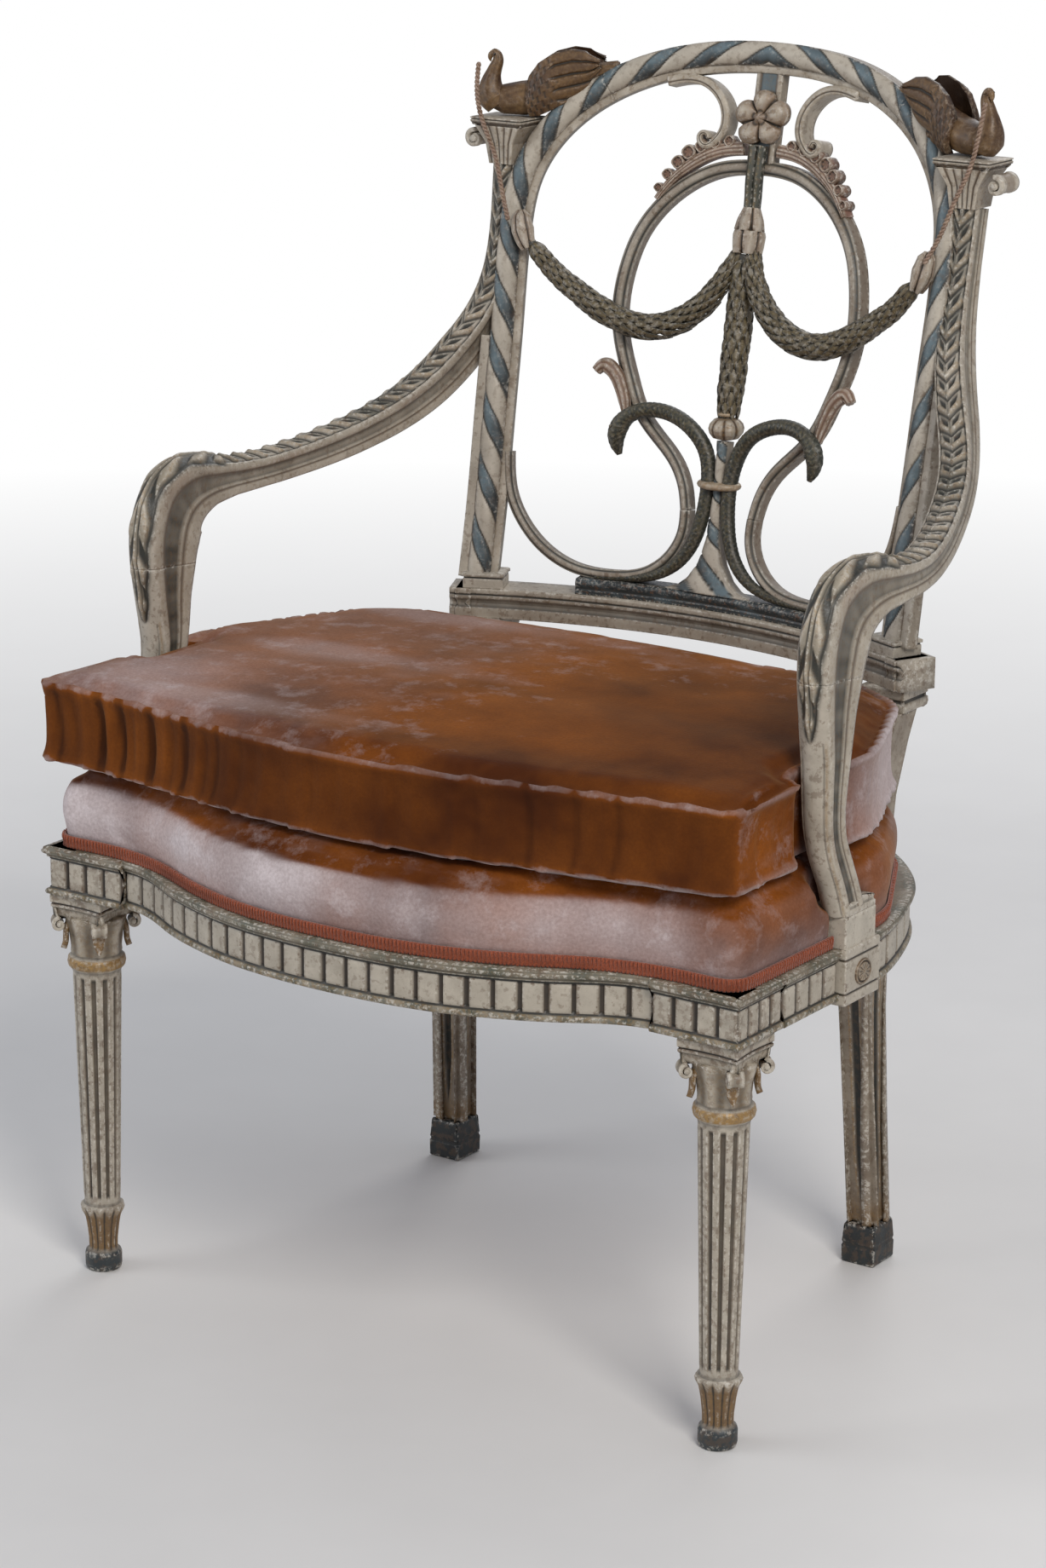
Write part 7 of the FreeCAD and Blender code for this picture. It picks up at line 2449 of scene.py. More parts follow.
@dataclass
class TopOrnaments:
    """Bow, ribbon, bracket, scrolls and leaves at the top of the oval."""
    rosette_z: float = 892.0
    rosette_radius: float = 25.0
    top: float = 944.0

    def rosette(self) -> list[Skin]:
        """A knotted bow of five loops round a boss.

        Returns:
            The skins.
        """
        def rim(turn: Array) -> Array:
            """Five rounded lobes."""
            lobe = 0.72 + 0.28 * np.abs(np.cos(2.5 * (turn - math.pi / 2))) ** 0.7
            return lobe * (0.96 + 0.07 * np.sin(2 * turn + 0.8))

        def carve(share: Array, turn: Array) -> Paint:
            """Cupped loops with dark creases and a raised middle.

            Args:
                share: 0 in the middle to 1 at the rim.
                turn: angles round the middle.
            Returns:
                The height of the carving and its paint.
            """
            wave = np.abs(np.cos(2.5 * (turn - math.pi / 2)))
            cup = bump(share, 0.62, 0.42) * wave
            crease = step(0.35, 0.05, wave) * step(0.2, 0.35, share)
            fold = 0.5 * np.abs(np.sin(7.5 * (turn - math.pi / 2))) * step(0.25, 0.5, share)
            boss = bump(share, 0.0, 0.26)
            tint = mix(mix(CREAM_SHADE, ROSE, 0.3), CREAM * 1.06, 0.85 * cup * wave)
            tint = mix(tint, BROWN * 0.55, crease)
            tint = mix(tint, BROWN * 0.6, bump(share, 0.27, 0.07))
            return Paint(3.6 * cup - 3.0 * crease + 0.5 * fold + 4.2 * boss - 2.5 * step(0.8, 1.0, share), tint, 0.2,
                         0.6)
        return [Disc(0, self.rosette_z, 6.15, self.rosette_radius, 7.0, rim, carve).skin()]

    def ribbon(self) -> list[Skin]:
        """Two strands from the husk over the oval to the bow.

        Returns:
            The skins.
        """
        skins = []
        for side in (-1, 1):
            rows = [(side * 3.4, 821.5), (side * 3.6, 832), (side * 3.8, 842), (side * 3.8, 860), (side * 4.6, 872)]
            track = back_track(rows, (12.0, 12.5, 13.65, 13.8, 13.65), 1.0)

            def face(run: Array, place: Array) -> Paint:
                """Dark green-grey with a pale ridge."""
                ridge = hill(place, 0, 0.4)
                return Paint(0.8 * ridge, mix(DARK_GREEN, GREEN_GREY, 0.3 + 0.5 * ridge), 0.35 * ridge, 0.35)
            skins.append(Bar(track, 7.0, 5.6, face, crown=1.6, face_cols=11, side_cols=3,
                             side_tint=DARK_GREEN).skin())
        return skins

    def bracket(self) -> Skin:
        """The bluish panelled stem behind the bow.

        Returns:
            The skin.
        """
        track = back_track([(0, 855), (0, 880), (0, 905), (0, 936)], 6.0, 1.5)

        def face(run: Array, place: Array) -> Paint:
            """A sunk blue-grey panel in a cream frame.

            Args:
                run: distances along the bar in mm.
                place: -1 to 1 across its face.
            Returns:
                The height of the carving and its paint.
            """
            panel = step(0.68, 0.56, np.abs(place))
            tint = mix(cream(0.4), mix(BLUE_GREY, BLUE_GREY * 0.5, 0.4 + 0.4 * wobble(run / 6.0)),
                       panel)
            tint = mix(tint, BROWN * 0.6, bump(np.abs(place), 0.64, 0.1))
            return Paint(-1.0 * panel, tint, 0.1, 0.5)
        return Bar(track, 24.0, 12.0, face, crown=1.2, side_tint=CREAM_SHADE).skin()

    def scroll(self) -> list[Skin]:
        """The right-hand C-scroll with its eye.

        Returns:
            The skins.
        """
        top = self.top
        rows = [(88, top - 27), (72, top - 24), (56, top - 26), (42, top - 36), (35, top - 50), (35.5, top - 62),
                (42, top - 72), (50, top - 76.2), (55.4, top - 72), (54.6, top - 66.6), (49.8, top - 66),
                (47.6, top - 70)]
        track = back_track(rows, 9.5, 1.0)
        t = np.linspace(0, 1, len(track.path))
        width = np.interp(t, (0, 0.1, 0.6, 0.8, 1), (8, 7.6, 7, 5, 3.4))

        def face(run: Array, place: Array) -> Paint:
            """Cream with a brown quirk along the inner edge.

            Args:
                run: distances along the bar in mm.
                place: -1 to 1 across its face.
            Returns:
                The height of the carving and its paint.
            """
            line = hill(place, -0.35, 0.16)
            tint = mix(cream(0.35 + 0.3 * wobble(run / 9.0, seed=18)), BROWN * 0.6, 0.8 * line)
            return Paint(-0.8 * line, tint, 0.15, 0.5)
        return [Bar(track, width, 19.0, face, crown=1.6, face_cols=15,
                    side_tint=mix(CREAM_SHADE, CREAM, 0.4)).skin()]

    def shell(self) -> list[Skin]:
        """The lobed leaf on the right shoulder of the oval.

        Returns:
            The skins.
        """
        skins = []
        rows = [(16, 868), (34, 865.5), (50, 859.5), (64, 850.5), (77, 838.5), (88, 823)]
        track = back_track(rows, 7.2, 1.0)
        t = np.linspace(0, 1, len(track.path))
        width = np.interp(t, (0, 0.5, 1), (11.0, 9.0, 4.5))

        def stem(run: Array, place: Array) -> Paint:
            """A veined midrib."""
            groove = np.abs(np.sin(place * 5))
            return Paint(0.7 * groove, mix(mix(ROSE, BROWN, 0.3), CREAM, 0.55 * groove), 0.15, 0.6)
        skins.append(Bar(track, width, 12.0, stem, crown=2.2, side_tint=ROSE).skin())
        lobes = ((30, 870.5, 5.0), (43, 868.5, 5.4), (55, 865, 6.0), (66, 859.5, 6.5), (74.5, 851, 6.0),
                 (82.5, 841, 5.0), (89, 830, 4.2))

        def rim(turn: Array) -> Array:
            """A leaf lobe notched by three flutes."""
            return 0.9 + 0.1 * np.abs(np.cos(2.0 * turn))

        def carve(share: Array, turn: Array) -> Paint:
            """A cupped lobe with a pale lip.

            Args:
                share: 0 in the middle to 1 at the rim.
                turn: angles round the middle.
            Returns:
                The height of the carving and its paint.
            """
            lip = bump(share, 0.82, 0.2)
            flute = np.abs(np.cos(turn * 3))
            return Paint(2.0 * lip + 0.8 * flute * share - 2.2 * step(0.88, 1, share), mix(mix(ROSE, BROWN, 0.45),
                         mix(CREAM, ROSE, 0.3), lip), 0.1, 0.6)
        for x, z, radius in lobes:
            skins.append(Disc(x, z, -4.0, radius, 9.5, rim, carve, 12, 36).skin())
        return skins

    def bud(self) -> list[Skin]:
        """The curled leaf outside the oval, below the swag.

        Returns:
            The skins.
        """
        rows = [(91, 646), (94, 658), (99, 671), (106, 682), (115, 687), (121, 682)]
        track = back_track(rows, 7.5, 0.8)
        t = np.linspace(0, 1, len(track.path))
        across = np.interp(t, (0, 0.25, 0.5, 0.8, 1), (2.2, 4.6, 5.4, 6.0, 3.6))
        out = np.interp(t, (0, 0.5, 0.8, 1), (3.8, 4.4, 5.2, 3.4))

        def face(run: Array, place: Array) -> Paint:
            """Flutes that run to the curled tip."""
            flute = np.abs(np.cos(place * 3.5))
            return Paint(0.9 * flute, mix(mix(ROSE, BROWN, 0.6), mix(CREAM, ROSE, 0.4), flute ** 2), 0.15, 0.6)
        return [Rope(track, across, out, face, 36).skin()]

    def build(self, palette: Palette) -> None:
        """Make all of them.

        Args:
            palette: the finishes.
        """
        place(skin_to_mesh("rosette_skin", self.rosette()), palette.rose, ["rosette"], "rose_carving")
        place(skin_to_mesh("ribbon_skin", self.ribbon()), palette.rose, ["ribbon"], "rose_carving")
        place(skin_to_mesh("bracket_skin", [self.bracket()]), palette.cream, ["top_bracket"], "cream_paint")
        for label, skins, finish, slot in (("c_scroll", self.scroll(), palette.cream, "cream_paint"),
                                           ("shell_leaf", self.shell(), palette.rose, "rose_carving"),
                                           ("leaf_bud", self.bud(), palette.rose, "rose_carving")):
            place_pairs((label + "_{}_skin", label, skins, finish, slot))


# Arms

@dataclass
class Arms:
    """Carved arms that sweep from the capitals to the knuckles and down the supports."""
    width: float = 23.0
    top_y: float = 238.0
    knuckle: float = 68.0
    support: float = 24.0
    plinth_top: float = 380.0
    places: int = 481
    joint: int = 360
    pitch: float = 18.0
    lean: float = 15.0
    leaf_y: float = -40.0
    leaf_tip: float = 516.0

    def rows(self) -> Array:
        """x, y, z, width and depth of the middle of the right arm.

        Returns:
            One row for each place.
        """
        w, top, k, s = self.width, self.top_y, self.knuckle, self.support
        return np.array([
            (216, top, 845, w - 2, 25), (214.5, top - 6, 800, w - 2, 25), (215, top - 14, 758, w - 1, 28),
            (222, top - 27, 722, w, 33), (235, top - 45, 692, w + 1, 37), (249, top - 66, 668, w + 1, 35),
            (262, top - 92, 650, w + 1, 32), (274, 115, 637, w + 1, 30), (286, 80, 627, w + 1, 29),
            (297, 44, 620, w + 1, 28), (305, 9, 616, w + 1, 28), (308.5, -26, 615.5, s, 31),
            (308, -54, 616, s, k * 0.56), (307, -81, 613, s, k * 0.8), (306, -101, 602, s, k),
            (305.5, -113, 578, s + 1, k * 0.96), (305, -116, 554, s + 1, k * 0.84), (304.5, -117, 532, s + 1, k * 0.69),
            (304, -117, 498, s + 1, k * 0.53), (305, -120, 467, s, k * 0.44), (307, -118, 435, s - 2, k * 0.41),
            (310, -108, 407, s - 3, k * 0.41), (312, -99, self.plinth_top, s - 3, k * 0.44)], float)

    def track(self) -> tuple[Track, Array, Array]:
        """The arm's middle line with its width and depth at each place.

        Returns:
            The track, the widths and the depths.
        """
        rows = self.rows()
        path = spline_through(rows[:, :3], self.places)
        tangent = np.gradient(path, axis=0)
        hint = np.cross(tangent, np.array([1.0, 0.0, 0.0]))
        run = lengths_along(path)
        marks = [run[np.argmin(np.linalg.norm(path - row[:3], axis=1))] for row in rows]
        return Track.along(path, hint), np.interp(run, marks, rows[:, 3]), np.interp(run, marks, rows[:, 4])

    def twig(self, here: Array, place: Array) -> Paint:
        """Laurel leaves with dark hollows on both sides of a vein, between two rims.

        Args:
            here: distances along the whole arm.
            place: -1 to 1 across its face.
        Returns:
            The height of the carving and its paint.
        """
        share = np.abs(place)
        phase = (here + self.lean * share) / self.pitch
        f = phase - np.floor(phase)
        rim = step(0.84, 0.9, share)
        inside = 1 - rim
        ridge = hill(f, 0.72, 0.16)
        seam = hill(np.minimum(f, 1 - f), 0, 0.1)
        drop = step(0.24, 0.12, np.abs(f - 0.36)) * step(0.1, 0.2, share) * step(0.72, 0.5, share + 0.5 * (f - 0.3))
        vein = hill(share, 0, 0.07)
        quirk = hill(share, 0.84, 0.045)
        height = inside * (1.5 * ridge - 1.5 * seam - 1.3 * drop - 0.3) + 0.6 * vein - 1.2 * quirk + 0.5 * rim
        ground = cream(0.35 + 0.35 * wobble(here / 14.0, place * 2, seed=20))
        tint = mix(ground, mix(GREEN_GREY, DARK_GREEN, 0.4), inside * (0.35 + 0.4 * wobble(here / 31.0, seed=22)))
        tint = mix(tint, mix(GOLD, CREAM, 0.55), 0.6 * ridge * inside * step(0.2, 0.4, share))
        tint = mix(tint, DARK_GREEN * 0.55, np.maximum(0.95 * drop * inside, 0.75 * seam * inside))
        tint = mix(tint, DARK_GREEN * 0.6, 0.6 * vein)
        tint = mix(tint, INK * 0.8, 0.85 * quirk)
        return Paint(height, tint, 0.3 * ridge * inside, 0.45)

    def big_leaf(self, t: Array, place: Array) -> Paint:
        """The acanthus leaf that falls over the knuckle; t is 0 at its root and 1 at its tip.

        Args:
            t: 0 at its root to 1 at its tip.
            place: -1 to 1 across the face.
        Returns:
            The height of the carving and its paint.
        """
        share = np.abs(place)
        long = np.clip(t, 0, 1)
        phase = 5.2 * long ** 0.85 - 0.75 * share
        f = phase - np.floor(phase)
        outline = 0.93 * (1 - long ** 2.6) ** 0.75 * (0.84 + 0.16 * np.sin(math.pi * f))
        leaf = step(outline + 0.03, outline - 0.04, share)
        hollow = leaf * step(0.26, 0.12, np.abs(f - 0.3)) * step(0.16, 0.28, share)
        ridge = leaf * hill(f, 0.68, 0.17)
        rib = hill(share, 0, 0.09) * step(1.0, 0.94, long)
        groove = hill(share, 0.16, 0.05) * leaf
        edge = hill(share - outline, 0.03, 0.06) * step(1.03, 0.99, t)
        height = 1.5 * leaf + 1.4 * ridge - 1.9 * hollow + 1.1 * rib - 0.8 * groove - 1.0 * edge
        tint = mix(cream(0.3), mix(GREEN_GREY, GOLD, 0.3), 0.55 * leaf)
        tint = mix(tint, CREAM * 1.05, 0.7 * ridge)
        tint = mix(tint, DARK_GREEN * 0.55, np.maximum(0.95 * hollow, 0.8 * groove))
        beside = (1 - leaf) * step(outline + 0.34, outline + 0.06, share) * step(1.02, 0.97, t)
        tint = mix(tint, DARK_GREEN * 0.6, np.maximum(edge, beside) * 0.9)
        return Paint(height, tint, 0.35 * ridge, 0.45)

    def foot_face(self, here: Array, place: Array) -> Paint:
        """The plain rounded front of the support with a tan fillet towards the side.

        Args:
            here: distances along the whole arm.
            place: -1 to 1 across its face.
        Returns:
            The height of the carving and its paint.
        """
        share = np.abs(place)
        fillet = bump(share, 0.86, 0.1)
        tint = cream(0.25 + 0.45 * wobble(here / 17.0, place, seed=23))
        stain = step(0.3, 0.9, wobble(here / 9.0, place * 2, seed=24))
        tint = mix(tint, mix(GREEN_GREY, DARK_GREEN, 0.5), 0.35 * stain)
        tint = mix(tint, mix(GOLD, CREAM_SHADE, 0.5), 0.7 * fillet)
        return Paint(0.5 * fillet - 0.5 * bump(share, 0.7, 0.08), tint, 0.2 * fillet, 0.5)

    def face(self, offset: float, leaf_from: float, leaf_to: float) -> Carver:
        """Twig, big leaf and plain foot one after the other.

        Args:
            offset: run of the whole arm where this piece starts.
            leaf_from: run where the big leaf springs.
            leaf_to: run at its tip.
        Returns:
            The carver of the arm's upper and front face.
        """
        def carve(run: Array, place: Array) -> Paint:
            """One carving for the whole length, so that the joint does not show.

            Args:
                run: distances along the bar in mm.
                place: -1 to 1 across its face.
            Returns:
                The height of the carving and its paint.
            """
            here = run + offset
            low = step(leaf_from - 4, leaf_from + 5, here)
            end = step(leaf_to - 3, leaf_to + 3, here)
            parts = (self.twig(here, place), self.big_leaf((here - leaf_from) / (leaf_to - leaf_from), place),
                     self.foot_face(here, place))
            shares = ((1 - low), low * (1 - end), end)
            pairs = list(zip(shares, parts))
            return Paint(sum(share * part.height for share, part in pairs),
                         sum(share[..., None] * part.tint for share, part in pairs),
                         sum(share * part.gilt for share, part in pairs), 0.45)
        return carve

    def flank(self, offset: float, deep_from: float) -> Carver:
        """The side: a bead, a dark green channel that grows towards the support, and a pale rear lip.

        Args:
            offset: run of the whole arm where this piece starts.
            deep_from: run where the channel gets its full depth.
        Returns:
            The carver of the sides.
        """
        def carve(run: Array, place: Array) -> Paint:
            """Bands along the arm.

            Args:
                run: distances along this piece.
                place: 0 at the face to 1 at the back.
            Returns:
                The height of the carving and its paint.
            """
            here = run + offset
            full_dark = 0.45 + 0.55 * step(deep_from - 150, deep_from, here)
            channel = step(0.26, 0.32, place) * step(0.64, 0.58, place)
            line = np.maximum(bump(place, 0.24, 0.06), bump(place, 0.68, 0.05))
            bead = bump(place, 0.12, 0.12)
            lip = bump(place, 0.88, 0.16)
            tint = cream(0.35 + 0.35 * wobble(here / 16.0, place * 3, seed=21))
            tint = mix(tint, mix(ROSE, BROWN, 0.4), 0.3 * bead * step(0.2, 0.8, wobble(here / 23.0, seed=25)))
            spots = 0.75 + 0.25 * wobble(here / 4.0, place * 9, seed=26)
            tint = mix(tint, mix(DARK_GREEN, BLUE_GREY * 0.4, 0.35) * 0.5, channel * full_dark * spots)
            tint = mix(tint, BROWN * 0.5, 0.85 * line)
            height = 0.6 * bead - 1.7 * channel - 0.5 * line + 0.5 * lip
            return Paint(height, tint, 0.1, 0.5)
        return carve

    def build(self, palette: Palette) -> None:
        """Make both arms and their supports.

        Args:
            palette: the finishes.
        """
        track, width, depth = self.track()
        top = track.part(0, self.joint)
        low = track.part(self.joint, self.places - 1)
        after = np.arange(self.places) > self.places // 2
        springs = track.run[np.argmax(after & (track.path[:, 1] < self.leaf_y))]
        ends = track.run[np.argmax(after & (track.path[:, 2] < self.leaf_tip))]
        joint = track.run[self.joint]
        pieces = [Bar(part, width[cut], depth[cut], self.face(start, springs, ends), crown=6.5, face_cols=37,
                      side_cols=16, sunk=-depth[cut] / 2, side=self.flank(start, joint)).skin()
                  for part, cut, start in ((top, slice(0, self.joint + 1), 0.0), (low, slice(self.joint, None), joint))]
        foot = Plan.box(297, 323, -110, -68, 1.0, 1.5)
        base = Stack(foot, ((380, -0.4), (381, 0), (384, 0), (384.8, -1.2), (386.4, -1.4), (388, -0.6), (389, -2.0)),
                     edge_worn(cream(0.3), 0.4))
        pieces[1].grid[..., 2] = np.maximum(pieces[1].grid[..., 2], self.plinth_top)
        place_pairs(("arm_{}_skin", "arm", pieces[:1], palette.cream, "cream_paint"),
                    ("arm_support_{}_skin", "arm_support", [pieces[1], base.skin()], palette.cream, "cream_paint"))


@dataclass
class Capital:
    """The scrolled capital over the arm, with its bird and the carved cord."""
    y: float = 239.0
    depth: float = 40.0
    base_z: float = 845.0
    top_z: float = 883.0
    inner_x: float = 192.0
    outer_x: float = 242.0

    def body(self) -> list[Skin]:
        """Reeded bracket, moulded plate and outer volute.

        Returns:
            The skins.
        """
        plan = Plan.box(-1, 1, -1, 1, 0.04, 0.06)
        z = np.linspace(self.base_z, self.top_z - 7, 40)
        low, high = self.top_z - 21, self.top_z - 7
        left = np.interp(z, (self.base_z, low, high), (205, 203, self.inner_x + 3))
        right = np.interp(z, (self.base_z, low, high), (227, 230, self.outer_x - 3))
        half = np.interp(z, (self.base_z, low, high), (13, 14, 17))
        rows = []
        for height, x0, x1, deep in zip(z, left, right, half):
            reed = 0.9 * np.abs(np.sin(plan.points[:, 0] * 9)) * (np.abs(plan.out[:, 1]) > 0.7)
            x = (x0 + x1) / 2 + plan.points[:, 0] * (x1 - x0) / 2
            y = self.y + plan.points[:, 1] * deep + plan.out[:, 1] * reed
            rows.append(np.column_stack([x, y, np.full(len(x), height)]))
        grid = np.array(rows)
        u = np.abs(np.sin(plan.points[:, 0] * 9))[None, :] * np.ones((len(z), 1))
        tint = mix(BROWN * 0.7, CREAM, step(0.15, 0.6, u))
        skins = [Skin(grid, tint, 0.15, 0.5)]
        outline = Plan.box(self.inner_x, self.outer_x, self.y - self.depth / 2, self.y + self.depth / 2, 1.0, 1.5)
        t = self.top_z - 7
        profile = ((t, -3.5), (t + 1.0, -2.0), (t + 2.2, -1.6), (t + 2.6, -0.4), (t + 4.4, 0), (t + 4.8, -1.0),
                   (t + 5.4, -1.0), (t + 5.8, 0), (t + 6.6, 0), (t + 7, -0.6))
        plate = Stack(outline, profile, self.plate_paint, 0.6)
        skins.append(plate.skin())
        way, side = np.array([1.0, 0, 0]), np.array([0, 1.0, 0])
        centre = np.array([243.0, self.y, 864.0])
        curl = Curl(centre, math.radians(96), -1.6, 9.6, 1.8, way, UP).track(90)
        share = np.linspace(0, 1, 90)

        def face(run: Array, place: Array) -> Paint:
            """Cream with a dark channel."""
            channel = step(0.6, 0.4, np.abs(place))
            return Paint(-0.8 * channel, mix(CREAM, BROWN, 0.5 * channel), 0.1, 0.5)
        skins.append(Bar(curl, 28.0 - 6 * share, 4.0 - 1.6 * share, face, crown=0.4, face_cols=11, side_cols=3,
                         side_tint=CREAM).skin())
        eye = np.linspace(centre - side * 14.5, centre + side * 14.5, 11)
        skins.append(Rope(Track.along(eye, np.tile(way, (11, 1))), 2.8, 2.8, plain(CREAM, 0.4), 18).skin())
        return skins

    def plate_paint(self, z: Array, run: Array, points: Array, out: Array) -> Paint:
        """Brown-black under mouldings and a rubbed cream edge.

        Args:
            z: heights in mm.
            run: distances round the plan.
            points: places in plan.
            out: outward directions in plan.
        Returns:
            The height of the carving and its paint.
        """
        low = step(self.top_z - 2.6, self.top_z - 4.4, z)
        line = bump(z, self.top_z - 1.9, 0.6)
        tint = mix(cream(0.5), mix(BROWN, INK, 0.5) * 0.7, np.maximum(0.85 * low, line))
        return Paint(np.zeros_like(z), tint, 0.1, 0.6)

    def build(self, palette: Palette) -> None:
        """Make capitals, birds and cords on both sides."""
        place_pairs(("capital_{}_skin", "capital", self.body(), palette.cream, "cream_paint"),
                    ("bird_{}_skin", "bird", Bird().skins(), palette.gilt, "gilt_carving"),
                    ("cord_{}_skin", "beak_cord", self.cord(), palette.gilt, "gilt_carving"))

    def cord(self) -> list[Skin]:
        """Two carved strands that twist round each other.

        Returns:
            The skins.
        """
        front = self.y - self.depth / 2 - 2.2
        rows = np.array([(235, 222, 927), (233, front, 903), (227, front, 879), (215, front, 853),
                         (205, front - 4, 825), (195, 207, 803)], float)
        path = spline_through(rows, 150)
        track = Track.along(path, BACK.normal(path))
        skins = []
        for phase in (0, math.pi):
            angle = track.run / 7.0 * 2 * math.pi + phase
            line = path + track.across * (1.1 * np.sin(angle))[:, None] + track.out * (0.9 * np.cos(angle))[:, None]
            strand = Track.along(line, track.out)
            skins.append(Rope(strand, 1.15, 1.15, plain(mix(ROSE, CREAM_SHADE, 0.4), 0.5, 0.15), 8).skin())
        return skins


@dataclass
class Bird:
    """A small carved bird: breast outwards, head turned down to the cord, tail to the crest."""
    base: float = 883.0
    outer_corner: Array = field(default_factory=lambda: np.array([242.0, 232.0, 0.0]))
    tail_corner: Array = field(default_factory=lambda: np.array([133.0, 281.0, 0.0]))
    wing_thickness: float = 4.5
    quills: int = 6
    wing_top: tuple = ((41, 22), (44, 34), (52, 45), (64, 53), (79, 57), (92, 55.5), (104, 50))
    wing_low: tuple = ((45, 1), (53, 2), (62, 6), (73, 12), (85, 20), (95, 29), (105, 41))

    def at(self, s: Array | float, height: Array | float, side: Array | float = 0.0) -> Array:
        """Points at distances inwards from the outer corner, heights and offsets to the back.

        Args:
            s: distances inwards.
            height: heights above the capital.
            side: offsets to the back.
        Returns:
            The points.
        """
        along = self.tail_corner - self.outer_corner
        along = along / np.linalg.norm(along)
        aside = np.array([-along[1], along[0], 0.0])
        s, height, side = (np.asarray(value)[..., None] for value in (s, height, side))
        return self.outer_corner + UP * self.base + along * s + aside * side + height * UP

    def down(self, depth: float = 0.6) -> Carver:
        """Smooth rounded plumage with faint long grooves and rubbed gold on its swell.

        Args:
            depth: depth of the grooves.
        Returns:
            The carver.
        """
        def carve(run: Array, place: Array) -> Paint:
            """Height and paint of the plumage.

            Args:
                run: distances along it in mm.
                place: angles round it, 0 at the front.
            Returns:
                The height of the carving and its paint.
            """
            groove = np.abs(np.sin(place * 3.5 + 0.5 * np.sin(run / 7.0)))
            cloud = 0.5 + 0.5 * wobble(run / 5.0, place * 1.5, seed=41)
            tint = mix(BIRD_BROWN * 0.6, mix(GOLD, BIRD_BROWN, 0.4), 0.7 * cloud)
            tint = mix(tint, BIRD_BROWN * 0.3, 0.7 * step(0.35, 0.0, groove))
            return Paint(depth * (groove - 0.6), tint, 0.35 * cloud, 0.5)
        return carve

    def tube(self, points: Sequence[Array], across: Sequence[float], out: Sequence[float], carve: Carver,
             cols: int = 36, count: int = 90) -> Skin:
        """A swelling member through points, its front towards the viewer of the chair.

        Args:
            points: points of its middle line.
            across: radii across, at even steps.
            out: radii outwards, at even steps.
            carve: its carver.
            cols: points round it.
            count: places along it.
        Returns:
            The skin.
        """
        path = spline_through(np.array(points), count)
        track = Track.along(path, np.tile([0.3, -1.0, 0.2], (count, 1)))
        t = np.linspace(0, 1, count)
        marks = np.linspace(0, 1, len(across))
        return Rope(track, np.interp(t, marks, across), np.interp(t, marks, out), carve, cols).skin()

    def wing(self, side: float) -> Skin:
        """A half-open wing: a cupped shell of long feathers with scalloped tips.

        Args:
            side: 1 for the wing towards the front, -1 for the one behind.
        Returns:
            The closed shell.
        """
        rows, cols = 64, 56
        u = np.linspace(0, 1, rows)[:, None]
        v = np.linspace(0, 1, cols)[None, :]
        marks = np.linspace(0, 1, len(self.wing_top))
        tip = step(0.8, 1.0, u) * 5.0 * (np.abs(np.sin(v * math.pi * self.quills)) - 1)
        top, low = np.array(self.wing_top), np.array(self.wing_low)
        s, h = (np.interp(u, marks, top[:, i]) * v + np.interp(u, marks, low[:, i]) * (1 - v) for i in (0, 1))
        s = s + tip
        bulge = 9.0 + 9.0 * np.sin(math.pi * np.clip(0.12 + 0.8 * v, 0, 1)) * (1 - 0.35 * u) + 3.5 * u * v
        flow = (v + 0.55 * u * (1 - v)) * self.quills
        f = flow - np.floor(flow)
        seam = hill(np.minimum(f, 1 - f), 0, 0.12)
        covert = step(0.5, 0.4, u + 0.08 * np.sin(flow * math.pi))
        scale = (u * 9.0 + 0.5 * (np.floor(v * 7.0) % 2)) % 1.0
        small = hill(np.minimum(scale, 1 - scale), 0, 0.16)
        relief = (1 - covert) * (1.0 * np.sin(math.pi * f) - 1.5 * seam) + covert * (1.6 - 1.0 * small)
        cloud = 0.5 + 0.5 * wobble(u * 6.0, v * 5.0, seed=43)
        tint = mix(BIRD_BROWN * 0.55, mix(GOLD, BIRD_BROWN, 0.5), 0.6 * cloud)
        tint = mix(tint, BIRD_BROWN * 0.25, np.maximum(0.75 * seam * (1 - covert), 0.5 * small * covert))
        thick = self.wing_thickness * (1 - 0.45 * u) + 0 * v
        faces = [self.at(s, h, side * lift) for lift in (bulge + relief, bulge - thick)]
        grid = np.concatenate([faces[0], faces[1][:, ::-1]], axis=1)
        # Painted shade: the inner face of the wing is a dark copy of the bird's brown.
        colours = np.concatenate([tint, full(BIRD_BROWN * 0.45, faces[1].shape)], axis=1)
        gold = np.concatenate([0.4 * cloud * (1 - seam), np.zeros_like(cloud)], axis=1)
        if side < 0:
            grid, colours, gold = grid[:, ::-1], colours[:, ::-1], gold[:, ::-1]
        return Skin(grid, colours, gold, 0.5)

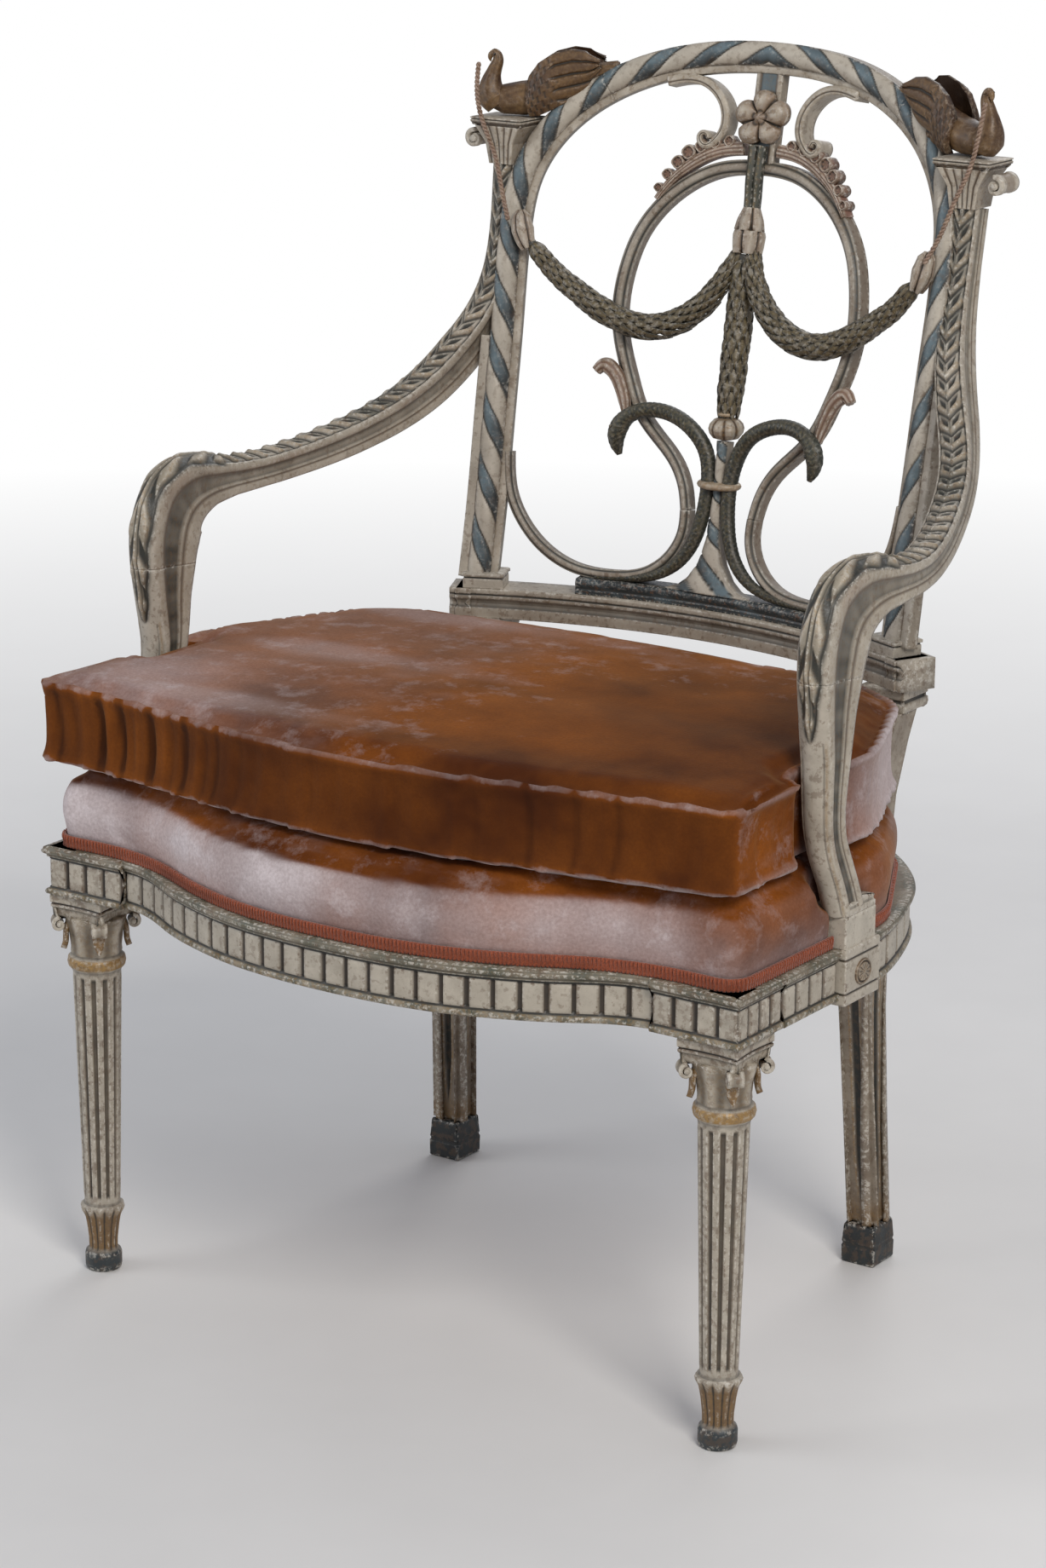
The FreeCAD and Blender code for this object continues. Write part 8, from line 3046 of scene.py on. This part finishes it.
    def skins(self) -> list[Skin]:
        """The whole bird.

        Returns:
            The skins.
        """
        at = self.at
        body = self.tube([at(5, 13), at(16, 13), at(30, 14), at(46, 16), at(66, 24), at(90, 35), at(112, 43)],
                         (3, 12, 14, 14, 12, 9, 6, 2.5), (3, 12, 14, 14, 13, 10, 6, 2.5), self.down())
        neck = self.tube([at(17, 9), at(11, 19), at(11.5, 31), at(15, 41), at(16, 48), at(13.6, 51), at(11.2, 49.4)],
                         (11, 13, 11, 8.6, 6.4, 5.2, 4.0, 3.0), (11, 13, 11, 8.4, 6.2, 5.0, 4.0, 3.0), self.down(0.5))
        beak = self.tube([at(13, 50.4), at(10.6, 49.6), at(9.6, 47), at(10.2, 44)], (3.2, 2.6, 1.8, 0.5),
                         (3.2, 2.6, 1.8, 0.5), plain(mix(GOLD, BROWN, 0.6), 0.3, 0.3), 16, 30)
        eyes = [ball(at(14, 50.5, side * 4.6), 1.1, INK * 0.6) for side in (-1, 1)]
        tail = [self.tube([at(78, 30, side * 0.6), at(98, 39, side), at(117, 45 - abs(side) * 0.3, side * 1.3)],
                          (5, 6, 2.2), (3, 2.8, 1.4), self.down(0.5), 18, 40) for side in (-6, 0, 6)]
        skins = [body, neck, beak] + eyes + tail + [self.wing(-1.0), self.wing(1.0)]
        for skin in skins:
            skin.grid[..., 2] = np.maximum(skin.grid[..., 2], self.base)
        return skins


# Upholstery

@dataclass
class Upholstery:
    """The stuffed pad, its ribbed braid and the loose box cushion, all in velvet."""
    voxel: float = 0.006
    pressure: float = 4.0
    frames: int = 20
    quality: int = 5
    stiffness: float = 12.0
    pad_cap: float = 0.004
    cushion_cap: float = 0.007
    cushion_bottom: float = 420.3
    cushion_top: float = 488.3
    cushion_half: float = 314.0
    cushion_shift: float = -7.0
    cushion_front: float = -241.0
    rib_pitch: float = 3.1
    rib_length: float = 9.4
    rib_proud: float = 1.35
    rib_z: float = 361.0
    shortest: int = 8

    def soft_mesh(self, node: str, name: str, shrink: float, cap: float, pressure: float) -> Mesh:
        """A cloth-simulated copy of a soft solid.

        Args:
            node: the solid to copy.
            name: name of the new mesh.
            shrink: how much smaller it starts, in metres.
            cap: how far a point may move, in metres.
            pressure: the cloth's inner pressure.
        Returns:
            The swollen mesh.
        """
        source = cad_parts[node]
        mesh = source.data.copy()
        mesh.name = name
        piece = new_object(name, mesh)
        remesh = piece.modifiers.new("even", "REMESH")
        remesh.mode = "VOXEL"
        remesh.voxel_size = self.voxel
        self.apply(piece)
        outward = read_vectors(piece.data, "normal")
        start = read_vectors(piece.data) - outward * shrink
        piece.data.vertices.foreach_set("co", start.ravel())
        piece.data.update()
        cloth = piece.modifiers.new("swell", "CLOTH")
        cloth.settings.use_pressure = True
        cloth.settings.uniform_pressure_force = pressure
        cloth.settings.effector_weights.gravity = 0
        cloth.settings.quality = self.quality
        cloth.settings.tension_stiffness = self.stiffness
        cloth.settings.compression_stiffness = self.stiffness
        cloth.collision_settings.use_collision = False
        scene = bpy.context.scene
        for number in range(1, self.frames + 1):
            scene.frame_set(number)
        self.apply(piece)
        scene.frame_set(1)
        move = read_vectors(piece.data) - start
        swell = np.sum(move * outward, axis=1)
        slide = move - outward * swell[:, None]
        far = np.linalg.norm(slide, axis=1)
        slide *= (np.minimum(far, cap / 3) / np.maximum(far, 1e-9))[:, None]
        move = slide + outward * np.clip(swell, 0.0, cap)[:, None]
        piece.data.vertices.foreach_set("co", (start + move).ravel())
        piece.data.update()
        smooth = piece.modifiers.new("finer", "SUBSURF")
        smooth.levels = 1
        smooth.render_levels = 1
        self.apply(piece)
        mesh = piece.data
        bpy.data.objects.remove(piece)
        for spare in [item for item in bpy.data.meshes if item.users == 0 and item.name.startswith(name)]:
            if spare != mesh:
                bpy.data.meshes.remove(spare)
        mesh.name = name
        mesh.materials.clear()
        mesh.polygons.foreach_set("use_smooth", np.ones(len(mesh.polygons), bool))
        return mesh

    @staticmethod
    def apply(piece: bpy.types.Object) -> None:
        """Replace the piece's mesh by its evaluated one and drop its modifiers.

        Args:
            piece: the object.
        """
        ready = piece.evaluated_get(bpy.context.evaluated_depsgraph_get())
        mesh = bpy.data.meshes.new_from_object(ready)
        piece.modifiers.clear()
        piece.data = mesh

    @staticmethod
    def arrays(mesh: Mesh) -> tuple[Array, Array]:
        """Places in the maker's mm and normals of all vertices.

        Args:
            mesh: the mesh.
        Returns:
            The places and the normals.
        """
        places = read_vectors(mesh) / MM
        places[:, 1] -= SHIFT
        return places.astype(float), read_vectors(mesh, "normal").astype(float)

    @staticmethod
    def store(mesh: Mesh, places: Array, brushed_sheen_and_shade: Array) -> None:
        """Write back places and the wear attribute: brushed pile and painted sheen above 0, painted shade below 0.

        Args:
            mesh: the mesh.
            places: places in the maker's mm.
            brushed_sheen_and_shade: brushed pile and painted sheen above 0, painted shade below 0, for each place.
        """
        moved = places.copy()
        moved[:, 1] += SHIFT
        mesh.vertices.foreach_set("co", (moved * MM).astype(np.float32).ravel())
        store_values(mesh, "wear", brushed_sheen_and_shade)
        mesh.update()

    def cushion(self) -> Mesh:
        """The loose cushion with piped seams, gathers along its front and soft dents.

        Returns:
            The mesh.
        """
        mesh = self.soft_mesh("loose_cushion", "cushion_skin", 0.004, self.cushion_cap, self.pressure)
        p, n = self.arrays(mesh)
        x, y, z = p.T
        low, high = self.cushion_bottom, self.cushion_top
        side = step(0.75, 0.3, np.abs(n[:, 2]))
        height = np.clip((z - low) / (high - low), 0, 1)
        seam_top = hill(z, high - 1.5, 3.0) * step(0.93, 0.6, np.abs(n[:, 2]))
        seam_low = hill(z, low + 6.0, 3.2) * step(0.93, 0.5, np.abs(n[:, 2]))
        around = np.where(np.abs(n[:, 0]) > 0.7, y, x)
        around = (around + 9.0 * wobble(around / 37.0, height * 1.6, seed=44)
                  + 7.0 * (height - 0.5) * np.sin(around / 61.0))
        folds = np.zeros(len(p))
        for pitch, amount, seed in ((31.0, 1.0, 0.3), (19.0, 0.7, 1.9), (12.5, 0.45, 4.1)):
            folds += amount * np.sin(around * 2 * math.pi / pitch + 1.3 * np.sin(around / 47.0 + seed) + seed)
        gathers = 0.35 + 1.5 * hill(x, -230, 105.0) + 0.35 * hill(x, 180, 120.0)
        fade = bump(height, 0.5, 0.52)
        move = 1.0 * folds * gathers * side * fade
        move += 1.2 * seam_top + 1.6 * seam_low
        top = step(0.5, 0.9, n[:, 2])
        dents = 1.9 * wobble(x / 52.0, y / 46.0, seed=31) + 0.9 * wobble(x / 24.0, y / 31.0, seed=33)
        move += (dents - 3.0) * top + 3.0 * side
        p = p + n * move[:, None]
        for corner, reach in ((-1, 11.0), (1, 5.0)):
            spot = np.array([self.cushion_shift + corner * self.cushion_half, self.cushion_front])
            near = np.exp(-np.sum((p[:, :2] - spot) ** 2, axis=1) / 46.0 ** 2) * step(0, 0.3, height + 0.2)
            way = np.array([corner * 0.8, -0.6])
            p[:, :2] += way * (reach * near)[:, None]
        facing = step(0.2, 0.8, -n[:, 1])
        # Painted sheen on the piped seams.
        brushed_sheen_and_shade = 0.2 * seam_top + 0.2 * seam_low
        # Painted shade on the front faces and in their fold hollows, painted sheen on the fold ridges.
        brushed_sheen_and_shade -= 0.38 * side * facing * (1 - seam_top) * (1 - seam_low)
        brushed_sheen_and_shade += 0.2 * side * step(0.6, 2.2, folds * gathers)
        brushed_sheen_and_shade -= 0.45 * side * facing * step(-0.4, -1.8, folds * gathers)
        # The top paler towards the left and darker towards the front right.
        brushed_sheen_and_shade += 0.1 * top * step(80, -220, x) - 0.3 * top * step(-60, 220, x) * step(80, -100, y)
        # Painted light: the right side paler.
        brushed_sheen_and_shade += 0.75 * step(0.45, 0.95, n[:, 0]) * side * step(-120, 20, y)
        # Painted sheen on the sagging lower lip.
        brushed_sheen_and_shade += 0.75 * step(low + 14, low + 5, z) * step(-0.15, -0.6, n[:, 2])
        brushed_sheen_and_shade += top * 0.2 * step(0.3, 0.9, wobble(x / 90.0, y / 34.0, seed=35))
        brushed_sheen_and_shade += 0.3 * top * np.exp(-((x + 250) / 60.0) ** 2 - ((y + 200) / 60.0) ** 2)
        self.store(mesh, p, np.clip(brushed_sheen_and_shade, -0.9, 0.9))
        return mesh

    def pad(self) -> Mesh:
        """The fixed seat: a swelling pad, brushed, with painted sheen on its sides.

        Returns:
            The mesh.
        """
        mesh = self.soft_mesh("seat_pad", "seat_pad_skin", 0.0012, self.pad_cap, self.pressure)
        p, n = self.arrays(mesh)
        x, _, z = p.T
        side = step(0.85, 0.4, np.abs(n[:, 2]))
        ripple = 0.5 * wobble(x / 30.0, z / 22.0, seed=37) + 0.3 * wobble(x / 13.0, z / 17.0, seed=38)
        p = p + n * (ripple * side)[:, None]
        front = step(0.2, 0.9, -n[:, 1])
        edge = bump(z, 392.0, 30.0)
        streak = wobble(x / 46.0, z / 40.0 + x / 90.0, seed=39) + 0.5 * wobble(x / 17.0, z / 13.0, seed=40)
        left = step(60, -40, x)
        # Painted sheen on the sides, strongest on the front and towards the left, left out near the top in the
        # cushion's shade.
        brushed_sheen_and_shade = side * (front * (0.45 + 0.4 * left + 0.35 * streak) * (0.6 + 0.4 * edge))
        brushed_sheen_and_shade += side * (1 - front) * (0.35 + 0.3 * streak)
        brushed_sheen_and_shade *= step(PAD_EDGE, PAD_EDGE - PAD_SHADE, z)
        self.store(mesh, p, np.clip(brushed_sheen_and_shade, 0, 0.92))
        return mesh

    def outline(self, reveal: float, sides: int) -> Array:
        """Points of the pad's foot in plan, evenly spaced, counter-clockwise from the back.

        Args:
            reveal: how far it stays inside the frame's face.
            sides: number of points.
        Returns:
            x and y of each point.
        """
        front, side = SeatFrame.front_y + reveal, SeatFrame.half_width - reveal
        inner = SeatFrame.half_width - SeatFrame.block_width
        right = [(inner * 0.38, front - SeatFrame.bow, 330), (inner * 0.92, front + 3, 200), (side, front, 16),
                 (side + 3, -35, 90), (side - 52, 75, 70), (202, 136, 8), (0, 142, 900)]
        ring = [(x, y, r) for x, y, r in right] + [(-x, y, r) for x, y, r in right[-2::-1]]
        points = []
        size = len(ring)
        for i in range(size):
            here = np.array(ring[i][:2])
            before, after = np.array(ring[i - 1][:2]), np.array(ring[(i + 1) % size][:2])
            back, ahead = before - here, after - here
            back, ahead = back / np.linalg.norm(back), ahead / np.linalg.norm(ahead)
            half = math.acos(np.clip(back @ ahead, -1, 1)) / 2
            radius = ring[i][2]
            reach = radius / math.tan(half)
            middle = here + (back + ahead) / np.linalg.norm(back + ahead) * (radius / math.sin(half))
            start, stop = here + back * reach, here + ahead * reach
            a0 = math.atan2(*(start - middle)[::-1])
            a1 = math.atan2(*(stop - middle)[::-1])
            turn = (a1 - a0 + math.pi) % (2 * math.pi) - math.pi
            for t in np.linspace(0, 1, max(int(abs(turn) * radius / 4), 3)):
                points.append(middle + radius * np.array([math.cos(a0 + turn * t), math.sin(a0 + turn * t)]))
        path = np.array(points + [points[0]])
        run = lengths_along(path)
        even = np.linspace(0, run[-1], sides)
        return np.column_stack([np.interp(even, run, path[:, 0]), np.interp(even, run, path[:, 1])])

    def gimp(self, palette: Palette) -> Mesh:
        """The braid: a flat band with a rib every few millimetres, set by geometry nodes.

        Args:
            palette: the finishes.
        Returns:
            The mesh.
        """
        path = self.outline(5.0, 1200)
        track = level_track(path)
        if np.mean(np.sum(track.out[:, :2] * path, axis=1)) < 0:
            track = level_track(path[::-1])
        keep = self.clear_of_blocks(track.path[:, :2])
        skins, ribs, outs = [], [], []
        section = outline_section(((356.2, 0.4), (357.0, 1.4), (361.0, 1.7), (365.0, 1.4), (365.8, 0.4)), -0.4, 1.2)
        edges = np.flatnonzero(np.diff(np.concatenate([[0], keep.astype(int), [0]])))
        for first, last in zip(edges[::2], edges[1::2]):
            if last - first < self.shortest:
                continue
            part = track.part(first, last - 1)
            skins.append(Moulded(part, section, self.braid_ground).skin())
            for s in np.arange(2.0, part.run[-1] - 1.0, self.rib_pitch):
                k = int(np.searchsorted(part.run, s))
                ribs.append(part.path[k] + part.out[k] * self.rib_proud + UP * self.rib_z)
                outs.append(part.out[k])
        ribs, outs = np.array(ribs), np.array(outs)
        rib = Rope(Track.along(np.column_stack([np.linspace(-0.5, 0.5, 7), np.zeros(7), 0.06 * np.sin(
            np.linspace(-3, 3, 7))]), np.tile(UP, (7, 1))), 0.13, 0.12, plain(CREAM), 8).skin()
        rib.grid = rib.grid / MM
        shape = skin_to_mesh("rib_shape", [rib])
        for vertex in shape.vertices:
            vertex.co.y -= SHIFT * MM
        up = np.tile(UP, (len(ribs), 1))
        sizes = np.full((len(ribs), 3), self.rib_length)
        ribs_mesh = Spread("rib_spread", jitter=0.04).mesh("gimp_ribs", ribs, euler_of(up, outs), sizes, shape,
                                                           palette.braid)
        return joined_mesh("gimp_skin", [skin_to_mesh("gimp_band", skins), ribs_mesh])

    @staticmethod
    def braid_ground(run: Array, height: Array, proud: Array) -> Paint:
        """Plain ground of the braid."""
        return Paint(np.zeros_like(run), CREAM, 0.0, 0.0)

    @staticmethod
    def clear_of_blocks(points: Array) -> Array:
        """Which places of the outline are clear of the arm plinths and the rear legs.

        Args:
            points: x and y of each place.
        Returns:
            True where a place is clear.
        """
        x, y = np.abs(points[:, 0]), points[:, 1]
        plinth = (x > 296) & (y > -112) & (y < -66)
        leg = (x > 178) & (y > 117)
        return ~(plinth | leg)

    def build(self, palette: Palette) -> None:
        """Make all soft parts.

        Args:
            palette: the finishes.
        """
        pad = place(self.pad(), palette.velvet, ["seat_pad"], "rust_velvet")
        cushion = place(self.cushion(), palette.velvet, ["loose_cushion"], "rust_velvet", Body.CUSHION)
        place(self.gimp(palette), palette.braid, ["gimp_braid"], "orange_braid")


# Hidden parts keep their solids and only get a finish

def dress_hidden(palette: Palette) -> None:
    """Give every solid that still shows a proper finish.

    Args:
        palette: the finishes.
    """
    finishes = {"back_rail": palette.wood, "corner_braces": palette.wood, "frame_dowels": palette.wood,
                "arm_dowels": palette.wood, "frame_screws": palette.steel, "webbing": palette.webbing}
    for name, finish in finishes.items():
        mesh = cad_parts[name].data
        mesh.materials.clear()
        mesh.materials.append(finish)


# Studio

@dataclass
class Studio:
    """Pale floor, soft lights, white surroundings for the camera and the camera itself."""
    camera_place: Triple = (1.728, -2.594, 1.300)
    yaw: float = 34.21
    pitch: float = 16.09
    roll: float = 0.37
    focal: float = 4855.0
    long_side: float = 1840.0
    floor_half: float = 30.0
    floor_fade: tuple[float, float] = (1.1, 3.2)

    def camera(self) -> None:
        """Set up the camera at the photograph's viewing angle."""
        yaw, pitch, roll = (math.radians(v) for v in (self.yaw, self.pitch, self.roll))
        ahead = Vector((-math.sin(yaw) * math.cos(pitch), math.cos(yaw) * math.cos(pitch), -math.sin(pitch)))
        right = Vector((math.cos(yaw), math.sin(yaw), 0))
        up = right.cross(ahead)
        right, up = (right * math.cos(roll) + up * math.sin(roll), up * math.cos(roll) - right * math.sin(roll))
        data = bpy.data.cameras.new("camera")
        data.sensor_width = 36
        data.lens = self.focal * 36 / self.long_side
        data.clip_end = 50
        camera = new_object("camera", data)
        turn = Matrix((right, up, -ahead)).transposed().to_4x4()
        x, y, z = self.camera_place
        camera.matrix_world = Matrix.Translation((x, y + SHIFT * MM, z)) @ turn
        bpy.context.scene.camera = camera

    def lamp(self, name: str, spot: Triple, target: Triple, power: float, size: float,
             tint: Triple = (1.0, 1.0, 1.0)) -> None:
        """Add a square area light that points at a target.

        Args:
            name: its name.
            spot: where it is, in metres.
            target: where it points.
            power: its power in watts.
            size: its side in metres.
            tint: its colour.
        """
        data = bpy.data.lights.new(name, "AREA")
        data.energy = power
        data.size = size
        data.color = tint
        lamp = new_object(name, data)
        lamp.location = spot
        way = Vector(target) - Vector(spot)
        lamp.rotation_euler = way.to_track_quat("-Z", "Y").to_euler()

    def floor(self) -> None:
        """A pale floor that takes the chair's shadow."""
        size = self.floor_half
        mesh = bpy.data.meshes.new("floor")
        mesh.from_pydata([(-size, -size, 0), (size, -size, 0), (size, size, 0), (-size, size, 0)], [], [(0, 1, 2, 3)])
        piece = new_object("floor", mesh)
        graph = Graph.new("pale_floor")
        cloud = graph.noise(3.0, 4.0, 0.6)
        graph.link(graph.blend(graph.ramp(cloud, 0.3, 0.7), srgb(232, 230, 227), srgb(226, 224, 221)),
                   graph.shader.inputs["Base Color"])
        graph.shader.inputs["Roughness"].default_value = 0.6
        graph.fade_to_white(*self.floor_fade)
        mesh.materials.append(graph.material)

    def world(self) -> None:
        """White for the camera, soft bluish light for every other ray."""
        world = bpy.data.worlds.new("studio")
        bpy.context.scene.world = world
        world.use_nodes = True
        nodes, links = world.node_tree.nodes, world.node_tree.links
        nodes.clear()
        rays = nodes.new("ShaderNodeLightPath")
        seen = nodes.new("ShaderNodeBackground")
        seen.inputs["Color"].default_value = (1, 1, 1, 1)
        soft = nodes.new("ShaderNodeBackground")
        soft.inputs["Color"].default_value = (0.86, 0.9, 1.0, 1)
        soft.inputs["Strength"].default_value = 0.42
        pick = nodes.new("ShaderNodeMixShader")
        out = nodes.new("ShaderNodeOutputWorld")
        links.new(rays.outputs["Is Camera Ray"], pick.inputs[0])
        links.new(soft.outputs[0], pick.inputs[1])
        links.new(seen.outputs[0], pick.inputs[2])
        links.new(pick.outputs[0], out.inputs["Surface"])

    def build(self) -> None:
        """Make the studio."""
        self.camera()
        self.floor()
        self.world()
        middle = (0.0, 0.0, 0.5)
        self.lamp("key", (2.6, -2.0, 3.0), middle, 84, 1.3, (1.0, 0.97, 0.93))
        self.lamp("fill", (-2.8, -2.4, 1.9), middle, 34, 2.2, (0.94, 0.97, 1.0))
        self.lamp("back", (-0.6, 2.6, 2.6), middle, 22, 1.6)
        bpy.context.scene.view_settings.view_transform = "Standard"


def main() -> None:
    """Build the whole visual model."""
    logging.basicConfig(level=logging.INFO, format="%(name)s %(message)s")
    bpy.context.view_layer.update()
    palette = Palette()
    seat = SeatFrame()
    seat.build(palette)
    FrontLeg().build(palette, seat)
    RearLeg().build(palette)
    BackFrame().build(palette)
    Tracery().build(palette)
    Snakes().build(palette)
    Garlands().build(palette)
    CentrePost().build(palette)
    TopOrnaments().build(palette)
    Arms().build(palette)
    Capital().build(palette)
    Upholstery().build(palette)
    dress_hidden(palette)
    Studio().build()


if __name__ == "__main__":
    main()
